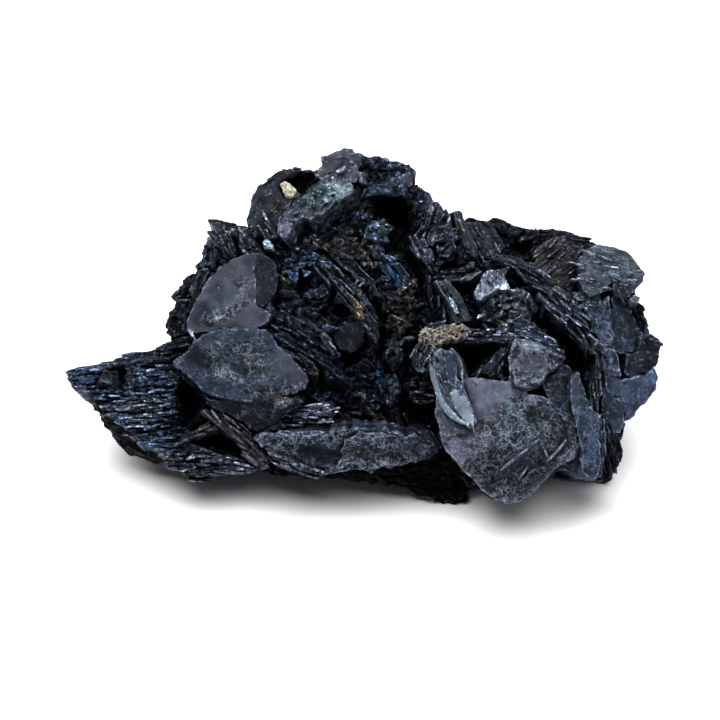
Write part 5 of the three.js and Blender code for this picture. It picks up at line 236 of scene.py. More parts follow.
    ('R', [14.88,27.72,4.77], [0.267,0.958,0.108], -26.5, 7.38, 1, 0.31, {'pitch': 0.52, 'amp': 0.43, 'seg': 3.57, 'crk': 0.86}, [2.38,2.69,-1.07,3.26,-3.43,1.02,-4.67,-1.69,-0.6,-4.8,2.03,-3.47,4.13,-0.6]),
    ('R', [18.51,14.17,-19.38], [0.173,0.585,-0.792], 17, 5.01, 0, 0.3, {'pitch': 0.61, 'amp': 0.59, 'seg': 5.17, 'crk': 0.55}, [-3.58,0.98,-4.1,-1.59,-3.08,-3.17,-0.12,-2.7,2.76,-2.15,3.66,-0.81,5.18,1.44,3.73,3.58,0.06,2.85,-2.91,3.72]),
    ('B', [40.47,15.76,16.68], [0.196,0.538,0.82], -51.5, 7.36, 6, 0.45, {'pitch': 0.67, 'amp': 0.41, 'seg': 3.38, 'crk': 0.92}, [-2.16,-0.03,-1.58,-1.37,-0.46,-2.63,1.44,-2.3,2.1,-0.88,1.69,0.67,1.26,1.82,-0.61,1.63,-1.5,0.99]),
    ('D', [-32.72,12.65,-15.33], [-0.037,0.691,-0.722], -50.5, 7.17, 6, 0.36, {'pitch': 0.52, 'amp': 0.5, 'seg': 5.72, 'crk': 0.68}, [-1.69,0.2,-1.67,-0.56,-0.86,-2.18,0.53,-1.91,1.96,-1.59,2.43,-0.32,1.96,0.92,0.62,1.52,-0.1,2.33,-1.75,2.11]),
    ('F', [12.11,24.44,-14.4], [-0.127,0.884,-0.45], -56.5, 6.47, 2, 0.44, {'pitch': 0.7, 'amp': 0.41, 'seg': 2.69, 'crk': 0.48}, [4.31,0.04,2.57,1.46,-1.87,2.5,-5.73,0.67,-3.83,-1.75,-0.98,-1.69,2.47,-1.33]),
    ('D', [9.63,23.58,17.35], [0.423,0.785,0.453], 45.5, 6.77, 0, 0.34, {'pitch': 0.52, 'amp': 0.69, 'seg': 3.15, 'crk': 0.56}, [0.26,-2.51,2.02,-2.4,4.22,-0.36,3.02,1.33,0.12,3.06,-3.09,2.82,-4.7,0.08,-3.47,-2.51]),
    ('S', [-16.76,23.02,13.5], [-0.437,0.704,0.56], -44, 7.65, 1, 0.48, {'pitch': 0.64, 'amp': 0.69, 'seg': 4.91, 'crk': 0.9, 'rg': 1.0}, [2.56,-3.3,4.58,-1.62,5.28,0.57,3.34,2.59,1,3.43,-1.28,3.74,-3.47,2.13,-4.26,0.45,-4.71,-1.92,-2.87,-3.72,0.17,-4.2]),
    ('D', [-26.23,16.12,-16.6], [-0.319,0.618,-0.718], -51, 7.03, 0, 0.46, {'pitch': 0.54, 'amp': 0.54, 'seg': 3.26, 'crk': 0.53}, [3.84,0.86,1.54,1.61,-0.39,2.99,-2.53,1.77,-4.15,-0.19,-2.45,-0.98,-0.83,-3.3,1.66,-2.4,3.54,-1.05]),
    ('R', [2.27,20.86,26.46], [0.37,0.779,0.506], -19.5, 6.94, 6, 0.34, {'pitch': 0.45, 'amp': 0.4, 'seg': 4.0, 'crk': 0.79}, [-0.91,4.33,-2.81,1.96,-6.65,0.21,-3.71,-1.75,-0.78,-2.77,2.33,-3.95,3.58,-1.55,5.66,1.39,3.98,3.73]),
    ('D', [3.67,30.32,0.29], [-0.043,0.997,-0.07], 8, 6.88, 0, 0.4, {'pitch': 0.67, 'amp': 0.61, 'seg': 2.67, 'crk': 0.77}, [4.14,-1.4,3.53,1.37,1.51,4.48,-2.6,2.88,-4.58,0.72,-2.48,-2.81,-0.3,-3.32]),
    ('D', [30.43,16.22,-15.46], [0.414,0.58,-0.701], -49.5, 5.56, 6, 0.37, {'pitch': 0.5, 'amp': 0.68, 'seg': 6.0, 'crk': 0.91}, [-4.05,2.82,-5.31,-0.75,-2.7,-2.07,1.37,-3.82,2.82,-2.21,4.56,0.46,3.09,3.05,-0.14,3.25]),
    ('S', [25.98,22.18,13.14], [0.22,0.89,0.4], -58.5, 6.61, 6, 0.46, {'pitch': 0.5, 'amp': 0.65, 'seg': 5.39, 'crk': 0.9, 'rg': 1.0}, [-1.3,-4.8,1.82,-4.61,4.72,-3.92,6.28,-0.95,5.16,1.52,3.69,4.09,1.46,5.45,-1.46,4.46,-4.1,3.32,-6.31,1.02,-5.66,-1.5,-3.79,-3.77]),
    ('D', [40.63,22.53,7.13], [0.566,0.767,0.303], 56.5, 7.2, 6, 0.43, {'pitch': 0.47, 'amp': 0.44, 'seg': 5.63, 'crk': 0.91}, [-4.71,-3.95,1.23,-4.62,3.16,-2.49,5.02,0.06,3.8,3.25,0,4.46,-3.5,2.09,-4.75,-0.99]),
    ('R', [-0.7,26.17,20.56], [0.169,0.923,0.346], 21, 7.71, 0, 0.25, {'pitch': 0.48, 'amp': 0.53, 'seg': 3.02, 'crk': 1.04}, [4.93,-0.86,4.88,1.73,2.1,3.32,-1.08,3.21,-4.95,3.17,-3.88,-0.92,-3.4,-2.61,-0.39,-5.3,4.02,-3.01]),
    ('S', [-21.96,26.46,-6.13], [0.03,0.999,0.011], -7.5, 6.45, 0, 0.44, {'pitch': 0.55, 'amp': 0.63, 'seg': 3.5, 'crk': 0.9, 'rg': 1.0}, [1.82,3.8,-0.87,4.03,-3.43,2.85,-4.93,0.69,-4.67,-1.39,-3.31,-3.75,-0.12,-4.06,3.04,-4.32,4.62,-2.48,4.82,0.54,4.15,2.85]),
    ('F', [32.12,23.89,-9.8], [-0.033,0.708,-0.706], -71.5, 6.33, 1, 0.28, {'pitch': 0.51, 'amp': 0.44, 'seg': 5.21, 'crk': 0.57}, [-7.03,-1.48,-0.13,-2.88,4.36,-2.56,7.74,-0.5,3.71,1.62,-1.24,3.82,-4.7,1.1]),
    ('F', [-3.28,17.9,30.15], [-0.368,0.745,0.557], -60.5, 5.63, 6, 0.28, {'pitch': 0.61, 'amp': 0.45, 'seg': 2.96, 'crk': 0.76}, [-0.63,-1.96,4.52,-1.44,6.04,-0.15,2.05,1.32,0.08,1.71,-4.19,1.39,-4.76,-0.01,-2.21,-1.23]),
    ('F', [38.96,13.67,-17.85], [0.173,0.641,-0.748], -56, 6.99, 6, 0.27, {'pitch': 0.44, 'amp': 0.47, 'seg': 2.57, 'crk': 0.76}, [0.71,-1.12,2.54,-0.9,2.88,0.83,0.07,1.09,-2.12,1.31,-2.91,-0.28,-2.51,-1.38]),
    ('D', [-5.99,25.11,19.41], [-0.305,0.913,0.272], 67.5, 6.29, 3, 0.31, {'pitch': 0.58, 'amp': 0.53, 'seg': 3.61, 'crk': 0.82}, [-4.27,-0.66,-2.94,-3.35,-1.27,-5.53,1.18,-3.35,4.56,-2.93,3.75,0.03,3.6,3.07,1.92,4.97,-1.1,3.39,-4.23,3.33]),
    ('C', [-21.59,16.37,18.93], [-0.519,0.623,0.585], -34.5, 5.28, 0, 0.52, {'pitch': 0.56, 'amp': 0.48, 'seg': 2.82, 'crk': 0.9, 'rg': 1.0}, [0.8,-3.45,3.37,-3.11,4.5,-1.27,4.23,0.79,3.46,3.01,0.56,3.57,-2.03,3.21,-3.96,1.82,-4.64,-0.14,-3.73,-1.75,-2.24,-3.49]),
    ('F', [5.13,23.2,20.42], [0.536,0.781,0.322], -40, 7.27, 3, 0.38, {'pitch': 0.65, 'amp': 0.68, 'seg': 3.33, 'crk': 0.77}, [3.36,-1.46,7.21,0.16,1.64,2.41,-1.27,2.78,-6.46,0.98,-4.63,-0.96,0.75,-3.73]),
    ('F', [-14.26,28.93,6.82], [-0.05,0.987,0.154], -23, 6.8, 0, 0.36, {'pitch': 0.52, 'amp': 0.61, 'seg': 5.67, 'crk': 0.93}, [-1.82,3.8,-5.6,1.57,-6.35,-0.24,-3.05,-3.05,-0.52,-4.09,5.29,-2.54,6.85,0.11,6.29,2.08,2.76,3.7]),
    ('F', [3.64,23.81,-9.51], [0.163,0.903,-0.397], -72.5, 5.77, 2, 0.28, {'pitch': 0.43, 'amp': 0.46, 'seg': 5.03, 'crk': 0.64}, [-4.52,-0.51,-3.76,-2.63,-0.42,-2.38,1.75,-3.16,4.73,-1.45,3.61,0.55,3.47,1.94,0.66,2.58,-2.36,2.45,-5.08,2.25]),
    ('B', [42.79,20.13,-0.17], [0.742,0.67,0.017], 26, 6.56, 0, 0.42, {'pitch': 0.46, 'amp': 0.64, 'seg': 3.83, 'crk': 0.43}, [5.83,-0.03,5.11,2.28,0.76,5.15,-1.3,4.56,-5.74,2.04,-4.05,-1.05,-2.24,-2.87,0.29,-5.65,3.68,-2.49]),
    ('R', [-8.31,18.32,27.32], [-0.033,0.683,0.73], -43.5, 5.63, 0, 0.27, {'pitch': 0.63, 'amp': 0.64, 'seg': 4.63, 'crk': 0.72}, [-4.33,-1.5,-1.43,-2.55,1.71,-4.69,2.95,-1.99,4.67,0.97,2.83,2.53,-0.18,4.25,-3.65,1.51]),
    ('R', [-5.66,19.81,-14.64], [-0.061,0.745,-0.664], -17, 5.45, 0, 0.3, {'pitch': 0.44, 'amp': 0.67, 'seg': 3.34, 'crk': 1.0}, [-0.36,2.93,-2.93,1.43,-3.17,-1.29,-0.84,-4.07,2.32,-2.39,3.87,0.16,4.28,2.86]),
    ('R', [-16.09,19.12,-14.53], [0.02,0.697,-0.717], 20.5, 5.14, 6, 0.41, {'pitch': 0.56, 'amp': 0.63, 'seg': 2.63, 'crk': 1.04}, [-4.32,-3.25,-0.58,-2.89,3.63,-2.86,5.6,-0.18,3.38,2.95,-0.73,3.49,-3.8,1.25]),
    ('F', [-2.11,31.16,3.1], [0.111,0.992,-0.059], -41, 6.38, 2, 0.31, {'pitch': 0.59, 'amp': 0.52, 'seg': 5.02, 'crk': 0.8}, [3.68,-2.17,5.26,-0.1,2.41,1.9,0.05,3.26,-5.24,1.17,-3.32,-0.53,-0.72,-3.72]),
    ('F', [21.66,26.61,8.06], [0.145,0.981,0.132], -66, 6.51, 0, 0.37, {'pitch': 0.5, 'amp': 0.57, 'seg': 4.26, 'crk': 0.8}, [-0.82,-1.88,1.35,-2.17,5.44,-1.87,4.84,1.32,1.45,2.73,-1.85,2.95,-5.01,0.92,-5.38,-1.04]),
    ('R', [20.41,17.12,19.31], [-0.124,0.624,0.772], -7.5, 5.61, 6, 0.34, {'pitch': 0.43, 'amp': 0.5, 'seg': 5.63, 'crk': 0.51}, [-1.05,-3.06,1.76,-2.21,4.88,-1.98,4.05,0.82,2.2,2.19,0,3.98,-2.16,2.37,-4,1.06,-4.15,-0.76,-4.3,-2.72]),
    ('C', [44.84,15.26,5.06], [0.82,0.51,0.259], -30, 5.36, 1, 0.45, {'pitch': 0.61, 'amp': 0.67, 'seg': 3.7, 'crk': 0.9, 'rg': 1.0}, [2.3,-3.09,4.16,-1.83,4.33,-0.11,4.15,1.72,2.02,2.9,-0.11,3.52,-2.19,2.67,-4.24,2.13,-4.14,0,-4.04,-1.84,-2.28,-2.82,-0.19,-3.93]),
    ('B', [-20.42,25.08,4.18], [-0.574,0.777,0.26], 54.5, 6.86, 6, 0.43, {'pitch': 0.42, 'amp': 0.58, 'seg': 3.34, 'crk': 0.53}, [3.84,-0.9,4.46,1.12,2.22,2.54,-0.28,3.32,-2.48,1.73,-4.08,1.07,-4.69,-1.94,-2.32,-2.43,0.93,-2.61,4.35,-2.78]),
    ('F', [25.24,15.85,-21.22], [0.051,0.536,-0.843], -39, 6.88, 0, 0.41, {'pitch': 0.64, 'amp': 0.66, 'seg': 3.48, 'crk': 1.0}, [0.48,1.27,-1.28,0.86,-1.92,0.34,-1.96,-0.36,-1.48,-0.78,-0.2,-1.06,1.82,-1.19,3.15,-0.75,2.29,0.17,1.55,0.7]),
    ('F', [36.26,27.4,-1.27], [0.535,0.84,-0.097], 65.5, 7.28, 0, 0.38, {'pitch': 0.45, 'amp': 0.44, 'seg': 5.82, 'crk': 0.78}, [6.94,0.09,4.34,2.48,0.15,2.12,-3.16,2.63,-7,0.75,-4.07,-1.5,-2.89,-2.99,1.48,-2.2,3.9,-0.92]),
    ('B', [-9.95,23.59,-9.93], [-0.236,0.709,-0.665], -27.5, 7.24, 0, 0.41, {'pitch': 0.66, 'amp': 0.43, 'seg': 5.93, 'crk': 1.0}, [3.14,-0.38,3.73,1.55,1.34,4.22,-1.66,3.29,-2.89,1.75,-3.32,-0.51,-2.22,-1.75,-0.91,-4.29,2.32,-3.36]),
    ('D', [-0.03,19.78,-13.73], [0.051,0.66,-0.749], 51.5, 6.81, 4, 0.39, {'pitch': 0.49, 'amp': 0.51, 'seg': 5.06, 'crk': 0.79}, [-5.68,-0.82,-1.44,-3.04,1.84,-2.87,4.44,-0.81,3.6,3.19,-1.09,3.74,-4.46,2.23]),
    ('D', [-9.17,30.12,2.68], [0.039,0.988,-0.149], -61, 5.05, 1, 0.39, {'pitch': 0.56, 'amp': 0.6, 'seg': 3.88, 'crk': 0.47}, [-2.98,2.94,-6.3,1.25,-6.41,-1.07,-3.01,-3.34,1.16,-3.44,5.24,-3.34,4.59,-0.62,5.21,3.04,1.51,4.57]),
    ('F', [21.14,23.56,-14.54], [-0.131,0.674,-0.727], -55.5, 6.66, 3, 0.28, {'pitch': 0.43, 'amp': 0.66, 'seg': 5.7, 'crk': 0.88}, [-0.39,-1.83,4.32,-1.99,4.29,-0.19,4.04,1.04,1.12,1.85,-2.24,1.46,-4.67,-0.08,-4.07,-1.91]),
    ('B', [-14.07,26.09,-6.43], [-0.194,0.924,-0.33], -71, 7.92, 6, 0.36, {'pitch': 0.64, 'amp': 0.56, 'seg': 2.64, 'crk': 0.67}, [3.67,3.92,-1.69,4.46,-4.31,0.45,-4.89,-2.07,-1.47,-4.55,4.07,-3.55,4.05,0.18]),
    ('C', [-14.15,16.79,25.83], [-0.645,0.579,0.498], -15, 5.92, 1, 0.42, {'pitch': 0.58, 'amp': 0.57, 'seg': 3.43, 'crk': 0.9, 'rg': 1.0}, [4.44,-0.67,4.06,1.47,2.76,3.58,0.34,4.52,-2.34,3.42,-4.54,1.97,-4.5,-0.51,-3.94,-3.12,-1.1,-4.09,1.31,-4.77,3.72,-3.56]),
    ('R', [-37.42,12.21,-11.35], [-0.54,0.812,-0.223], 15, 5.53, 0, 0.37, {'pitch': 0.47, 'amp': 0.54, 'seg': 5.28, 'crk': 0.56}, [2.59,-0.61,2.75,1.15,1.49,2.55,-0.61,2.13,-1.68,1.05,-3.18,0.28,-2.77,-1.51,-1,-1.69,0.93,-2.53,2.66,-1.71]),
    ('F', [29.35,26.65,5.33], [0.171,0.985,0.029], -39.5, 6.73, 0, 0.38, {'pitch': 0.57, 'amp': 0.55, 'seg': 3.17, 'crk': 0.47}, [4.42,-2.04,5.28,0.06,4.97,1.59,0.36,2.68,-3.22,1.69,-5,0.02,-5.17,-1.84,1.21,-2.57]),
    ('D', [10.05,13.75,25.84], [0.593,0.573,0.566], -9, 6.57, 3, 0.49, {'pitch': 0.56, 'amp': 0.49, 'seg': 5.32, 'crk': 1.05}, [-3.62,-0.09,-2.38,-1.39,-0.77,-1.85,1.41,-2.08,2.39,-0.8,2.91,0.3,2.71,2.19,0.4,2.3,-1.74,2.45,-2.81,0.84]),
    ('D', [29.56,16.99,17.87], [0.17,0.533,0.829], 54.5, 5.87, 0, 0.44, {'pitch': 0.48, 'amp': 0.59, 'seg': 2.86, 'crk': 0.78}, [6.29,-1.8,5.27,2.21,-0.24,4.88,-4.23,3.23,-6.87,-0.62,-3.66,-3.35,0.53,-3.87]),
    ('C', [-9.98,27.02,14.75], [-0.182,0.925,0.332], 51.5, 5.05, 0, 0.4, {'pitch': 0.48, 'amp': 0.45, 'seg': 3.75, 'crk': 0.9, 'rg': 1.0}, [-0.62,-5.05,2.83,-3.71,5.47,-1.68,5.26,1.35,3.31,3.83,-0.08,5.23,-3.2,4.08,-5.46,1.36,-5.49,-1.58,-3.25,-3.74]),
    ('B', [5.92,14.27,29.66], [0.146,0.676,0.722], 16.5, 7.47, 1, 0.34, {'pitch': 0.66, 'amp': 0.56, 'seg': 3.21, 'crk': 0.51}, [2.56,2.09,0.28,4.24,-3.06,4.16,-3.05,0.04,-3.72,-2.85,-0.72,-2.83,2.78,-2.44,2.88,0.25]),
    ('C', [42.93,14.28,11.74], [0.803,0.586,-0.106], -55, 6.97, 0, 0.51, {'pitch': 0.61, 'amp': 0.68, 'seg': 3.34, 'crk': 0.9, 'rg': 1.0}, [1.87,1.85,0.33,2.3,-1.1,1.94,-2.03,1.36,-2.61,0.33,-2.36,-0.78,-1.77,-1.71,-0.48,-2.49,1.2,-2.17,2.45,-1.58,2.95,-0.35,2.36,0.93]),
    ('F', [13.64,15.35,21.99], [0.354,0.621,0.699], 54.5, 5.79, 0, 0.35, {'pitch': 0.58, 'amp': 0.5, 'seg': 5.98, 'crk': 0.71}, [-0.3,1.61,-2.93,1.59,-3.87,0.04,-3.56,-1.11,-1.22,-1.19,0.75,-1.45,2.78,-1.29,4.47,0.03,3.06,0.59,1.05,1.61]),
    ('R', [44.41,13.58,-6.39], [0.491,0.53,-0.692], 29, 6.02, 1, 0.24, {'pitch': 0.46, 'amp': 0.63, 'seg': 3.05, 'crk': 0.46}, [-0.68,1.95,-3.15,1.45,-3.78,0.13,-2.44,-2.1,-0.92,-2.34,1.5,-2.41,2.7,-1.8,4.01,0.11,1.84,1.25,0.99,2.04]),
    ('D', [-24.44,23.97,-11.11], [0.041,0.865,-0.5], -22.5, 7.02, 0, 0.34, {'pitch': 0.63, 'amp': 0.54, 'seg': 4.96, 'crk': 0.7}, [-2.46,4.59,-5.42,2.43,-6.13,-1,-2.99,-3.12,-1.12,-5.3,2.77,-3.06,6.02,-1.15,4.71,0.78,3.47,3.61,0.07,3.96]),
    ('D', [-16.44,28,0.51], [-0.438,0.893,0.102], -51.5, 5.41, 0, 0.46, {'pitch': 0.66, 'amp': 0.49, 'seg': 4.16, 'crk': 1.07}, [-0.43,4.1,-2.96,1.87,-6.52,-0.65,-1.28,-2.95,3.29,-3.04,6.19,-1.03,2.77,2.89]),
    ('D', [9.73,28.36,0.63], [-0.147,0.943,-0.298], 45, 6.64, 1, 0.32, {'pitch': 0.65, 'amp': 0.52, 'seg': 3.31, 'crk': 0.78}, [-3.17,1.92,-4.92,-0.2,-2.32,-2.35,1.33,-3.92,3.38,-0.43,2.46,1.68,0.67,2.22]),
    ('C', [-32.41,19.73,-8.64], [-0.21,0.965,-0.16], 63, 7.1, 6, 0.5, {'pitch': 0.42, 'amp': 0.46, 'seg': 5.78, 'crk': 0.9, 'rg': 1.0}, [3.23,4.94,-0.59,6.35,-3.7,4.18,-6.63,1.59,-5.75,-1.99,-4.02,-5.37,-0.01,-6.59,4.58,-5.33,6.47,-2.14,5.48,2.06]),
    ('R', [-41.13,11.04,-6.43], [-0.348,0.799,-0.491], -4, 7.15, 6, 0.25, {'pitch': 0.68, 'amp': 0.58, 'seg': 3.35, 'crk': 1.07}, [1.16,1.03,0.23,1.25,-2.26,1.24,-2.56,0.36,-1.89,-1.48,0.15,-1.14,1.14,-1.26,2.6,0.33]),
    ('R', [-30.08,11.32,1.67], [-0.564,0.622,0.543], -37.5, 5.74, 1, 0.35, {'pitch': 0.58, 'amp': 0.51, 'seg': 3.67, 'crk': 0.79}, [-0.13,-1.96,1.73,-1.63,2.36,0.25,0.65,1.6,-0.44,1.59,-2.45,0.35,-1.53,-1.47]),
    ('S', [0.09,26.46,-4.02], [0.125,0.94,-0.318], -52, 6.6, 0, 0.42, {'pitch': 0.57, 'amp': 0.46, 'seg': 5.78, 'crk': 0.99, 'rg': 1.0}, [1.81,4.36,-0.68,3.87,-3.11,3.27,-4.83,1.66,-4.47,-0.51,-3.39,-2.67,-1.36,-3.53,1.12,-4.54,2.72,-3.21,4.26,-1.39,5.27,0.61,3.91,2.94]),
    ('B', [-3.36,21.78,25.09], [-0.388,0.728,0.565], -56, 7.53, 0, 0.4, {'pitch': 0.43, 'amp': 0.56, 'seg': 2.98, 'crk': 0.85}, [2.2,-5.28,5.25,-3.31,4.49,-0.33,3.89,2.95,0.88,4.07,-3.37,3.03,-4.36,0.47,-5.49,-2.01,-2.31,-5.06]),
    ('F', [-38.84,11.19,-0.45], [-0.192,0.734,0.652], 29, 5.57, 0, 0.36, {'pitch': 0.62, 'amp': 0.67, 'seg': 4.9, 'crk': 0.82}, [0.58,0.88,-1,0.55,-1.94,0.51,-2.39,-0.16,-1.19,-0.52,-0.3,-0.82,1.44,-0.95,1.48,-0.31,2.21,0.29,1.25,0.65]),
    ('S', [-15.25,19.99,18.55], [-0.513,0.733,0.446], 56.5, 7.79, 2, 0.43, {'pitch': 0.44, 'amp': 0.47, 'seg': 3.61, 'crk': 0.9, 'rg': 1.0}, [-4.32,-1.35,-2.95,-2.72,-1.15,-3.66,0.87,-4.08,2.83,-3.18,3.86,-1.77,4.81,0.46,4.11,2.32,2.56,4.06,0.1,4.46,-1.92,3.47,-3.8,2.52,-4.31,0.65]),
    ('R', [40.06,23.03,-4.61], [0.579,0.715,-0.391], -39.5, 7.29, 0, 0.28, {'pitch': 0.62, 'amp': 0.69, 'seg': 4.12, 'crk': 0.77}, [-6.04,2.45,-5.87,-0.63,-2.58,-4.32,1.13,-5.06,4.04,-2.81,6.07,-0.89,3.28,2.44,0.61,4.17,-2.76,4.94]),
]
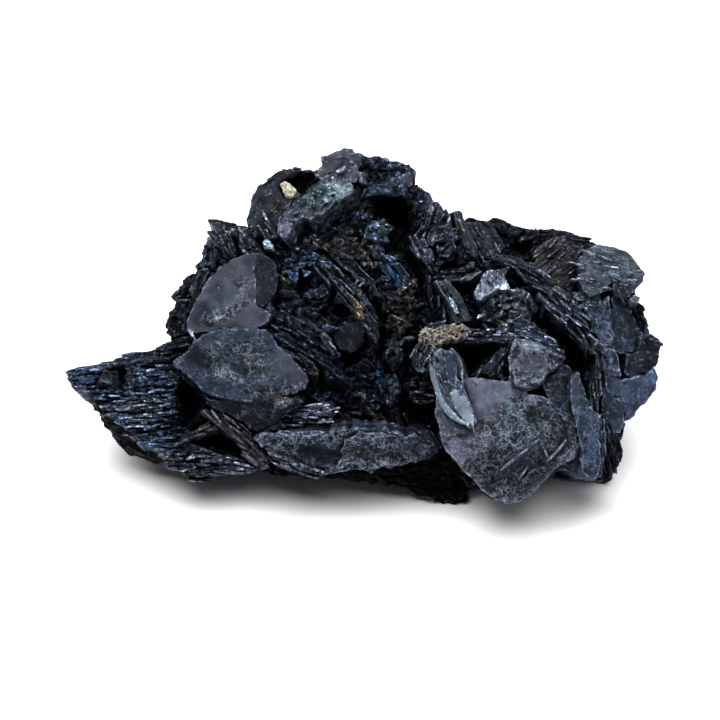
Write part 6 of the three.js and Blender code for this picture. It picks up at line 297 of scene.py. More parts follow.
# the mass behind them: near depth, far depth, near outline, far outline
MASS = [
    (9, 25.5, [-28.68,-1.59,-26.77,-9.56,-23.11,-14.66,-17.53,-15.94,-9.56,-16.89,-1.59,-17.53,6.37,-18.49,12.75,-19.12,17.53,-18.8,24.7,-19.44,29.48,-17.21,34.26,-16.89,39.2,-16.89,40.64,-11.16,44.3,-6.69,45.9,-1.59,45.42,4.78,43.35,11.95,39.04,16.57,31.87,18.8,22.31,19.76,14.34,21.04,6.37,19.76,-3.19,19.12,-12.75,18.33,-19.92,17.53,-24.7,14.34,-28.37,9.56,-29.32,4.78], [-16.53,-1.43,-15.2,-6.95,-12.66,-10.48,-8.8,-11.37,-3.27,-12.03,2.25,-12.47,7.77,-13.13,12.19,-13.58,15.5,-13.36,20.47,-13.8,23.79,-12.25,27.1,-12.03,30.52,-12.03,31.52,-8.05,34.06,-4.96,35.16,-1.43,34.83,2.99,33.4,7.96,30.41,11.17,25.44,12.71,18.82,13.37,13.29,14.26,7.77,13.37,1.14,12.93,-5.48,12.38,-10.45,11.83,-13.77,9.62,-16.31,6.31,-16.97,2.99]),
    (12.5, 20.5, [-14.49,15.78,-3.22,12.88,9.66,12.88,16.43,17.72,15.78,23.19,12.24,25.12,9.66,27.38,8.54,30.6,5.15,31.57,0.32,32.69,-3.22,33.34,-6.12,31.24,-10.47,30.28,-14.82,28.99,-17.07,25.77,-17.72,21.26], [-9.15,19.96,-2.22,18.18,5.7,18.18,9.85,21.14,9.46,24.51,7.28,25.7,5.7,27.08,5.01,29.06,2.93,29.65,-0.04,30.35,-2.22,30.74,-4,29.46,-6.67,28.86,-9.34,28.07,-10.73,26.09,-11.12,23.32]),
    (8, 16.5, [-42.9,-6.35,-40.04,-10.33,-37.81,-13.98,-35.75,-15.57,-30.98,-16.21,-27.01,-18.11,-23.04,-17.79,-21.45,-13.5,-22.24,-6.35,-24.63,1.59,-30.5,1.59,-36.54,0.48,-41.31,-0.64,-45.12,-2.54], [-39.87,-7.36,-38.11,-9.81,-36.74,-12.06,-35.47,-13.03,-32.53,-13.43,-30.09,-14.6,-27.64,-14.4,-26.67,-11.76,-27.15,-7.36,-28.62,-2.47,-32.24,-2.47,-35.96,-3.16,-38.89,-3.84,-41.24,-5.02]),
    (10.5, 30, [-24.81,-17.61,-20.01,-17.61,-12.81,-18.25,-3.2,-19.21,5.6,-19.85,9.61,-21.13,14.41,-21.45,17.61,-20.17,25.61,-20.81,28.82,-18.89,34.42,-17.61,39.38,-17.29,39.38,-10.41,28.82,-9.61,9.61,-10.41,-9.61,-10.41,-25.93,-11.53], [-21.23,-18.5,-16.86,-18.5,-10.3,-19.08,-1.55,-19.96,6.47,-20.54,10.12,-21.71,14.49,-22,17.41,-20.83,24.7,-21.41,27.61,-19.67,32.71,-18.5,37.23,-18.21,37.23,-11.94,27.61,-11.21,10.12,-11.94,-7.38,-11.94,-22.25,-12.96]),
    (7, 24, [-19.8,-16.16,-12.67,-17.11,-3.17,-18.06,6.34,-19.01,11.09,-21.22,15.21,-21.7,18.06,-19.01,25.34,-19.64,31.68,-16.79,38.65,-17.42,38.01,-12.67,31.68,-11.09,17.42,-12.67,6.34,-12.67,-9.5,-12.67,-22.97,-12.67], [-13.76,-17.03,-7.91,-17.81,-0.12,-18.59,7.68,-19.36,11.58,-21.18,14.96,-21.57,17.3,-19.36,23.28,-19.88,28.48,-17.55,34.2,-18.07,33.68,-14.17,28.48,-12.87,16.78,-14.17,7.68,-14.17,-5.31,-14.17,-16.36,-14.17]),
    (3.4, 14, [-28.2,-1.25,-25.69,-5.01,-22.71,-7.83,-17.23,-10.97,-9.4,-10.18,-3.92,-7.05,-2.35,-3.13,-4.7,3.13,-9.4,9.4,-13.78,15.35,-18.8,15.35,-22.71,12.53,-25.38,8.62,-26.32,3.92], [-28.52,-1.15,-26.06,-4.83,-23.14,-7.6,-17.76,-10.67,-10.07,-9.91,-4.69,-6.83,-3.16,-2.99,-5.46,3.16,-10.07,9.31,-14.38,15.15,-19.29,15.15,-23.14,12.38,-25.75,8.54,-26.67,3.93]),
    (1.6, 14, [-11.68,-16.04,-4.67,-17.14,3.12,-16.51,9.35,-15.58,11.84,-13.4,7.79,-11.84,-1.56,-10.9,-9.35,-10.9,-15.89,-11.84], [-11.37,-16.5,-4.6,-17.55,2.92,-16.95,8.94,-16.05,11.35,-13.94,7.43,-12.44,-1.59,-11.53,-9.12,-11.53,-15.44,-12.44]),
    (4.5, 14, [-28.92,-15.88,-25.15,-17.29,-18.86,-16.98,-14.46,-15.4,-17.29,-11.32,-21.69,-8.17,-24.21,-8.49,-27.66,-12.57], [-29.43,-16.21,-25.74,-17.59,-19.59,-17.28,-15.29,-15.74,-18.05,-11.75,-22.36,-8.67,-24.82,-8.98,-28.2,-12.98]),
    (10.5, 16, [-14.41,17.61,-9.61,15.69,-3.2,17.61,3.2,15.69,8,15.69,12.81,14.41,14.73,17.61,13.77,23.05,11.85,24.65,8.96,27.21,8,30.58,2.88,31.38,-1.6,32.98,-4.8,32.02,-6.72,29.94,-12.49,29.62,-15.69,27.69,-16.97,25.29,-16.97,22.09], [-13.96,18.21,-9.33,16.36,-3.14,18.21,3.04,16.36,7.68,16.36,12.32,15.12,14.18,18.21,13.25,23.47,11.39,25.02,8.61,27.49,7.68,30.74,2.73,31.51,-1.59,33.06,-4.69,32.13,-6.54,30.12,-12.11,29.81,-15.2,27.95,-16.44,25.63,-16.44,22.54]),
    (7.4, 14, [-13.96,9.52,-9.52,7.93,-4.76,2.38,-1.59,-3.17,-3.81,-6.34,-3.17,-11.42,6.98,-11.42,7.61,-6.34,7.93,3.17,13.64,6.34,12.69,12.69,7.93,15.54,3.17,15.54,-3.17,16.49,-9.52,17.44,-13.96,15.54], [-14.24,9.71,-9.71,8.09,-4.85,2.43,-1.62,-3.24,-3.88,-6.47,-3.24,-11.65,7.12,-11.65,7.77,-6.47,8.09,3.24,13.91,6.47,12.94,12.94,8.09,15.85,3.24,15.85,-3.24,16.83,-9.71,17.8,-14.24,15.85]),
    (9, 15, [17.53,15.62,25.5,14.34,31.87,9.56,37.61,1.59,38.25,-4.78,37.61,-9.56,36.65,-17.85,40.48,-17.53,42.71,-7.65,46.21,-3.19,46.53,1.91,44.3,4.46,40.16,9.56,43.66,12.75,42.71,16.25,38.25,18.17,28.68,20.24,20.08,21.83,14.34,23.27], [18.58,15.5,26.37,14.25,32.6,9.58,38.21,1.79,38.83,-4.44,38.21,-9.11,37.27,-17.21,41.01,-16.9,43.19,-7.24,46.62,-2.88,46.93,2.1,44.75,4.6,40.7,9.58,44.13,12.7,43.19,16.12,38.83,17.99,29.48,20.02,21.07,21.57,15.46,22.98]),
    (-0.5, 14, [13.31,-12.38,15.48,-16.09,18.26,-18.57,21.36,-20.58,24.14,-21.05,26.93,-19.34,29.09,-16.71,32.81,-15.17,33.74,-12.38,32.5,-7.74,28.63,-4.64,23.21,-3.71,17.02,-3.71,13.31,-5.57], [14.98,-12.97,17.02,-16.47,19.64,-18.8,22.56,-20.69,25.18,-21.13,27.8,-19.53,29.84,-17.05,33.33,-15.6,34.2,-12.97,33.04,-8.61,29.4,-5.69,24.3,-4.82,18.48,-4.82,14.98,-6.57]),
    (2.2, 12, [11.86,-1.56,13.42,-4.99,17.17,-3.75,21.85,-3.75,24.97,-4.37,29.65,-4.37,32.15,-1.87,31.53,1.56,29.34,4.68,24.97,5.93,23.41,3.75,17.17,4.68,11.86,4.68], [12.22,-1.61,13.83,-5.15,17.69,-3.86,22.51,-3.86,25.73,-4.5,30.55,-4.5,33.13,-1.93,32.48,1.61,30.23,4.82,25.73,6.11,24.12,3.86,17.69,4.82,12.22,4.82]),
    (6, 14, [26.84,11.84,31.58,7.9,36.63,1.58,37.58,-6.63,38.21,-3.16,37.58,3.95,30.95,11.84,25.27,15.47,19.58,15.47], [27.5,12.13,32.36,8.09,37.53,1.62,38.5,-6.79,39.15,-3.24,38.5,4.04,31.71,12.13,25.88,15.85,20.06,15.85]),
]
CLEFTS = [
    (-6, 13, [-28.29,-1.83,-28.14,-6.08,-27.68,-10.65,-26.77,-11.86,-24.94,-9.73,-23.73,-7.6,-23.12,-5.78,-24.64,-4.26,-26.46,-2.13,-27.68,-0.3], [-29.43,-3.05,-29.31,-6.44,-28.95,-10.06,-28.22,-11.03,-26.77,-9.34,-25.8,-7.65,-25.32,-6.19,-26.53,-4.98,-27.98,-3.29,-28.95,-1.84]),
    (-6, 11, [-23.12,-13.08,-20.99,-13.69,-18.86,-14.75,-17.34,-14.6,-18.25,-13.08,-19.77,-11.56,-21.29,-10.8,-23.42,-11.25,-25.55,-12.17], [-23.8,-13.71,-22.12,-14.19,-20.43,-15.03,-19.23,-14.91,-19.95,-13.71,-21.15,-12.51,-22.36,-11.9,-24.04,-12.27,-25.72,-12.99]),
    (-2, 12.8, [-11.71,27.88,-12.63,27.42,-12.78,26.19,-12.17,24.8,-11.09,24.18,-9.7,24.64,-8.47,25.88,-7.09,27.26,-6.01,28.34,-7.7,28.96,-9.55,28.8,-10.63,28.03], [-11.79,28.91,-12.52,28.55,-12.64,27.58,-12.16,26.49,-11.31,26.01,-10.22,26.37,-9.26,27.34,-8.17,28.43,-7.32,29.27,-8.65,29.76,-10.1,29.64,-10.95,29.03]),
    (-2, 17.5, [2.16,22.49,4,21.56,5.39,20.33,4.62,18.79,4.31,16.94,5.24,16.02,6.16,17.25,7.09,19.1,8.01,20.64,8.16,22.8,7.39,24.64,4.93,25.42,2.77,25.57,1.23,24.64], [3.07,23.51,4.54,22.78,5.65,21.8,5.03,20.57,4.79,19.1,5.52,18.36,6.26,19.35,6.99,20.82,7.73,22.04,7.85,23.76,7.24,25.23,5.28,25.84,3.56,25.97,2.34,25.23]),
    (-2, 12.6, [22.18,17.41,22.8,16.48,24.18,16.17,26.34,15.71,27.11,16.94,26.8,18.48,24.64,18.18,22.64,18.48], [23.83,18.16,24.31,17.43,25.4,17.19,27.09,16.83,27.69,17.8,27.45,19.01,25.76,18.76,24.19,19.01]),
    (-2, 13, [16.02,10.17,16.79,8.47,17.71,6.93,18.18,8.01,17.41,9.09,17.71,10.78,18.18,12.32,16.33,12.17,14.94,11.71], [17.04,10.59,17.64,9.26,18.37,8.05,18.73,8.9,18.13,9.75,18.37,11.08,18.73,12.29,17.28,12.16,16.19,11.8]),
    (-2, 11, [22.8,12.32,23.72,11.09,26.8,10.94,26.19,11.71,24.64,12.94,23.41,13.86], [24.2,12.78,24.92,11.82,27.32,11.7,26.84,12.3,25.64,13.26,24.68,13.98]),
    (-8, 15, [26.9,7.25,26.3,5.59,28.41,3.93,30.38,2.57,30.98,0.76,31.43,-0.6,33.1,-2.42,33.85,-5.44,34.76,-7.71,35.36,-7.25,35.21,-4.23,35.06,-0.91,34.46,1.51,33.25,2.87,31.13,4.53,29.02,6.65,27.2,8.61], [30.39,5.75,29.94,4.5,31.53,3.25,33,2.23,33.46,0.87,33.8,-0.16,35.05,-1.52,35.61,-3.79,36.3,-5.5,36.75,-5.15,36.64,-2.88,36.52,-0.38,36.07,1.43,35.16,2.46,33.57,3.71,31.98,5.3,30.62,6.77]),
    (-2, 10, [38.35,9.86,39.12,9.7,39.28,10.78,38.97,12.32,38.2,12.32], [39.91,10.53,40.51,10.41,40.63,11.25,40.39,12.44,39.79,12.44]),
    (-2, 11, [40.05,-0.92,40.51,-2.62,40.82,-0.62,41.13,1.08,39.74,0.92], [41.79,-0.83,42.15,-2.16,42.39,-0.59,42.63,0.73,41.55,0.61]),
    (-6, 13, [15.36,0.61,16.12,-0.91,16.58,-2.43,18.1,-1.06,19.62,0.76,20.84,2.43,17.95,2.28,15.21,2.28], [16.85,0.61,17.46,-0.59,17.82,-1.8,19.03,-0.72,20.24,0.74,21.21,2.07,18.91,1.95,16.73,1.95]),
    (-6, 9, [21.9,-1.83,22.66,-3.5,23.12,-3.19,22.81,-0.91,23.27,1.22,22.81,1.67,21.75,-0.15], [23.14,-1.68,23.73,-3,24.09,-2.76,23.85,-0.97,24.21,0.71,23.85,1.06,23.02,-0.37]),
    (-2, 12, [-4.93,15.1,-3.08,13.55,-1.23,12.01,-0.31,12.48,-2.16,14.17,-3.85,15.71,-5.24,16.02], [-4.63,15.51,-3.19,14.31,-1.74,13.1,-1.02,13.46,-2.46,14.79,-3.79,16,-4.88,16.24]),
    (-2, 14, [-4.77,6.78,-3.7,5.7,-1.85,6.01,-0.31,6.78,-1.08,8.32,-2.46,9.4,-4.47,8.93], [-4.46,7.29,-3.61,6.44,-2.16,6.68,-0.94,7.29,-1.55,8.5,-2.64,9.35,-4.22,8.98]),
    (-2, 11, [-3.23,-0.46,-1.85,-1.23,0,-0.62,0.31,1.23,-1.54,0.77,-3.7,0.92], [-2.96,-0.33,-1.88,-0.94,-0.43,-0.45,-0.19,0.99,-1.64,0.63,-3.32,0.75]),
    (-2, 15, [6.32,16.94,6.47,15.4,7.55,13.86,8.78,11.71,9.4,9.55,10.32,9.55,10.47,12.01,9.86,14.17,8.78,15.87,7.7,18.02], [7.25,17,7.37,15.78,8.22,14.56,9.19,12.86,9.68,11.16,10.41,11.16,10.53,13.1,10.04,14.81,9.19,16.15,8.34,17.85]),
    (-2, 12, [2.77,3.08,2.46,0.62,3.23,-0.92,3.85,1.54,4.31,3.85,3.85,6.16,2.93,6.47], [3.04,3.19,2.8,1.26,3.41,0.05,3.89,1.98,4.25,3.79,3.89,5.6,3.16,5.84]),
    (-4, 12, [6.89,-0.92,6.43,-5.82,5.82,-9.8,6.73,-11.02,7.04,-8.27,7.35,-5.82,7.5,-1.84,7.5,2.45,6.89,3.37], [7.24,-1.82,6.88,-5.68,6.4,-8.82,7.12,-9.78,7.36,-7.61,7.6,-5.68,7.72,-2.55,7.72,0.83,7.24,1.55]),
    (-2, 7, [-37.12,-3.7,-36.2,-4,-36.04,-2.16,-36.35,-0.77,-37.43,-1.39], [-38.05,-3.47,-37.33,-3.71,-37.21,-2.28,-37.45,-1.21,-38.28,-1.69]),
    (-2, 12, [-9.86,12.01,-10.32,9.86,-9.55,9.24,-8.63,10.47,-8.16,12.32,-8.63,14.48,-9.86,15.1], [-10.14,12.52,-10.5,10.83,-9.9,10.35,-9.18,11.31,-8.82,12.76,-9.18,14.45,-10.14,14.93]),
    (-6, 6, [-13.08,2.43,-11.56,1.52,-9.73,0.61,-8.52,0.61,-9.73,1.83,-11.86,2.43,-13.69,3.65], [-13.08,2.38,-11.9,1.67,-10.48,0.96,-9.53,0.96,-10.48,1.91,-12.14,2.38,-13.56,3.33]),
    (-2, 11, [-4.62,8.01,-3.7,9.24,-3.39,10.78,-4.31,11.71,-4.62,9.86,-5.85,8.63], [-4.76,8.78,-4.03,9.74,-3.79,10.94,-4.52,11.66,-4.76,10.22,-5.72,9.26]),
    (-4, 10, [-3.37,-8.57,-1.53,-8.88,1.84,-9.49,3.67,-9.18,1.53,-8.27,-1.22,-8.27,-3.37,-6.73], [-2.73,-8.93,-1.29,-9.17,1.35,-9.65,2.79,-9.41,1.11,-8.69,-1.05,-8.69,-2.73,-7.49]),
]
# slivers and broken bits between the crystals: x, depth, z, normal x, normal z, grain, length, width, thickness, tint,
# brightness; those at the bottom with tint 7 and brightness 0.01–0.03 are near black: painted shade under the specimen
SHARDS = [
    (4.17,5.69,12.88,0.14,0.23,-10,1.41,0.91,1.57,6,0.46),
    (4.6,3.82,1.15,0.35,0.37,-36,2.92,1.17,1.06,0,0.13),
    (18,9.19,9.44,0.42,0.25,-1,2.61,0.76,1.31,1,0.34),
    (-3.97,0.15,-1,0.02,0.64,-48,2.93,0.32,1.52,1,0.12),
    (-1.65,4.34,-4.15,0.2,0.34,21,3.18,1.49,1.32,3,0.15),
    (0.46,7.61,24.4,0.24,0.39,32,2.46,0.74,1.61,0,0.26),
    (-10.54,7.24,20.68,0,0.21,-56,3.21,0.46,1.33,0,0.18),
    (-36.62,5.73,-2.46,-0.05,0.33,-1,1.78,0.33,1.48,1,0.29),
    (-1.07,7.13,16.02,0.45,-0.1,16,3.45,0.95,1.62,3,0.7),
    (2.51,4.28,-18.03,-0.39,-0.85,-112,2.33,0.68,1.73,7,0.03),
    (2.47,7.5,13.53,0.01,-0.2,-41,2.11,0.72,1.2,1,0.18),
    (12.49,5.6,-17.65,-0.3,-1.05,-80,3.74,0.95,1.82,7,0.01),
    (-1.29,7.36,23.69,-0.3,-0.15,51,3.62,1.47,1.02,6,0.16),
    (-36.49,4,-9,-0.08,0.23,7,4.17,0.32,1.53,1,0.7),
    (-12.92,3.47,7.54,-0.37,-0.32,-124,2.52,1.41,1.55,0,0.23),
    (-32.98,5.25,-1.59,-0.21,0.23,3,1.76,0.43,1.25,6,0.7),
    (1.92,3.75,-5.77,0.12,0,-100,2.69,1.44,1.8,1,0.15),
    (-27.25,5.49,8.2,-0.6,0.41,-90,2.51,0.86,1.71,0,0.18),
    (5.85,3.87,8.56,0.03,1.03,8,3.11,0.99,1.04,2,0.11),
    (27.4,9.19,18.51,0.53,-0.23,18,1.68,0.89,1.51,1,0.34),
    (-39.55,4.4,-8.52,-0.06,0.21,5,3.79,0.47,1.14,6,0.58),
    (-4.34,6.93,18.8,-0.24,-0.02,-10,4.09,1.47,1.16,3,0.42),
    (-22.56,-0.15,-10.38,-0.25,0.16,26,3.13,0.37,1.14,4,0.66),
    (10.01,9.24,-10,-0.1,0.56,-37,3.39,0.97,1.74,1,0.34),
    (8.71,5.22,-17.2,-0.43,-0.33,-41,1.97,0.48,1.5,7,0.01),
    (1.08,7.67,3.22,-0.02,-0.16,8,3.21,0.52,1.18,1,0.14),
    (-1.18,3.94,-5.26,-0.47,0.38,-29,3.16,0.53,1.12,1,0.15),
    (-0.87,7.39,6.05,0.08,0.49,5,4.12,0.55,1.69,1,0.23),
    (-1.77,6.88,17.28,0.19,-0.52,32,4.18,1.49,1.13,3,0.21),
    (36.71,0.66,-6.31,0.11,0.1,-74,3.93,0.39,1.65,2,0.55),
    (-7.13,6.08,12.3,0.16,0.36,101,2.28,0.87,1.06,1,0.2),
    (15.55,-4.94,-2.42,-0.27,0.31,-82,4.12,0.38,1.73,2,0.7),
    (14.36,4.39,17.35,0.24,-0.01,46,1.67,0.95,1.21,6,0.38),
    (-35.05,5.33,-2.97,-0.2,0.22,8,2.9,0.46,1.49,1,0.7),
    (-10.11,0.67,-8.7,0.17,-0.1,5,2.9,0.41,1.35,6,0.7),
    (-38.34,5.52,-10.6,-0.1,-0.66,-20,1.93,0.41,1.39,4,0.16),
    (3.29,7.42,2.54,0.06,0.34,-4,3.18,0.51,1.38,0,0.18),
    (-28.1,5.85,7.2,-0.03,0.25,3,2.07,1.38,1.82,0,0.18),
    (-7.15,3.63,-6.74,0.34,0.2,59,3.36,0.78,1.47,1,0.14),
    (26.41,9.06,16.3,-0.06,-0.12,19,3.63,0.54,1.66,6,0.14),
    (-1.61,4.89,-2.31,0.48,-0.38,10,2.47,0.84,1.81,1,0.12),
    (-16.44,4.08,17.93,-0.26,0.02,-52,3.56,0.48,1.86,3,0.34),
    (-9.95,6.83,19.49,0.07,0.28,-75,3.99,0.64,1.3,0,0.18),
    (20.39,2.73,8.16,-0.26,-0.5,-15,2.51,1.1,1.26,2,0.35),
    (-20.05,6.18,18.5,0.17,-0.05,-127,1.84,0.7,1.89,2,0.15),
    (1.48,6.78,20.61,0.26,0.19,65,3.64,1.14,1.82,1,0.36),
    (-25.88,6.04,12.72,-0.33,0.1,52,3.16,0.42,1.28,0,0.35),
    (-27.39,8.06,-11.74,0.27,0.3,-94,2.89,0.52,1.24,0,0.14),
    (7.65,5.26,-19.17,-0.21,-0.69,-16,2.31,0.62,1.27,7,0.01),
    (11.79,-5.43,-1.3,0.11,0.16,-62,2.83,0.4,1.87,6,0.7),
    (-11.56,1.48,4.94,0.16,0.31,-18,2.81,0.38,1.06,1,0.3),
    (-12.47,3.64,12.82,-0.05,0.02,-32,3.63,0.98,1.59,3,0.34),
    (28.08,-0.47,-5.32,-0.24,0.1,-2,3.72,1.09,1.87,6,0.14),
    (28.64,9.1,18.86,0.56,-0.59,3,3.53,0.5,1.57,0,0.18),
    (8.13,7.59,13.26,-0.37,0.7,37,1.81,1.23,1.2,1,0.09),
    (-0.31,4.93,-1.22,-0.26,0.1,2,1.43,0.51,1.53,1,0.28),
    (9.3,9.3,22.34,-0.12,0.31,6,1.69,1.43,1.7,1,0.26),
    (-8.49,6.68,18.73,-0.39,-0.02,-16,1.33,1.13,1.47,0,0.29),
    (-10.91,3.42,8.76,-0.07,0.36,-19,3.2,0.63,1.83,0,0.18),
    (4.24,7.6,6.84,0.84,0.24,-28,2.84,0.46,1.53,1,0.14),
    (3.96,3.81,-4.15,-0.49,0.12,-59,3.36,0.85,1.57,0,0.14),
    (-11.67,5.89,15.45,0.28,-0.38,15,4.1,0.98,1.31,1,0.34),
    (19.68,-1,2.98,-0.03,0.62,-3,3.73,0.32,1.09,3,0.21),
    (8.24,9.55,24.98,0.17,0.5,-3,3.66,1.44,1.89,1,0.16),
    (-5.92,1.5,2.61,0.05,-0.13,5,4.04,0.58,1.29,1,0.14),
    (-23.07,6.31,15.14,-0.55,0.39,-82,2.81,0.62,1.18,1,0.14),
    (-17.77,3.6,16.67,0.04,0.18,-43,2.33,0.47,1.45,2,0.55),
    (13.25,4.91,7.29,-0.01,-0.22,-84,3.17,0.37,1.58,0,0.49),
    (15.24,7.19,-16.43,-0.35,0.36,-78,1.96,0.64,1.36,0,0.23),
    (33.34,1.69,6.12,0.09,0.11,-38,3.83,0.39,1.35,0,0.5),
    (2.83,5.19,10.31,-0.07,0.11,-43,3.28,0.86,1.23,0,0.24),
    (44.74,9.22,7.45,0.55,0.36,-3,1.78,1.43,1.57,1,0.14),
    (21.83,7.49,17.8,0.26,0.17,-65,2.71,0.42,1.71,2,0.49),
    (26.68,3.6,13.89,0.2,0.63,-42,3.95,0.45,1.8,0,0.21),
    (3.71,7.48,-8.66,0.26,0.12,-130,2.91,0.73,1.13,0,0.23),
    (12.73,8.96,14.57,-0.41,0.17,45,3.8,0.83,1.38,1,0.18),
    (1.15,9.17,18.44,-0.04,-0.04,-56,3.2,1.28,1.5,0,0.09),
    (7.08,7.36,0.74,-0.63,0.01,-14,3.95,0.97,1.36,6,0.34),
    (7.26,3.81,7.97,-0.77,0.06,12,2.36,1.23,1.64,3,0.22),
    (10.38,5.25,-17.39,0.32,-0.55,-30,3.64,0.75,1.83,7,0.02),
    (-8.7,1.52,3.95,0.07,0.46,-35,2.92,0.32,1.51,1,0.23),
    (14.11,6.88,-20.94,-0.19,0.16,-40,3.24,0.86,1.85,2,0.14),
    (9.21,4.02,8.52,-0.31,-0.11,26,2.38,0.86,1.8,3,0.18),
    (40.87,4.91,11.74,0.17,0.07,-55,1.8,0.49,1.66,6,0.5),
    (37.27,3.6,8.64,0.29,-0.06,38,2.02,0.48,1.29,5,0.55),
    (37.51,1,-4.34,0.1,0.17,-87,2.84,0.34,1.83,2,0.42),
    (34.78,2.03,5.54,0.14,0.35,-36,3.87,0.34,1.52,0,0.4),
    (22.38,2.83,8.19,0.01,0.15,68,3.63,0.59,1.5,2,0.56),
    (-21.65,4.72,-14.02,-0.29,0.01,-61,1.99,0.92,1.53,1,0.09),
    (4.73,6.92,20.85,-0.23,0.28,17,1.96,1.15,1.35,1,0.23),
    (-43.19,6.06,-2.88,-0.17,0.2,1,3.01,0.48,1.04,1,0.7),
    (9.32,6.29,-19.5,0.62,-1.05,-12,2.58,0.99,1.22,7,0.01),
    (33.18,9.03,-1.08,-0.21,-0.32,-52,1.88,1.2,1.2,2,0.18),
    (1.96,5.68,11.88,-0.41,0.64,-52,3,0.46,1.24,0,0.46),
    (5.57,3.47,-0.84,0.41,-0.25,-84,2.8,1.33,1.6,0,0.21),
    (-7.52,10.36,28.26,0.25,0.33,28,2.49,1.03,1.25,1,0.23),
    (-10.49,6.36,16.66,-0.24,0.07,-46,2.56,0.85,1.86,0,0.38),
    (-27.08,5.33,9.4,0.02,0.08,-1,3.94,0.46,1.48,0,0.42),
    (-9.62,5.21,13.31,-0.18,0.05,20,4.05,1.16,1.84,1,0.7),
    (-29.7,4.46,-3.68,-0.37,0.24,2,2.49,0.49,1.46,1,0.7),
    (1.26,7.68,23.16,0.44,0.6,46,3.05,0.82,1.28,1,0.26),
    (0.59,7.45,2.18,-1.14,-0.13,-5,2.07,1.13,1.47,6,0.34),
    (-0.12,7.6,7.1,0.26,-0.07,-62,3.19,1.17,1.77,1,0.14),
    (-8.88,0.64,-9.72,0.01,0.06,4,1.74,0.33,1.81,6,0.7),
    (44.62,8.91,5.51,-0.08,0.15,37,2.43,1.2,1.22,6,0.09),
    (-10.06,7.59,10.8,0.15,-0.18,39,1.49,0.58,1.21,1,0.23),
    (-31.52,4.15,-6.52,0.09,0.34,1,1.93,0.38,1.36,1,0.58),
    (12.54,-5.68,0.57,-0.03,-0.02,-75,2.84,0.32,1.4,5,0.7),
    (12.87,4.48,-15.47,-0.03,-0.81,-35,2.36,1.29,1.22,7,0.01),
    (19.71,9.28,9.4,0.4,0.51,-33,2.78,1.42,1.87,1,0.14),
    (-12.54,3.59,10.19,0.28,-0.02,-30,1.7,1.19,1.32,6,0.14),
    (5.32,4.33,-9.63,-0.17,0.04,-75,3.33,0.41,1.01,4,0.09),
    (38.05,5.06,16.37,0.44,0.23,-16,2.02,0.38,1.08,3,0.33),
    (-0.26,3.34,8.9,0.23,0.33,-52,3.01,0.28,1.07,8,0.62),
    (10.57,8.93,-2.04,0.19,-0.67,-31,1.7,1.12,1.34,6,0.14),
    (4.08,7.34,-1.98,-0.11,0.01,-43,1.75,0.87,1.51,1,0.34),
    (4.65,3.48,-5.99,-0.84,-0.14,-89,2.94,1.34,1.64,0,0.53),
    (6.71,4.69,-10.47,0.01,0.1,-81,3.62,0.29,1.41,4,0.34),
    (-23.58,6.67,13.56,-0.52,0.3,-62,4.17,0.91,1.5,0,0.28),
    (-9.26,2.57,6.53,0.43,-0.03,-94,3.75,0.86,1.28,1,0.28),
    (36.67,9.14,-1.01,-0.4,1.07,-74,1.72,0.85,1.81,1,0.09),
    (-6.08,0.92,1.09,0.16,0.63,-30,3.66,0.45,1.69,1,0.12),
    (14.02,6.37,-18.98,0.34,-0.97,-39,3.47,1.13,1.78,7,0.01),
    (11.56,9.29,-10.67,0.64,-0.15,-45,4.16,0.87,1.28,1,0.34),
    (-26.36,3.63,3.5,-0.27,-0.19,-79,2.35,0.81,1.23,1,0.14),
    (-24.62,2.58,-9.36,0.47,0.45,-116,1.38,0.59,1.23,0,0.06),
    (10.9,8.99,-8.45,-0.39,-0.21,-19,3.78,1.27,1.82,6,0.23),
    (38.37,3.58,11.47,0.19,0.29,-11,3.65,0.29,1.32,5,0.7),
    (-21.17,5.63,15.16,-0.35,-0.71,-34,2.12,0.8,1.29,0,0.28),
    (10.98,6.37,-19.18,-0.13,-0.37,32,2.04,1.09,1.08,7,0.01),
    (21.43,9.09,10.69,-0.19,-0.33,-28,2.58,1.15,1.49,6,0.34),
    (16.32,6.49,-19.05,0.41,-1.11,-66,3.52,0.73,1.43,7,0.02),
    (-4.02,7.6,6.48,-0.55,-0.18,24,1.73,1.16,1.34,1,0.34),
    (-29.36,3.57,-7.21,-0.08,0.21,9,2.44,0.33,1.38,1,0.29),
    (16.42,5.93,14.96,0.35,-0.73,-9,2.4,1,1.84,3,0.12),
    (16.28,6.14,16.72,-0.02,-0.26,-42,2.44,1.38,1.77,0,0.33),
    (6.95,7.5,15.37,0.6,0.25,14,2.15,1.2,1.05,6,0.14),
    (-5.43,3.62,-2.73,0.41,0.3,29,1.44,1.36,1.65,1,0.23),
    (2.31,4.34,7.14,0.32,0.27,-48,2.18,0.46,1.12,0,0.19),
    (21.38,4.16,16.01,0.24,0.4,-43,3.03,0.33,1.14,0,0.21),
    (3.13,10.68,30.05,0,0.29,14,3.57,1.38,1.68,1,0.34),
    (-17.68,4.23,18.75,-0.12,0.32,-57,2.22,0.31,1.46,1,0.34),
    (-8.41,10.38,22.46,0.18,0.15,-40,3.83,0.98,1.67,6,0.34),
    (-6.34,3.6,-1.88,0.36,0.45,52,1.62,1.05,1.46,1,0.34),
    (3.22,7.52,15,0.19,0.41,-1,1.48,1.36,1.61,3,0.34),
    (31.21,2.48,10.46,0.13,0.39,-41,3.3,0.46,1.54,3,0.5),
    (-1.53,3.92,10.24,0.2,0.37,-45,1.82,0.37,1.8,8,0.62),
    (-7.84,1.4,2.99,0,0.6,-38,2.16,0.42,1.33,1,0.23),
    (17.92,2.36,1.91,0.18,0.1,-102,3.88,1.22,1.8,1,0.09),
    (-19.45,-1.42,-9.57,0.34,0.08,-44,3.02,0.37,1.88,4,0.55),
    (0.39,10.57,31.46,-0.15,0.37,27,1.88,1.3,1.87,1,0.09),
    (12.19,6.17,-19.27,-0.14,-0.32,-11,2.47,1.17,1.24,7,0.01),
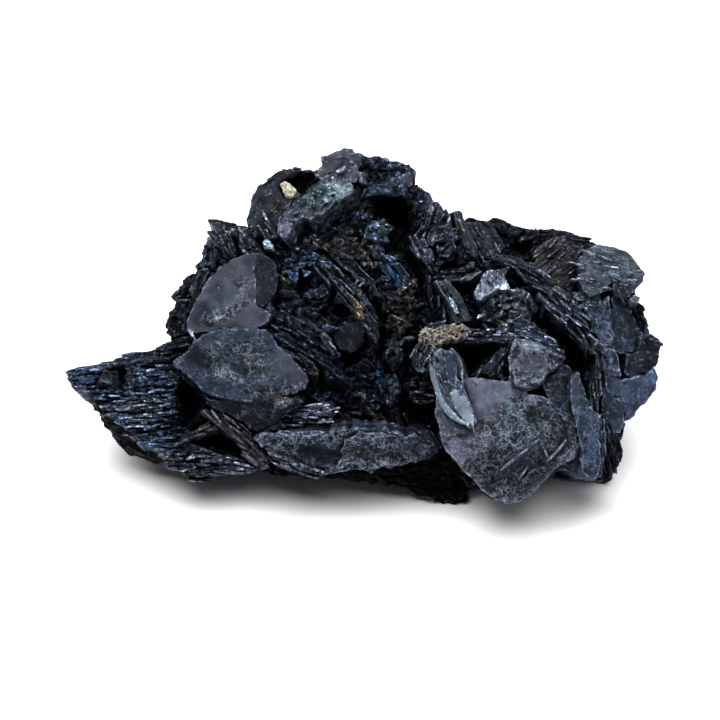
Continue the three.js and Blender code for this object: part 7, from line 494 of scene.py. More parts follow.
    (-8.16,0.39,0.98,0,0.37,-31,3.78,0.31,1.67,1,0.23),
    (11.39,5.82,18.06,-0.11,0.19,62,3.17,0.46,1.51,6,0.23),
    (8.19,9.18,-7.04,0.21,-0.5,-65,3.65,0.73,1.46,3,0.34),
    (9.3,10.66,21.16,0.29,-0.72,74,3.82,1.5,1.52,1,0.09),
    (3.47,6.59,19.47,0.3,0.3,-10,3.2,1.43,1.66,1,0.7),
    (8.83,5.29,12.11,0.19,-0.17,60,1.33,1.32,1.06,3,0.65),
    (13.96,5.94,22.03,-0.15,0.17,78,1.87,0.41,1.62,6,0.7),
    (7,4.61,-8.77,0.01,0.22,-67,3.52,0.42,1.36,1,0.09),
    (-2.25,7.43,6.45,-0.16,0.36,38,3.86,0.55,1.86,1,0.09),
    (-10.12,-2.59,-16.02,0.11,-0.03,-15,1.68,0.42,1.6,1,0.7),
    (-28.75,6.16,4.81,-0.6,-0.51,-43,3.35,1.22,1.32,0,0.11),
    (-4.67,3.09,-6.53,-0.07,0.45,-46,2.03,0.77,1.69,3,0.36),
    (27.93,-1.71,3.3,-0.03,0.6,-19,3.23,0.36,1.84,6,0.7),
    (19.26,7.14,16.48,0.11,0.26,-66,1.77,0.28,1.46,2,0.49),
    (-23.34,1.33,-17,0,0.03,-1,2.58,0.36,1.64,6,0.24),
    (6.04,10.38,30.1,-0.63,-0.16,-21,1.94,1.23,1.47,3,0.09),
    (-3.67,7.62,15.7,0.48,0.49,17,2.35,0.58,1.58,0,0.34),
    (-11.91,3.41,11.56,0.65,0.27,-7,3.87,0.79,1.81,3,0.14),
    (-3.32,7.29,20.94,-0.07,0.08,35,2.48,0.81,1.75,0,0.16),
    (6.72,9.16,18.31,0.18,0.1,19,2.51,1.41,1.15,0,0.14),
    (35.55,4.03,9.72,-0.12,0.03,-9,3.64,1.14,1.72,5,0.7),
    (37.78,1.34,1.17,0.21,0.38,-43,3.4,0.34,1.05,0,0.25),
    (13.94,4.89,-16.39,0.31,-0.78,-29,3.87,1.1,1.52,7,0.01),
    (36.57,9.18,0.14,-0.53,-0.02,-70,1.88,0.47,1.08,0,0.09),
    (-13.51,6.78,17.15,-0.79,-0.02,-42,2.27,1.42,1.24,0,0.1),
    (-13.96,1.47,5.6,0.2,0.47,-33,4.02,0.4,1.01,1,0.3),
    (-1.87,7.48,8.94,0.07,-0.45,24,1.93,1.33,1.2,1,0.09),
    (16.24,8.11,19.01,0.45,-0.38,-105,1.96,1.26,1.47,0,0.12),
    (12.97,4.86,19.71,0.06,0.5,46,3.58,1.2,1.1,6,0.38),
    (-0.78,10.49,19.62,-0.16,0.45,-5,3.24,0.68,1.83,1,0.34),
    (42.14,8.9,-1.59,0.23,1.03,39,3.15,0.74,1.56,1,0.09),
    (30.35,5.61,14.41,0.04,0.22,45,2.26,0.38,1.66,3,0.4),
    (-9.18,5.97,17.56,-0.12,0.05,-12,3.26,1.24,1.66,0,0.1),
    (36.06,8.92,2.5,0.12,-0.48,-76,2.62,0.81,1.06,1,0.18),
    (15.23,2.37,1.29,0.11,0.32,-82,1.37,0.59,1.67,1,0.09),
    (5.18,3.56,5.15,1.47,-0.29,-10,3.24,0.6,1.82,3,0.18),
    (2.4,10.49,24.09,-0.44,0,-10,1.89,1.06,1.38,1,0.18),
    (1.8,3.82,5.83,0.4,0.22,-61,3.86,0.47,1.57,0,0.38),
    (-1.92,7.47,22.58,-0.1,-0.15,24,1.79,0.53,1.3,0,0.2),
    (14.67,9.09,7.26,0.58,0.25,-22,3.72,1.03,1.14,6,0.23),
    (-8.81,7.57,15.19,-0.1,-0.37,15,3.62,0.61,1.73,1,0.09),
    (5.36,2.75,-11.35,0.19,0.37,-114,2.24,1.43,1.23,4,0.27),
    (4.51,9.27,18.21,0.55,0.32,-18,1.76,1.17,1.2,1,0.14),
    (0.49,3.63,-7.9,-0.05,0.01,-70,2.52,1.11,1.14,1,0.15),
    (14.07,2.06,1.77,-0.29,0.74,-28,2.96,1.02,1.52,1,0.09),
    (35.61,3.87,8.48,-0.06,-0.29,7,3.41,0.72,1.27,5,0.7),
    (14.44,9.17,15.78,-0.48,0.42,-15,4.08,0.5,1.34,1,0.18),
    (34.07,3.87,8.38,0.03,0.15,-56,3.98,0.46,1.48,0,0.52),
    (2.78,10.15,27.29,-0.38,0.7,1,3.91,0.94,1.53,1,0.52),
    (-29.1,1.58,-13.6,0.09,-0.03,-8,4.02,0.34,1.63,6,0.62),
    (24.27,9.03,18.51,0.26,1.18,-3,3.22,1.45,1.33,6,0.14),
    (-11.3,0.78,2.68,0.16,0.4,-39,1.99,0.3,1.5,1,0.44),
    (-9.82,5.49,14.59,-0.24,-0.38,29,3.24,1.33,1.18,0,0.49),
    (9.05,7.35,5.36,-0.03,-0.53,38,4.17,1.22,1.09,1,0.34),
    (-25.45,6.7,11.04,-0.31,0.06,-52,3.29,1.49,1.62,3,0.22),
    (-0.3,7.25,22.79,0.1,-0.14,53,3.24,0.97,1.44,1,0.26),
    (1.07,7.39,5.01,0.25,0.01,-43,1.84,1.01,1.63,1,0.34),
    (-18.31,-1.57,-13.34,0.13,-0.05,-30,2.27,0.35,1.08,4,0.42),
    (-5.52,0.63,-8.09,0.01,-0.09,5,3.03,0.36,1.21,6,0.7),
    (-0.38,7.33,12.74,-0.17,-0.6,-33,2.08,0.96,1.28,6,0.18),
    (-6.11,7.42,22.9,-0.33,-0.2,-13,1.65,1.4,1.35,0,0.2),
    (8.11,-0.96,1.03,-0.16,0.06,65,1.86,0.44,1.11,2,0.7),
    (7.58,7.3,4.31,-0.12,-0.9,18,2.63,0.7,1.22,3,0.14),
    (5.35,5.56,11.64,-0.04,0.67,4,3.62,0.56,1.78,0,0.12),
    (10.18,-1.34,1.78,-0.34,-0.07,63,3.46,0.47,1.76,2,0.48),
    (-8.12,6.79,20.54,0.06,-0.19,2,3.59,0.93,1.8,0,0.11),
    (1.96,8.71,25.57,-0.02,0.57,43,3.93,1.45,1.62,1,0.11),
    (-39.59,5.8,-1.88,-0.14,0.47,4,2.02,0.34,1.4,1,0.46),
    (11.33,4,-15.39,0.46,-0.77,-20,2.65,1.28,1.24,7,0.01),
    (25.52,2.99,9.41,0.47,-0.16,40,4.11,0.67,1.08,2,0.7),
    (-5.15,3.36,-4.66,0.04,0.01,55,1.59,0.88,1.13,1,0.36),
    (-29.05,4.9,0.78,-0.31,0.24,18,2.84,0.4,1.78,0,0.15),
    (-13.43,8.94,16.02,0.32,-0.31,-50,2.85,0.68,1.48,6,0.23),
    (21.16,-0.28,4,0.03,0.56,0,1.78,0.29,1.15,0,0.7),
    (-1.07,3.81,-6.86,0.28,-0.2,-69,2.91,1.33,1.69,3,0.12),
    (-7.08,6.85,19.44,0.44,0.26,-41,2,1.33,1.05,0,0.29),
    (-16.18,-0.88,-13.51,0.27,-0.01,-44,3.98,0.39,1.23,4,0.55),
    (28.18,8.93,6.68,0.2,-0.52,-7,2.21,0.84,1.43,6,0.14),
    (34.77,1.64,3.75,0.11,0.27,-61,3.71,0.49,1.2,0,0.25),
    (-0.62,7.92,25.57,-0.3,0.19,71,2.46,1.39,1.52,0,0.1),
    (41.92,9.16,-3.15,-0.68,-0.46,-19,3.56,0.92,1.22,1,0.34),
    (1.3,7.19,15.38,0.09,0.34,-18,3.06,1.5,1.77,3,0.21),
    (-5.56,3.4,4.91,-0.48,0.05,6,3.52,1.34,1.83,1,0.42),
    (3.5,5.57,-0.82,0.57,-0.07,-37,2.24,1.07,1.8,0,0.11),
    (-5.21,7.65,8.43,0.64,-0.01,31,3.61,0.77,1.38,0,0.34),
    (0.27,7.62,11.27,-0.26,-0.22,-65,1.97,1.19,1.75,0,0.23),
    (18.52,8.97,7.89,0.14,0.52,-3,1.95,0.77,1.57,6,0.18),
    (1.83,4.45,-4,-0.04,0.35,-44,3.66,0.51,1.4,1,0.2),
    (4.35,7.34,3.34,0.03,-0.46,-12,3.24,1.17,1.59,2,0.18),
    (22.89,2.42,-1.94,0.02,0.32,-54,2.11,0.92,1.12,6,0.18),
    (6.51,3.64,6.44,0.41,0.42,-18,3.97,0.54,1.35,3,0.42),
    (24.48,0.06,5.71,0.05,0.85,-29,3.61,0.33,1.4,0,0.37),
    (22,-0.74,0.76,-0.3,0.21,50,3.55,0.31,1.41,0,0.5),
    (17.72,7.2,-18.9,0.54,0,-69,2.3,1.14,1.72,1,0.18),
    (21.96,-1.31,-3.13,-0.27,0.09,33,1.96,0.36,1.52,0,0.65),
    (3.21,2.96,-10.36,0.52,-0.1,-114,3.4,0.81,1.82,4,0.18),
    (18.8,7.63,20.43,0.22,0.17,-62,2.96,0.31,1.17,2,0.38),
    (-7.53,0.54,-8.97,0.04,-0.11,-1,4.03,0.36,1.75,6,0.7),
    (8.58,9.41,23.27,0.03,0.36,12,3.24,1,1.39,1,0.61),
    (19.43,9.24,5.67,-0.61,0.05,-4,2.72,0.6,1.22,6,0.18),
    (2.3,5.99,1.65,-0.23,-0.47,1,3.2,1.07,1.57,0,0.11),
    (2.6,3.58,4.19,0.22,0.23,-50,2.28,0.35,1.4,0,0.19),
    (-2.06,4.21,11.58,0.11,0.06,-46,3.83,0.31,1.87,0,0.49),
    (-6.34,6.62,21.5,-0.62,-0.19,-61,3.4,0.92,1.38,1,0.42),
    (2.23,6.38,19.26,-0.04,0.17,-9,3.57,0.61,1.4,1,0.36),
    (39.95,4.77,14.67,0.35,0.46,-2,4.15,0.46,1.54,5,0.7),
    (7.04,7.32,-3.85,-0.03,0.52,-82,2.94,1.36,1.49,1,0.14),
    (30.03,9.13,7.89,0.58,0.07,13,3.76,0.77,1.09,1,0.34),
    (13.76,-6.04,-4.99,-0.08,0.03,-64,4.16,0.29,1.24,5,0.7),
    (-3.25,3.13,-8.82,-0.45,0.04,-50,1.57,1.24,1.09,4,0.27),
    (36.61,4.61,15.59,0.05,0.41,-9,2.57,0.36,1.29,5,0.33),
    (2.02,3.17,-8.75,-0.12,-0.12,-50,3.86,0.82,1.33,4,0.27),
    (4.51,5.34,10.32,-0.05,0.43,-46,3.97,0.56,1.05,0,0.12),
    (10.6,9.27,14.11,-0.09,-0.53,78,4.13,1.45,1.11,0,0.34),
    (-2.43,7.62,-1.44,0.62,0.26,47,3.85,1.35,1.89,1,0.18),
    (-4.96,7.7,23.33,-0.02,0.13,-18,2.49,1.07,1.4,2,0.38),
    (-21.58,6.47,20.01,0.04,0.12,-181,3.15,0.69,1.28,2,0.15),
    (-8.37,3.42,-6.19,0.06,0.24,81,2.24,1.29,1.09,6,0.34),
    (-23.93,1.39,-14.98,0.01,0.07,-4,4.16,0.37,1.83,6,0.7),
    (7.21,10.48,29.81,0.08,0.18,-96,1.58,0.78,1.74,6,0.14),
    (12,4.8,20.72,-0.13,0.47,13,2.08,0.61,1.87,6,0.3),
    (31.24,9.18,6.2,0.11,-0.04,-48,3.66,1.17,1.66,2,0.18),
    (16.97,2.1,-2.11,-0.23,0.46,-113,1.5,0.47,1.1,2,0.09),
    (-31.16,7.17,-15.65,-0.22,-0.85,-40,3.32,0.31,1.15,4,0.21),
    (-4.94,7.09,20.64,-0.24,-0.36,-2,3.36,0.96,1.24,0,0.26),
    (-8.74,7.42,11.81,-0.78,-0.3,55,4.1,0.91,1.65,1,0.18),
    (6.85,3.97,-17.55,0.33,-0.98,-51,2.72,0.84,1.2,7,0.01),
    (1.63,4.82,-1.04,-0.09,0.16,-45,3.8,1.45,1.58,1,0.12),
    (-1.67,3.41,-8.8,-0.13,-0.05,-52,2.25,0.54,1.87,4,0.27),
    (2.46,7.16,17.77,-0.02,0.05,8,2.65,1.43,1.46,1,0.34),
    (37.95,-2.81,-9.84,0.46,0.14,-71,4.03,0.39,1.13,6,0.34),
    (4.65,9.16,19.37,-0.7,-0.2,24,2.17,0.68,1.33,3,0.14),
    (19.7,9.1,14.51,-0.14,-0.07,-66,1.59,0.76,1.77,1,0.18),
    (8.1,8.67,22.1,-0.03,0.28,17,2.22,0.99,1.71,1,0.32),
    (-5.53,5.41,15.62,-0.06,0.23,1,3.24,0.88,1.55,1,0.7),
    (-3.4,7.73,24.41,0.12,0.43,19,2.56,1.35,1.39,0,0.2),
    (7.87,7.06,-16.34,0.43,0.23,-58,2.1,1.32,1.84,3,0.09),
    (7.82,3.79,6.95,-0.45,0.12,51,1.43,0.84,1.82,3,0.18),
    (-7.61,3.4,-0.29,-0.27,-0.24,-32,2.77,1.02,1.69,0,0.23),
    (2.66,4.44,-3.23,-0.21,0.74,-69,1.56,1.03,1.37,1,0.28),
    (-38.18,4.33,-8.67,-0.11,0.04,1,4.14,0.45,1.56,1,0.7),
    (1.51,4.66,-2.33,-0.45,0.52,-56,1.99,1.18,1.73,1,0.12),
    (30.58,6.49,18.57,-0.02,0.28,48,3.05,0.45,1.15,3,0.4),
    (0.58,7.75,26.46,-0.06,0.16,63,2.07,0.57,1.72,0,0.2),
    (-36.59,7.35,-13.36,-0.29,-0.75,-18,2.1,0.44,1.52,4,0.08),
    (6.83,9.96,26.41,0.21,-0.07,68,2.84,0.28,1.67,0,0.28),
    (4.2,7.31,4.56,-0.17,0.65,-33,4.2,1.14,1.83,0,0.14),
    (0.08,7.32,20.34,-0.31,0.34,-24,3.07,0.57,1.82,0,0.2),
    (18.47,-0.24,-1.7,-0.36,-0.02,59,2.94,0.41,1.72,0,0.5),
    (3.45,3.82,-6.4,0.7,-0.26,-80,3.36,0.51,1.71,1,0.07),
    (-2.64,7.61,-7.87,-0.47,0.07,0,3.52,0.63,1.44,1,0.14),
    (-10.76,3.36,-5.54,0.13,0.22,91,3.63,1.19,1.18,1,0.18),
    (15.21,5.04,13.97,-0.04,0.3,2,3.91,0.43,1.13,0,0.27),
    (-2.19,3.63,-6.55,0.32,0.34,-61,2.17,1.03,1.36,1,0.12),
    (10.68,1.43,-5.42,-0.11,0.24,-15,2.26,0.46,1.56,6,0.34),
    (34.74,8.92,10.96,-0.02,-0.09,34,4.06,0.72,1.86,1,0.23),
    (-0.58,3.33,-9.69,-0.22,0.46,-43,3.32,1.03,1.84,4,0.11),
    (-7.92,2.37,5.75,0.2,0.52,-36,3.85,1.18,1.76,1,0.28),
    (16.1,7.1,-20.52,-0.35,0.59,-107,3.03,0.68,1.24,0,0.09),
    (5.88,3.23,3.86,0.09,0.12,11,1.96,1,1.5,3,0.11),
    (27.86,4.12,9.01,0.28,0.02,38,2.5,1.48,1.05,6,0.32),
    (21.56,8.9,14.36,-0.38,0.45,-67,3.06,1.22,1.44,1,0.14),
    (32.83,6.63,18.4,0.07,0.06,32,2,0.5,1.57,3,0.2),
    (30.81,6.15,17.16,0.12,0.28,40,3.88,0.35,1.12,3,0.32),
    (16.98,9.08,10.03,-0.41,0.06,3,2.2,0.85,1.4,0,0.23),
    (-3.51,7.68,5.37,-0.17,-0.35,13,2.38,0.69,1.25,1,0.23),
    (-4.45,7.24,17.63,-0.63,0.27,-13,1.51,0.48,1.42,3,0.55),
    (-1.87,7.53,25.25,0.17,0.02,72,1.36,0.75,1.06,0,0.1),
    (3.77,5.34,11.6,0.02,0.39,-20,2.33,0.45,1.71,0,0.12),
    (-1.24,7.39,0.39,0.02,0.07,17,1.91,1.16,1.77,0,0.23),
    (25.63,-0.38,-4.69,0.19,-0.05,-64,2.52,1.05,1.14,1,0.09),
    (14.25,4.71,20.03,-0.43,0.2,18,3.14,1.34,1.41,6,0.38),
    (-30.88,5.14,-2.57,-0.09,0.14,7,2.05,0.4,1.33,1,0.7),
    (-14.88,-0.77,-14.76,0.24,0.11,-40,2.87,0.31,1.28,6,0.7),
    (-36.87,4.2,-7.7,-0.12,0.29,6,3.24,0.42,1.56,1,0.7),
    (4.37,5.65,16.08,0.2,0.26,-39,3.15,0.3,1.64,1,0.65),
    (-5.85,0.08,-0.49,0.16,0.45,-32,3.89,0.45,1.32,1,0.18),
    (25.03,9.23,11.65,-0.68,-0.21,51,2.24,1.17,1.41,1,0.23),
    (38.45,4.67,14.05,0.3,0.18,1,3.01,0.29,1.2,2,0.66),
    (-9.22,10.61,26.53,-0.06,0.02,-13,1.56,1.13,1.33,1,0.34),
    (1.22,4.39,-18.11,0.41,-0.4,-67,1.44,0.79,1.45,7,0.03),
    (38.68,9.11,10.42,0.2,-0.23,34,1.63,0.46,1.43,0,0.09),
    (24.02,8.93,16.9,0.36,-0.13,-11,4.19,1.23,1.42,1,0.18),
    (-24.74,4.48,-13.35,0.49,0.49,-88,3.6,0.57,1.2,1,0.18),
    (29.29,-1.85,3.54,-0.02,0.77,-15,2.22,0.48,1.86,0,0.7),
    (7.06,4.02,3.2,-0.27,0.23,12,3.42,0.92,1.39,0,0.34),
    (0.22,7.45,0.59,0.38,-0.05,-51,4.16,1.05,1.64,1,0.14),
    (-23.44,7.02,16.28,-0.39,0.32,-72,2.91,1.23,1.69,0,0.28),
    (9.36,10.14,25.78,-0.16,0.88,-34,1.99,1.15,1.19,1,0.61),
    (34.91,3.43,12.74,0.15,0.29,4,4.03,0.36,1.82,5,0.66),
    (6.7,5.11,12.72,0.19,0.29,-42,2.73,0.31,1.42,1,0.4),
    (20.91,2.22,2.42,-0.1,0.28,-56,2.57,1.23,1.05,1,0.18),
    (-29.26,3.14,-9.48,-0.1,0.09,-5,3.49,0.3,1.79,1,0.29),
    (41.76,9.09,-0.01,-0.18,0.18,32,3.7,1.03,1.85,6,0.34),
    (-8.84,-2.39,-16.21,-0.12,-0.1,-25,2.34,0.48,1.11,6,0.23),
    (5.53,3.69,-3.65,0.19,-0.5,-67,1.3,0.5,1.43,0,0.22),
    (-2.17,4.33,-17.76,0.03,-1.07,-32,3.26,0.92,1.81,7,0.03),
    (3.54,5.85,0.32,-0.5,0.12,-53,3.23,0.96,1.59,0,0.14),
    (-25.52,1.37,-15.02,0.1,-0.05,13,3.5,0.48,1.51,6,0.7),
    (-10.89,6.45,18.22,-0.27,0.53,-40,3.65,1.12,1.69,0,0.38),
    (-6,4.63,11.2,-0.13,0.13,12,2.1,1.23,1.32,3,0.21),
    (-1.98,7.28,20.31,-0.26,0.33,-9,3.63,1.08,1.16,0,0.16),
    (-25.22,3.48,-4.68,0.06,0.43,-76,2.78,1.49,1.36,1,0.09),
    (35.42,9.07,18.01,0.37,0.51,11,2.94,0.93,1.24,1,0.23),
    (25.72,-1.98,3.49,0.27,0.65,-28,2.32,0.34,1.48,0,0.6),
    (7.78,9.2,-11.67,-0.07,-0.28,-77,3.49,0.5,1.78,6,0.18),
    (18.21,8.87,12.68,0.42,0.1,-35,4.06,0.55,1.12,0,0.09),
    (4.02,4.29,-17.8,-0.57,-1.16,-50,1.69,1.22,1.41,7,0.02),
    (5.11,10.43,25.96,0.44,0.81,17,2.25,0.56,1.23,1,0.34),
    (2.23,7.62,8.47,0.03,0.08,-33,3.32,0.48,1.26,6,0.09),
    (9.92,5.92,19.28,-0.13,0.28,72,3.06,0.48,1.03,6,0.46),
    (-3.81,8.95,-11.02,0.12,0.4,-37,3.95,1.47,1.56,1,0.09),
    (-21.76,4.78,-11.6,0.36,-0.08,-49,3.28,0.68,1.74,0,0.14),
    (12.6,5.55,16.46,-0.14,-0.01,66,3.63,0.45,1.71,2,0.7),
    (9.46,8.99,-2.3,0.1,0.09,-45,3.75,0.47,1.24,1,0.14),
    (-4.2,3.96,12.65,0.2,0.19,-43,1.92,0.44,1.82,1,0.7),
    (28.1,2.46,11.1,0.01,0.39,-28,3.48,0.39,1.27,0,0.21),
    (1.58,10.42,31.11,-0.47,-0.57,-3,2.7,1.4,1.61,1,0.34),
    (-11.82,0.06,-11.04,0.04,0.05,-12,2.25,0.45,1.07,0,0.17),
    (4.07,10.7,22.21,0.21,0,3,1.83,1.2,1.81,1,0.14),
    (-22.15,6.37,16.16,0.09,-0.24,-53,3.45,1.29,1.47,6,0.28),
    (-8.43,3.37,-4.45,-0.41,-0.01,68,3.46,1.04,1.23,1,0.34),
    (16.52,2.41,-0.82,0.49,0.27,-79,4.11,0.54,1.1,6,0.34),
    (33.16,6.13,15.57,0.01,0.3,35,3.28,0.41,1.18,3,0.52),
    (-41.97,6.16,-2.44,-0.16,0.38,-4,3.16,0.48,1.22,1,0.7),
    (7.81,7.61,-1.55,-0.04,0.18,-80,2.06,0.61,1.3,6,0.23),
    (-21.46,1.45,-16.71,-0.02,-0.05,0,3.81,0.32,1.4,1,0.38),
    (19.69,2.83,7.04,-0.07,0.15,15,3.34,0.89,1.14,2,0.7),
    (4.99,3.4,-16.94,-0.31,-0.98,-100,2.2,0.56,1.39,7,0.01),
    (0.92,10.31,29.5,0.29,0.17,-6,1.67,1.5,1.03,1,0.4),
    (6.36,7.68,-2.7,0.08,0.16,-99,1.33,0.68,1.19,0,0.09),
    (16.35,8.89,11.02,-0.47,0.04,11,1.33,0.83,1.45,6,0.18),
    (24.44,2.94,10.09,0.72,-0.66,39,2.71,0.61,1.15,2,0.56),
    (36.88,1.64,3.16,0.19,0.46,-42,4.06,0.49,1.33,0,0.5),
    (22.82,-0.7,2.25,-0.24,0.13,46,3.61,0.37,1.48,0,0.5),
    (21.4,2.77,6.79,0.7,-0.05,23,3.85,1.04,1.64,6,0.56),
    (20.48,-0.27,-0.11,-0.26,-0.06,36,3.28,0.47,1.42,0,0.65),
    (-13.32,10.78,18.83,-0.15,-0.11,-112,1.53,1.06,1.12,0,0.14),
    (16.97,2.81,6.99,0.07,0.05,-48,2.87,0.29,1.64,2,0.65),
    (26.89,8.98,11.17,-0.32,0.09,19,3.48,0.81,1.55,0,0.14),
    (-27.8,0.36,-12.6,-0.24,0.3,21,3.3,0.31,1.9,1,0.45),
    (4.91,4.89,-18.62,-0.34,-0.44,5,3.56,0.7,1.63,7,0.01),
    (-27.38,5.45,5.39,-0.68,-0.67,-85,3.98,0.65,1.8,0,0.22),
    (-24.76,-0.21,-11.56,-0.25,0.1,13,2.07,0.42,1.03,6,0.45),
    (22.02,-0.98,-0.55,-0.23,0.14,54,4.06,0.48,1.08,0,0.4),
    (-2.93,7.54,1.13,0.46,-0.18,44,1.94,1.2,1.89,6,0.34),
    (-15.52,5.58,20.36,-0.18,0.37,-60,3.71,0.45,1.56,2,0.45),
    (-30.53,3.31,-8.63,0.06,0.2,6,2.43,0.29,1.21,2,0.29),
    (11.19,6.31,23.07,-0.23,0,74,3.36,0.43,1.62,6,0.7),
    (-3.06,7.44,9.38,-0.23,-0.3,-44,2.08,0.77,1.41,1,0.18),
    (31.87,1.37,5.97,0.29,0.24,-42,1.76,0.3,1.77,0,0.7),
    (-10.98,1.97,6.34,0.29,0.91,-86,2,0.7,1.2,2,0.28),
    (-4.13,7.63,10.56,0.07,0.7,13,2.19,1.29,1.81,2,0.14),
    (-19.38,4.63,-15.39,0.87,0.1,63,3.9,0.65,1.33,1,0.09),
    (-38.14,5.24,-4.35,0.01,0.22,5,2.89,0.48,1.83,1,0.7),
    (29.34,3.61,12.7,0.1,0.27,-43,2.35,0.34,1.01,3,0.21),
    (7.65,4.27,10.24,0.05,0.39,38,3.19,0.47,1.71,3,0.18),
    (27.91,6.16,15.48,-0.08,0.06,39,2.2,0.37,1.13,3,0.4),
    (-10.12,3.53,7.93,0.73,0.14,-10,3.48,0.75,1.07,0,0.14),
    (-28.54,2.5,-10.67,-0.13,0.13,9,2.51,0.38,1.47,1,0.46),
    (15.01,7.15,-20.16,0.27,-0.53,-68,1.48,0.65,1.29,7,0.02),
    (3.76,10.25,28.62,-0.3,-0.29,-57,4.04,0.64,1.84,1,0.2),
    (-8.52,7.29,12.96,-0.07,-0.15,51,3.55,0.93,1.05,1,0.14),
    (5.58,3.42,-5.17,0.01,-0.03,-88,3.08,0.94,1.39,0,0.14),
    (-6.62,7.34,16.81,0.49,-0.13,-18,1.66,1.11,1.02,6,0.09),
    (22.55,2.81,5.34,0,-0.12,-19,4.03,1.3,1.33,2,0.7),
    (-0.18,2.76,-10.84,0.17,0.96,-98,2.21,1.01,1.39,4,0.27),
    (-13.37,3.47,9.33,-0.15,0.08,-49,1.77,1.45,1.16,0,0.14),
    (2.87,4.25,-4.8,0.58,0.31,-78,2.82,1.39,1.32,1,0.07),
    (4.7,4.04,8.07,0.41,0.48,-13,2.76,1.33,1.01,3,0.11),
    (-29.06,3.9,-5.75,-0.05,0.22,7,2.6,0.35,1.81,1,0.7),
    (-10.1,3.6,1.85,-0.25,0.42,-48,2.59,1.25,1.7,2,0.18),
    (7.25,7.64,-0.49,-0.16,-0.25,-57,1.98,0.84,1.13,1,0.18),
    (10.23,8.97,-7.27,-0.21,-0.55,-73,1.43,1.02,1.42,1,0.09),
    (24.04,6.16,14.25,0.14,0.19,5,3.12,0.88,1.14,0,0.09),
    (32.49,9.05,2.58,-0.04,-0.19,-11,3.49,1.29,1.2,1,0.14),
    (-35.31,3.24,-10.32,0.06,0.37,5,3.36,0.3,1.71,3,0.7),
    (8.95,-1.22,-0.13,-0.19,0.11,63,1.72,0.46,1.35,2,0.3),
    (19.74,2.43,-3.1,0.51,0.2,-139,1.43,0.89,1.06,6,0.23),
    (8.98,7.34,10.03,-0.27,-0.03,37,2.91,0.98,1.76,0,0.14),
    (23.78,9,13.19,-0.04,0.09,-37,3.61,0.71,1.43,1,0.34),
    (5.77,3.56,1.64,-0.06,-0.22,-71,4.19,1.01,1.56,0,0.49),
    (-7.09,3.15,-4.01,-0.05,0.19,42,1.61,0.48,1.09,1,0.28),
    (-18.06,-1.08,-11.73,0.45,0.11,-42,2.88,0.41,1.62,4,0.55),
    (-24.53,6.8,12.47,-0.36,-0.19,-57,1.71,0.61,1.79,0,0.53),
    (5.6,4.07,9.81,0,0.32,-20,4.04,1.04,1.16,3,0.18),
    (-41.15,5.43,-4.91,-0.24,0.16,0,3.84,0.29,1.85,1,0.58),
    (-7.07,4.78,9.13,-0.01,0.13,56,3.47,1.36,1.29,1,0.21),
    (10.21,9.66,24.34,0.14,0.38,7,4.19,1.23,1.52,1,0.32),
    (-32.27,2.73,-12.37,0,0.28,10,2.04,0.4,1.44,1,0.58),
    (8.88,9.02,-9.65,0.19,0.17,-77,2.21,0.6,1.06,1,0.14),
    (-15.25,9,16.91,0.07,0.39,-96,3.33,1.07,1.83,1,0.23),
    (28.01,9.22,10.37,-0.21,-0.04,19,3.26,0.55,1.53,6,0.34),
    (16.08,2.47,2.6,0.23,0.29,-72,2.78,1,1.68,1,0.34),
    (0.62,7.35,21.99,0.23,0.31,5,3.48,1.19,1.74,6,0.2),
    (40.07,9.09,11.14,0.19,-0.1,34,3.86,0.79,1.41,6,0.14),
    (-25.7,5,9.68,-0.17,-0.69,-50,3.7,0.8,1.86,2,0.42),
    (0.64,5.77,13.98,0.13,0.3,-48,3.63,0.32,1.44,2,0.32),
    (-30.61,5.64,1.07,-0.24,-0.07,7,2.46,0.32,1.26,0,0.3),
    (11.93,4.66,19.21,0.95,-0.23,62,2.93,0.91,1.52,6,0.7),
    (-18.12,1.25,-16.31,0.03,-0.01,-14,3.71,0.49,1.24,6,0.62),
    (13.87,2.65,10.26,0.4,0,-56,3.3,0.49,1.65,2,0.25),
    (15.38,9.05,12.09,-0.65,0.34,0,2.02,1,1.43,1,0.09),
    (33.78,6.45,17.12,-0.11,0.47,44,1.69,0.45,1.83,3,0.4),
    (36.98,0.61,-8.2,0.26,0.02,-87,1.91,0.32,1.52,2,0.55),
    (1.69,5.5,10.36,-0.04,0.21,-85,2.06,0.63,1.3,0,0.12),
    (-38.86,5.1,-5.6,-0.12,0.43,-4,2.41,0.34,1.23,1,0.7),
    (18.08,2.4,-2.8,0.1,-0.21,-108,3.17,1.18,1.21,0,0.14),
    (-12.79,3.61,3.11,0.06,-0.07,-113,3.68,0.54,1.84,1,0.18),
    (0.04,4.38,-3.53,-0.39,0.08,-25,3.82,1.18,1.36,1,0.07),
    (23.04,9.21,18.7,0.24,0.19,-23,3,1.22,1.26,1,0.23),
    (-0.93,4.41,-17.81,-0.77,-0.9,-98,2.71,1.18,1.16,7,0.01),
    (-9.28,6.17,16.24,-0.46,0.45,-22,2.11,0.87,1.33,0,0.2),
    (0.62,3.82,-5.92,0.09,0.15,-50,2.75,1.33,1.02,3,0.28),
    (20.94,-0.93,-1.44,-0.22,0.21,58,2.71,0.31,1.29,0,0.4),
    (37.28,9.2,-2.07,-0.09,-0.31,-68,2.43,0.49,1.62,0,0.09),
    (21.72,7.96,19.37,0.13,0.29,-54,2.56,0.33,1.2,2,0.3),
    (25.73,3.09,12.84,0.2,0.4,-54,3.4,0.28,1.17,0,0.34),
    (-32.2,3.51,-8.83,-0.06,0.41,-4,2.47,0.3,1.71,1,0.7),
    (-6.16,7.02,18.25,0.27,-0.27,-21,2.84,1.39,1.31,3,0.7),
    (30.26,-4.24,0.17,0.19,0.21,-30,2.24,0.36,1.8,3,0.23),
    (24.33,2.97,8.17,-0.35,0.05,28,1.79,1.03,1.68,3,0.7),
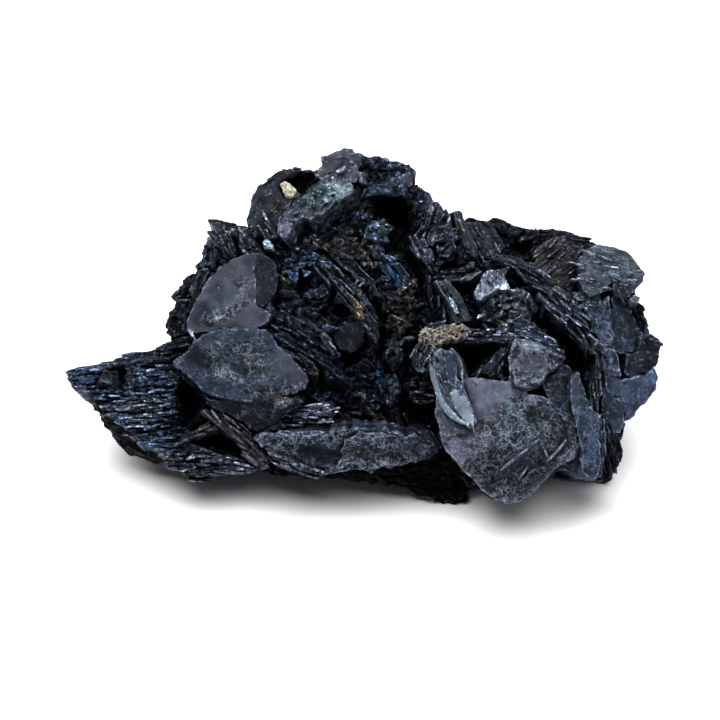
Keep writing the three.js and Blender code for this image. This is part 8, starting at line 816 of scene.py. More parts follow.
    (12,5.09,10.96,-0.14,-0.02,-92,3.8,0.32,1.65,0,0.21),
    (25.76,8.86,19.09,0.14,0.79,-79,1.51,0.84,1.86,0,0.2),
    (-8.61,4.93,8.8,-1.09,-0.14,11,4.13,1.44,1.7,1,0.13),
    (0.69,6.93,16.42,0.33,-0.4,43,1.53,0.87,1.68,3,0.42),
    (36.88,3.45,12.16,0.11,0.22,-10,3.05,0.3,1.65,5,0.53),
    (-33.47,3.8,-7.51,-0.2,0.24,4,3.04,0.33,1.6,2,0.7),
    (21.3,2.92,9.11,0.14,0.02,28,3.37,0.57,1.8,2,0.7),
    (-3.65,3.4,-4.09,-0.35,0.73,20,2.9,0.83,1.74,1,0.14),
    (-10.65,10.47,29.13,0.03,0.21,-33,2.55,0.54,1.42,1,0.09),
    (3.13,6.99,21.11,0.16,-0.14,56,4.06,0.65,1.89,1,0.7),
    (-19.72,4.74,-12.95,0.28,-0.45,-29,3.83,1.09,1.82,1,0.34),
    (4.7,10.73,30.54,0.55,0.4,3,3.6,0.48,1.03,6,0.14),
    (36.17,4.75,16.89,0.3,0.28,-15,3.13,0.5,1.54,5,0.7),
    (23.61,9.2,19.97,0.65,-0.04,-28,3.33,0.89,1.13,6,0.14),
    (-4.65,7.37,21.86,0.56,0.31,43,3.26,0.57,1.61,0,0.26),
    (26.9,-0.36,-4.35,0.01,-0.37,-38,1.78,0.58,1.26,0,0.14),
    (18.3,9.01,11.24,0.13,0.97,8,1.57,1.02,1.55,1,0.34),
    (8.38,10.58,20.14,0.2,0.57,69,1.63,0.98,1.71,1,0.18),
    (-32.62,5.11,-2.89,-0.06,0.28,6,1.7,0.47,1.45,1,0.29),
    (9.17,10.47,26.95,0.38,0.4,-15,2.43,1.08,1.05,1,0.26),
    (17.67,6.15,16.08,0.57,0.01,-66,3.94,0.92,1.39,6,0.12),
    (-23.3,3.34,-6.21,0.56,0.51,-49,2.69,0.67,1.13,6,0.23),
    (10.56,4.02,16.43,-0.04,0.22,-60,3.08,0.4,1.63,6,0.4),
    (35.06,3.58,7.07,-0.04,0.22,-41,3.98,0.4,1.55,0,0.52),
    (7.09,7.29,-6.37,0.07,0.2,-67,2.76,1.09,1.19,1,0.14),
    (3.38,7.57,8.5,0.03,-0.26,-26,2.54,1.27,1.86,0,0.23),
    (-13.07,5.76,14.7,-0.72,-0.29,0,1.31,0.76,1.83,0,0.49),
    (19.26,7.19,17.75,0.19,0.14,-63,3.72,0.38,1.11,2,0.3),
    (22.6,2.8,9.84,0.33,0.17,30,2.03,1.32,1.35,2,0.56),
    (26.82,-0.38,5.24,-0.19,0.97,-5,4.03,0.46,1.01,2,0.6),
    (10.63,6.79,-20.55,0.41,-0.24,39,1.34,0.48,1.5,7,0.01),
    (-20.65,-1.51,-8.72,0.12,-0.06,-45,3.21,0.29,1.26,4,0.7),
    (-3.53,3.38,-6.11,-0.02,0.63,-25,3.23,0.92,1.09,1,0.09),
    (-4.35,3.36,-3.2,-0.62,-0.28,53,3.17,0.78,1.21,1,0.14),
    (-5.3,0.71,-9.69,-0.03,-0.09,3,3.03,0.47,1.1,6,0.7),
    (32.43,5.66,13.9,-0.23,0.28,40,2.76,0.32,1.33,2,0.32),
    (-34.14,3.73,-8.68,-0.09,0.14,8,2.23,0.49,1.42,1,0.46),
    (10.37,7.46,10.71,-0.11,0.24,39,3.99,1.26,1.66,0,0.23),
    (13.06,-5.77,-3.57,-0.13,0.16,-52,3.25,0.34,1.39,5,0.7),
    (11.11,7.49,9.56,-0.1,0.01,58,1.56,1.07,1.15,1,0.23),
    (9.25,5.54,6.66,-0.2,-0.23,36,2.65,0.53,1.88,1,0.38),
    (-26.47,1.21,-16.98,0.25,0.06,14,3.38,0.29,1.12,6,0.7),
    (-21.77,3.49,-6.28,-0.07,-0.09,-29,4.12,0.62,1.61,6,0.14),
    (29.03,-2.1,-6.12,-0.08,-0.41,2,4.04,0.84,1.85,0,0.34),
    (16.04,6.15,21.23,0.22,0.08,-70,3,0.44,1.77,3,0.62),
    (-0.25,7.18,18.03,-0.54,0.36,38,3.78,0.54,1.39,3,0.42),
    (1.28,2.89,-10.27,0.39,0.02,-59,1.99,1.47,1.08,4,0.27),
    (-11.12,3.46,10.15,0.28,-0.53,-20,3.76,1.47,1.86,6,0.23),
    (-33.81,3.12,-10.35,-0.04,0.25,-2,3.24,0.42,1.32,1,0.7),
    (-29.27,4.72,-2.2,-0.17,0.27,-4,1.66,0.31,1.54,1,0.58),
    (38.23,1.02,-2.52,0.1,0.42,-91,4.06,0.35,1.66,2,0.34),
    (7.36,9.01,19.44,-0.06,-0.48,42,1.92,0.71,1.87,1,0.18),
    (14.16,4.72,18.88,-0.38,-0.19,21,2.6,1.09,1.56,1,0.49),
    (-4.35,7.36,7.63,0.51,0.14,12,1.82,1.37,1.47,6,0.23),
    (33.18,9.2,0.17,-0.55,-0.26,-11,3.85,1.32,1.73,1,0.09),
    (28.47,-2.58,2.2,0.09,0.86,-19,2.08,0.45,1.21,0,0.6),
    (-3.2,4.67,14.05,0.17,0.36,-53,3.18,0.49,1.71,0,0.38),
    (-4.67,7.63,3.72,-0.43,0.26,65,1.75,1.34,1.03,1,0.23),
    (20.25,6.18,15.27,-0.26,0.52,-72,1.82,0.54,1,3,0.23),
    (15.45,5.42,-17.6,0.09,-0.35,-49,2.93,1.31,1.39,7,0.01),
    (-23.52,4.62,-13.41,-0.32,0.22,-56,3.9,1.11,1.05,0,0.14),
    (-11.62,5.49,13.83,-0.2,0.08,4,2.26,0.71,1.6,0,0.21),
    (-39.88,5.76,-3.28,-0.04,0.41,7,2.92,0.29,1.65,1,0.7),
    (-10.63,5.47,12.22,0.17,-0.42,50,2.47,0.66,1.28,0,0.49),
    (-32.89,8.28,-14.59,-0.02,0.12,-44,1.95,1.04,1.3,1,0.09),
    (-7.44,3.27,6.84,0.13,-0.09,17,3.29,1.22,1.61,6,0.18),
    (34.67,4.13,14.98,0.12,0.2,-13,4.12,0.28,1.38,5,0.7),
    (-13.68,3.26,3.96,-0.19,-0.08,-130,1.69,1.12,1.21,3,0.09),
    (-25,1.23,-17.36,0.07,0.02,-1,3.82,0.48,1.05,3,0.24),
    (1.46,9.76,27.56,-0.03,0.54,-44,2.83,0.58,1.68,1,0.52),
    (-12.84,3.6,6.36,0.53,0.42,-50,4.17,0.91,1.58,0,0.18),
    (-36.22,5.96,-1.16,0.01,0.45,8,3.08,0.48,1.04,2,0.7),
    (2.71,6.92,16.17,-0.06,-0.76,-52,2.66,1.06,1.1,3,0.42),
    (9.25,1.23,-4.95,0.07,0.06,-3,1.65,0.48,1.62,6,0.34),
    (8.14,9.05,-8.33,0.1,0.06,-42,3.28,0.68,1.65,1,0.18),
    (18.8,2.35,-0.55,0.05,-0.15,-98,1.32,1.05,1.33,1,0.18),
    (11.34,-5.2,0.83,-0.19,0.11,-64,3.55,0.32,1.74,5,0.44),
    (20.6,2.46,1.34,0.39,0.01,-43,3.89,1.13,1.43,6,0.18),
    (-26.14,1.52,-13.71,-0.06,0.2,7,2.14,0.46,1.11,6,0.38),
    (38.24,-2.73,-15.77,0.43,0.05,-82,2.01,0.43,1.41,6,0.09),
    (-7.58,5.22,15.5,-0.41,0.56,25,2.01,1.05,1.43,1,0.36),
    (9.38,9.19,-8.26,0.81,-0.22,-49,1.38,1.31,1.41,0,0.23),
    (32.1,2.11,8.57,0.09,0.29,-42,2.51,0.48,1.04,0,0.65),
    (-1.89,7.23,18.68,-0.22,0.17,23,3.54,0.92,1.5,3,0.34),
    (-29.04,6.34,5.95,-0.17,0.21,-24,3.44,0.7,1.37,0,0.18),
    (12.22,8.87,-11.86,0.11,0.25,-86,2.07,0.7,1.84,1,0.09),
    (-0.95,7.37,7.94,-0.29,0.7,-22,2.77,0.51,1.26,2,0.23),
    (-5.91,3.8,6.36,-0.41,-0.16,-25,3.53,0.46,1.1,1,0.22),
    (11.42,5.45,6.54,-0.03,-0.03,11,2.14,0.51,1.12,1,0.1),
    (2.03,3.44,-7.45,-0.22,0.17,-67,1.75,0.91,1.88,1,0.15),
    (-7.29,4.58,10.47,0.16,-0.09,21,3.07,1.18,1.41,1,0.49),
    (41.89,5,13.35,0.12,0.27,5,1.79,0.34,1.33,5,0.66),
    (-30.55,1.9,-14.01,-0.11,0.18,-5,3.98,0.36,1.43,1,0.7),
    (-1.67,2.98,-10.81,0.14,-0.27,-82,1.47,0.61,1.04,4,0.18),
    (20.36,8.25,20.55,0.25,0.17,-66,4.13,0.33,1.1,2,0.19),
    (33.28,5.11,12.21,-0.05,0.1,33,2.13,0.46,1.33,3,0.32),
    (36.86,9.19,-5.28,-0.3,0.59,-18,1.48,1.17,1.02,1,0.09),
    (31.99,6.09,16.66,0.24,0.14,41,1.97,0.29,1.8,3,0.4),
    (28.64,3.98,13.79,0.08,0.6,-34,3.99,0.49,1.86,0,0.7),
    (23.58,-1.34,3.93,0.02,0.65,-30,1.95,0.44,1.34,2,0.6),
    (-22.1,-1.91,-8.69,0.25,0.17,-52,3.21,0.39,1.86,4,0.55),
    (33.53,-3.1,-13.64,0.01,-0.27,159,3.37,1.07,1.22,0,0.23),
    (32.88,1.31,4.48,0.21,0.2,-43,2.56,0.41,1.02,0,0.25),
    (-11.51,3.27,7.59,-0.8,-0.59,-51,3.05,1.19,1.11,1,0.34),
    (8.82,9.24,2.63,0.46,0.28,12,3.44,0.88,1.08,0,0.34),
    (2.09,10.5,22.16,0.24,0,41,1.75,0.46,1.21,6,0.09),
    (8.91,5.86,-18.37,0.37,-0.64,-12,3.03,0.81,1.65,7,0.01),
    (-36.55,4.94,-5.1,-0.18,0.3,0,2.39,0.46,1.07,1,0.46),
    (7.16,3.61,5.38,-0.06,0.01,2,2.77,0.46,1.71,3,0.29),
    (-30.57,4.35,-5.43,-0.2,0.35,-2,1.82,0.49,1.17,1,0.7),
    (26.79,9.26,19.76,-0.22,0.26,-8,2.56,0.74,1.08,0,0.09),
    (-37.56,6.48,-11.93,-0.1,-0.63,-19,2.61,0.4,1.08,4,0.16),
    (-6.73,3.05,-5.53,-0.3,0.42,60,1.8,0.98,1.81,1,0.28),
    (18.43,6.1,14.75,-0.09,-0.26,-102,1.97,1.44,1.2,0,0.12),
    (30.95,5.39,12.05,0,0.18,35,3.2,0.34,1.64,3,0.2),
    (-2.9,6.91,17.01,0.41,-0.36,41,2.67,0.79,1.41,3,0.7),
    (0.55,4.35,-4.63,0.07,0.42,-77,2.7,1.3,1.32,1,0.28),
    (-31.18,5.16,-0.83,-0.18,0.22,-2,2.54,0.41,1.48,1,0.58),
    (-38.18,5.43,-3.06,-0.15,0.17,9,2.36,0.41,1.62,1,0.58),
    (29.37,5.95,15.64,0.07,0.23,36,4.11,0.3,1.24,3,0.52),
    (-17.15,-1.42,-14.88,0.19,0.3,-39,4.19,0.46,1.69,4,0.42),
    (15.24,-6.44,-4.02,-0.08,0.2,-75,2.08,0.48,1.08,1,0.7),
    (-34.78,4.05,-7.07,0,0.38,7,2.77,0.39,1.24,1,0.58),
    (-11.44,-2.49,-16.28,0.06,0.08,-17,2.45,0.38,1.67,6,0.59),
    (-0.28,10.46,27.89,0.06,0.17,115,3.06,0.78,1.09,2,0.34),
    (-8.34,3.35,7.64,0.29,-0.25,2,3.73,1.23,1.67,0,0.23),
    (-11.82,6.45,16.67,0.39,-0.06,-16,2.91,1.16,1.13,0,0.26),
    (-9.6,6.92,21.39,-0.34,-0.11,-37,2.24,1.32,1.74,0,0.18),
    (-34.41,4.4,-5.22,-0.23,0.17,-7,2.4,0.42,1.65,1,0.29),
    (18.42,9.22,6.59,0.15,0.11,-25,2.86,0.89,1.4,6,0.34),
    (41.08,4.63,9.9,0.08,-0.15,-64,3.79,0.48,1.48,2,0.5),
    (6.09,4.87,-18.73,-0.49,-0.58,-28,3.72,1.26,1.63,7,0.01),
    (0.63,7.43,6.17,-0.34,-0.55,-36,3.35,0.66,1.71,1,0.09),
    (41.95,4.88,10.97,0.24,0.03,-64,2.7,0.34,1.84,2,0.65),
    (13.85,-6.35,-6.7,0,0.09,-65,2.73,0.37,1.19,5,0.7),
    (-33.05,4.52,-5,-0.33,0.35,7,1.97,0.31,1.24,1,0.7),
    (9.03,9.1,-11.55,0.11,-0.14,-79,2.11,1.29,1.18,1,0.18),
    (-25.01,1.41,4.28,-0.35,0.17,-134,1.57,1.32,1.64,0,0.12),
    (13.66,5.06,8.64,-0.04,-0.02,-85,3.11,0.48,1.64,0,0.49),
    (-6.39,7.41,7.66,-0.33,0.54,37,3.52,1.48,1.46,6,0.14),
    (19.18,9.03,13.4,-0.13,0.27,-56,3.63,0.98,1.35,1,0.23),
    (-20.26,4.59,-14.65,-0.63,-0.23,-22,3.64,0.68,1.41,0,0.18),
    (6.27,7.56,-7.18,-0.24,0.2,-66,4.11,0.7,1.63,6,0.14),
    (-7.73,6.14,17.53,0.21,0.34,24,3.18,1.05,1.89,0,0.2),
    (12.87,7.01,-20.37,0.05,-0.78,-57,2.31,1.17,1.57,7,0.01),
    (18.28,-0.26,4.29,-0.06,0.63,3,1.82,0.31,1.27,0,0.7),
    (-6.9,6.04,13.78,-0.34,0.42,84,3.76,0.54,1.23,1,0.1),
    (13.15,5.15,13.23,0.14,0.42,10,3.63,0.37,1.29,0,0.44),
    (-23.15,4.67,-11.95,0.02,0.16,-64,2.96,0.67,1.29,6,0.34),
    (-27.82,4.9,2.27,-0.12,0.05,14,2.12,0.38,1.55,3,0.39),
    (6.3,5.43,14.05,0.04,0.26,-48,3.09,0.41,1.1,1,0.25),
    (28.31,6.24,16.87,0.08,0.23,38,3.14,0.29,1.63,3,0.52),
    (-22.34,6.84,17.53,-0.83,0.15,-55,1.94,1.46,1.73,0,0.36),
    (-9.27,3.62,-5.47,0.33,-0.12,53,1.4,0.58,1.77,6,0.23),
    (37.69,-3.01,-17.11,0.39,-0.05,-76,3.14,0.39,1.02,6,0.14),
    (11.01,4.77,12.64,0.05,-0.02,-91,1.78,0.42,1.57,0,0.34),
    (11.64,5.74,8.05,0.41,-0.23,50,3.32,1.13,1.3,1,0.16),
    (-26.07,4.68,-12.47,0.11,-0.54,-91,3.4,0.79,1.02,0,0.18),
    (13.12,2.82,11.71,0.13,-0.02,-44,2.1,0.39,1.03,2,0.7),
    (-18.47,4.66,20.01,0.02,0.05,-52,2.68,0.44,1.16,2,0.7),
    (16.86,-6.88,-7.27,0.1,0.16,-75,2.63,0.36,1.07,5,0.44),
    (-33.96,2.87,-11.72,0,0.11,5,2.25,0.42,1.15,1,0.29),
    (-6.59,3.69,5.41,0.27,-0.35,23,3.39,1.16,1.9,6,0.23),
    (32.56,9.22,1.16,0.08,0.37,-25,3.37,1.23,1.55,0,0.14),
    (-32.47,3.01,-10.36,-0.12,0.19,19,3.14,0.4,1.69,1,0.58),
    (8.95,4.54,17.12,-0.2,0.28,-66,2.51,0.49,1.46,6,0.7),
    (11.95,6.89,-21.08,0.29,0.28,14,3.11,0.99,1.71,1,0.23),
    (10.21,4.17,-15.83,-0.35,-1.54,-92,3.63,0.53,1.12,7,0.02),
    (39.36,5.21,15.96,0.29,0.23,-16,3.18,0.47,1.22,5,0.53),
    (22.63,6.24,14.65,0.52,0.1,45,2.06,1.23,1.21,6,0.18),
    (4.36,3.09,-10.26,-0.44,-0.2,-106,2.92,0.52,1.07,4,0.07),
    (43.91,9.11,8.68,-0.25,0.13,-33,3.42,1.45,1.48,2,0.09),
    (-40.58,4.73,-7.39,-0.24,0.29,12,3.53,0.48,1.1,6,0.7),
    (15.16,6.25,-18.78,-0.07,-0.54,-10,2.51,0.65,1.44,7,0.01),
    (36.88,3.96,9.82,0.08,-0.18,0,1.84,1.11,1.09,5,0.44),
    (42.33,9.22,1.05,0.12,0.58,14,3.64,1.05,1.65,6,0.14),
    (-8.44,10.64,27.51,-0.13,-0.32,-13,3.52,1.2,1.65,0,0.23),
    (42.77,9.18,9.45,0.52,0.02,24,4.17,0.56,1.22,6,0.18),
    (-33.35,5.92,-0.31,-0.01,0.39,11,4.11,0.47,1.82,1,0.7),
    (35.79,8.93,-4.15,-0.39,-0.32,-43,1.45,0.47,1.37,6,0.14),
    (26.27,2.74,8.41,-0.26,-0.52,87,3.6,1.44,1.29,2,0.7),
    (-28.12,6.39,3.68,-0.61,-0.04,-61,2.77,0.69,1.49,7,0.2),
    (-12.01,0.5,-9.45,-0.22,0.09,6,2.23,0.45,1.43,3,0.46),
    (-3.5,7.12,19.69,0.27,0.07,1,2.53,0.63,1.5,0,0.38),
    (28.47,2.1,-3.66,0.26,0.38,9,2.11,0.7,1.68,1,0.23),
    (28.87,9.2,8.09,0.25,0.38,-4,3.22,0.68,1.48,1,0.09),
    (-10.3,0.51,-10.1,-0.01,0.21,-2,3.25,0.38,1.51,3,0.7),
    (6.51,4.51,11.18,-0.17,0.4,26,1.89,0.56,1.23,3,0.65),
    (3.75,10.68,26.02,0.5,-0.08,31,3.83,1.07,1.5,1,0.18),
    (36.95,9.29,1.22,0.72,-0.1,-31,3.6,0.46,1.53,1,0.23),
    (-3.55,7.4,22.85,-0.11,-0.76,-16,3.42,1.13,1.2,0,0.26),
    (40.37,9.17,9.97,-0.01,0.07,3,3.79,1.18,1.62,6,0.14),
    (-5.22,4.34,9.62,0.22,0.38,62,1.67,0.67,1.55,1,0.13),
    (22.05,9.03,20.77,0.42,0.02,-36,2.03,1.06,1.88,6,0.23),
    (-17.81,0.49,-10.55,0,0.25,-22,1.69,0.45,1.74,0,0.66),
    (10.46,6.04,21.91,-0.06,-0.04,77,2.91,0.31,1.43,6,0.23),
    (-3.3,6.93,18.14,-0.32,0.16,39,1.47,1.27,1.06,3,0.34),
    (-23.63,2.99,-7.66,0.48,0.65,-61,3.27,1.03,1.63,0,0.04),
    (11.2,1.48,-4.05,0.09,0.11,4,2.28,0.34,1.71,6,0.13),
    (-7.68,3.36,-2.96,-0.28,0.08,109,2.29,1.24,1.64,1,0.34),
    (-22.26,1.43,-15.61,-0.17,0.05,3,2.26,0.45,1.83,6,0.7),
    (34.14,9.28,3.4,-0.28,-0.07,-13,4.06,0.98,1.64,6,0.18),
    (13.23,4.48,17.83,-0.22,0.27,33,2.91,0.61,1.11,6,0.3),
    (15.17,7.8,-21.98,0.17,-0.96,-72,3.68,1.34,1.86,7,0.02),
    (-19.69,8.9,16.35,0.11,0,-42,3.76,1.12,1.72,1,0.09),
    (-16.58,0.33,-11.33,-0.02,0.25,-20,3.22,0.32,1.69,0,0.66),
    (-9.83,-0.65,0.31,0.25,0.43,-40,2.25,0.31,1.05,4,0.2),
    (13.69,5.54,-17.8,-0.23,-0.7,-60,1.72,1.28,1.65,7,0.01),
    (-5.62,6.59,19.25,-0.46,0.02,34,3.7,1.18,1.61,0,0.11),
    (38.6,-2.6,-13.41,0.66,-0.03,-66,3.73,0.43,1.48,6,0.23),
    (6.53,8.97,16.88,0.54,0.75,41,3.21,1.32,1.05,0,0.18),
    (-30.47,2.92,-10.32,0,0.2,8,2,0.35,1.59,1,0.46),
    (9.28,9.14,15.76,0.24,-0.23,19,1.91,1.42,1.1,0,0.09),
    (-4.2,1.2,0.37,0.28,0.11,30,1.68,0.75,1.62,1,0.14),
    (3.27,4.33,5.53,0.22,0.46,-58,2.66,0.42,1.34,0,0.49),
    (27.39,3.3,12.66,0.08,0.4,-27,2.07,0.32,1.07,0,0.42),
    (-25.55,4.7,-10.57,-0.86,-0.1,-106,2,0.57,1.19,0,0.34),
    (-35.64,7.42,-14.4,-0.31,-0.8,-34,3.71,0.38,1.19,4,0.16),
    (-13.25,-2.83,-14.57,-0.13,-0.12,-19,1.71,0.42,1.31,6,0.7),
    (-9.65,3.5,9.16,0.04,0.27,8,2.1,1.13,1.31,0,0.09),
    (10.38,3.51,15.15,-0.23,0.2,-57,3.69,0.46,1.58,6,0.25),
    (39.3,4.44,12.72,0.11,0.29,-13,2.58,0.39,1.51,5,0.66),
    (29.75,2.67,10.82,0.28,0.47,-40,2.19,0.42,1.13,2,0.5),
    (33.69,5.51,14.19,0.14,0.29,38,2.52,0.33,1.62,3,0.52),
    (-14.34,5.33,20.86,-0.16,0.03,-49,3.27,0.4,1.32,2,0.23),
    (10.1,1.63,-3.28,-0.1,0.17,2,2.19,0.34,1.71,6,0.13),
    (33.56,-2.66,-12.53,-0.11,0.04,88,4.08,0.63,1.18,0,0.23),
    (5.5,3.91,2.79,-0.54,0.37,-3,3.39,1.47,1.8,0,0.26),
    (-31.67,4.38,-4.68,-0.12,0.3,0,2.59,0.44,1.75,1,0.46),
    (-37.8,4.53,-6.44,0.02,0.21,3,2.65,0.28,1.41,1,0.58),
    (-23.57,1.25,4.36,-0.15,0.22,-130,2.33,1.09,1.76,0,0.2),
    (25.86,3.19,6.89,0.14,0.11,24,3.68,0.84,1.49,6,0.4),
    (7.99,8.94,-10.48,0.1,-0.01,-78,3.13,1.14,1.48,0,0.14),
    (-27.86,1.32,-14.65,0.02,0.01,5,2.27,0.43,1.68,6,0.24),
    (12.62,5.89,22.01,-0.15,0.05,64,2.77,0.35,1.03,6,0.37),
    (40.99,5.59,15.72,0.39,0.34,-20,3.15,0.42,1.69,5,0.7),
    (-29.97,2.27,-12.1,-0.27,0.3,-3,3.04,0.3,1.86,1,0.58),
    (-37.51,6.12,-0.78,-0.09,0.21,5,1.87,0.29,1.54,1,0.7),
    (-20.35,-1.32,-10.64,0.19,0.18,-40,3.68,0.4,1.18,4,0.34),
    (-8.76,-0.77,-0.39,0.26,0.14,-39,3.22,0.39,1.5,1,0.25),
    (-7.44,0.65,-10.7,-0.02,-0.07,6,2.68,0.32,1.4,6,0.46),
    (2.83,4.96,-1.75,-0.58,0.41,-37,1.43,0.46,1.6,1,0.28),
    (8.32,1.43,-3.98,0.15,0.11,2,1.68,0.49,1.63,6,0.13),
    (43.94,9.16,6.55,0.1,0.25,-23,1.52,0.63,1.52,0,0.23),
    (25.36,3.58,14.55,0.07,0.42,-29,1.63,0.38,1.29,0,0.21),
    (10.93,-5.19,-0.37,-0.11,0.05,-69,3.19,0.46,1.66,2,0.7),
    (-15.92,12.66,19.35,-0.12,-0.47,-55,4.18,0.61,1.47,6,0.14),
    (31.35,1.82,7.18,0.26,0.18,-36,3.69,0.5,1.22,0,0.5),
    (13.24,7.99,-21.8,0.4,-0.36,-69,2.8,0.89,1.6,7,0.02),
    (-0.66,7.2,21.43,-0.37,0.13,-10,3.59,1.2,1.62,0,0.1),
    (-5.19,0.78,-11.07,-0.13,0.09,2,3.29,0.3,1.03,6,0.46),
    (38.78,-2.4,-10.86,0.6,0.07,-83,2.95,0.46,1.57,6,0.18),
    (-13.76,7.05,-16.33,0.4,0.13,-13,1.7,0.69,1.71,6,0.34),
    (15.98,2.9,8.19,0.24,0.02,-66,1.74,0.49,1.08,2,0.4),
    (-8.16,3.36,-1.9,0.06,0.2,26,2.94,1.13,1.8,1,0.34),
    (37.07,1.09,-0.62,0.08,0.09,-82,1.9,0.29,1.57,2,0.7),
    (11.47,8.98,-9.46,0.24,0.53,-80,1.38,0.87,1.26,6,0.14),
    (5.33,5.76,15.19,0.18,0.31,-42,3.96,0.28,1.83,1,0.7),
    (-3.94,0.51,-7.56,0.02,0.08,8,2.33,0.43,1.77,6,0.7),
    (-15.02,3.31,4.82,-0.28,0.1,-136,1.91,1.29,1.8,6,0.23),
    (-13.41,10.77,20.07,-0.14,-0.16,-36,2,1.05,1.33,1,0.23),
    (15.84,-6.98,-9.16,-0.14,0.05,-65,3.58,0.41,1.26,5,0.7),
    (37.28,9.3,-3.38,0.07,-0.08,-70,2.07,0.81,1.09,3,0.09),
    (-4.12,0.89,2.14,0.26,0.33,-52,2.43,0.41,1.03,2,0.65),
    (31.53,8.89,3.37,-0.02,0.17,-33,1.7,1.35,1.64,0,0.14),
    (29.52,-4.48,1.2,0.36,0.55,-28,3.28,0.41,1.84,6,0.7),
    (-34.15,6.91,-13.85,-0.14,-0.61,-27,1.76,0.42,1.49,4,0.21),
    (-7.2,10.71,29.45,-0.39,0.77,74,3.69,0.54,1.01,6,0.18),
    (-34.59,5.76,-0.51,-0.18,0.13,-4,1.86,0.36,1.16,1,0.46),
    (-41.79,5.32,-6.04,-0.14,0.31,-5,3.94,0.48,1.74,1,0.46),
    (29.14,9.25,5.1,-0.04,-0.05,3,3.92,1.35,1.47,1,0.34),
    (-12.01,3.44,9.04,-0.25,0.11,-39,4.16,0.51,1.52,6,0.34),
    (34.32,9.11,-2.84,-0.42,0.05,-6,3.98,1.07,1.85,6,0.34),
    (11.87,8.94,-7.8,0.32,-0.17,-52,1.39,1.01,1.52,1,0.09),
    (-33.94,4.76,-3.86,-0.17,0.35,5,2.84,0.3,1.79,1,0.29),
    (5.31,8.95,17.01,-0.56,-0.07,3,1.85,0.66,1.81,0,0.34),
    (-16.49,8.93,16.96,0.37,0.07,-41,1.5,1.24,1.16,1,0.18),
    (23.9,2.9,6.96,0.33,-0.71,-20,1.3,1.37,1.22,2,0.7),
    (-14.87,5.86,22.4,-0.26,0.11,-58,3.42,0.37,1.09,2,0.7),
    (-11.52,10.39,19.59,0.55,0.18,-58,1.96,1.1,1.19,1,0.34),
    (23.59,2.34,-3.54,0.02,0.26,-98,2.04,1.39,1.14,1,0.09),
    (-2.65,-0.63,-2.99,0.28,0.38,-36,4.01,0.3,1.25,1,0.12),
    (-0.97,10.53,26.9,0.19,0.11,101,3.66,0.68,1.43,6,0.34),
    (8.3,4.84,18.28,-0.46,0.24,-62,3.33,0.5,1.35,6,0.4),
    (12.18,-5.88,-2.65,-0.27,0.25,-64,2.17,0.44,1.73,5,0.7),
    (10.51,8.92,-11.2,0.16,0.97,-77,3.05,1.1,1.04,6,0.14),
    (-8.9,7.65,10.38,-0.26,-0.01,58,1.74,0.84,1.66,1,0.09),
    (-5.08,3.9,13.85,0.34,0.3,-45,3.51,0.41,1.61,0,0.19),
    (12.42,4.7,9.19,-0.01,-0.05,-88,2.66,0.41,1.07,0,0.49),
    (29.67,9.05,19.43,-0.16,0.2,-49,1.52,1.39,1.89,3,0.09),
    (-24.33,3.26,-5.54,-0.02,-0.13,-62,2.26,0.94,1.66,6,0.34),
    (-5.61,2.77,-5.88,0.02,0.01,48,2.08,0.9,1.43,1,0.36),
    (4.51,3.63,-3.05,0.05,0.49,-71,2.18,1.09,1.65,0,0.28),
    (-2.94,2.94,-9.97,0.79,-0.5,-7,3.61,1.46,1.01,4,0.27),
    (7.74,7.52,-5.16,0.42,0.18,-57,3.32,0.9,1.53,6,0.09),
    (34.41,9.11,-1.62,0.19,0.65,-13,2.51,0.86,1.43,3,0.34),
    (13.51,6.93,-14.43,-0.03,-0.06,-34,3.65,0.5,1.44,1,0.14),
    (-39.73,5.28,-4.62,-0.12,0.22,14,4.16,0.45,1.01,1,0.29),
    (-35.74,5.08,-4.07,-0.2,0.16,16,2.69,0.31,1.32,1,0.46),
    (1.52,6.04,0.42,-0.14,-0.79,-23,4.17,0.75,1.84,3,0.18),
    (-1.49,7.32,13.52,0.93,-0.15,-32,2.02,1.27,1.21,3,0.23),
    (43.2,4.92,12.62,0.18,0.34,0,2.51,0.37,1.05,2,0.7),
    (36.73,9.29,5.88,-0.13,-0.52,-19,2.94,0.97,1.03,1,0.34),
    (-10.17,1.64,4.32,0.24,0.49,-36,2.55,0.4,1.04,1,0.3),
    (35.84,4.09,13.78,0.21,0.31,-7,3.61,0.32,1.41,5,0.53),
    (4.93,5.12,13.9,0.1,0.22,-62,3.48,0.48,1.29,1,0.4),
    (-27.5,1.54,-16.2,0.01,0.03,-4,2.42,0.48,1.17,6,0.24),
    (17.47,-0.86,3.17,0.12,0.36,-16,2.36,0.38,1.25,0,0.7),
    (-29.27,5.56,2.14,-0.28,0.17,10,2.99,0.46,1.68,3,0.24),
    (17.22,9.28,12.14,-0.2,0.35,-40,2.27,0.6,1.71,0,0.34),
    (-41.17,6.09,-1.38,0.05,0.27,7,3.8,0.5,1.19,1,0.7),
    (5.36,10.61,29.2,-0.09,-0.7,-38,2.82,0.58,1.34,0,0.14),
    (-7.14,-2.44,-16.86,-0.05,-0.09,-14,2.13,0.47,1.84,6,0.45),
    (40.88,8.92,1.24,0.43,0.1,-4,3.57,1.01,1.42,6,0.34),
    (-9.99,10.65,25.66,0.26,-0.13,-56,4.17,0.87,1.1,1,0.34),
    (11.69,4.78,-16.55,-0.46,-0.11,-57,2.34,1.49,1.84,7,0.01),
    (32.49,8.9,4.81,-0.06,0.5,-10,2.98,1.07,1.4,0,0.18),
    (0.95,4.4,8.07,0.3,0.24,-60,3.05,0.46,1.86,6,0.38),
    (-18.99,-1.45,-10.81,0.34,0.12,-32,3.58,0.29,1.4,4,0.42),
    (-20.45,4.71,-12.01,-0.27,0.56,-83,3.38,0.78,1.76,1,0.14),
    (14.37,6.94,-15.33,-0.64,0.13,-53,4.11,1.46,1.14,0,0.23),
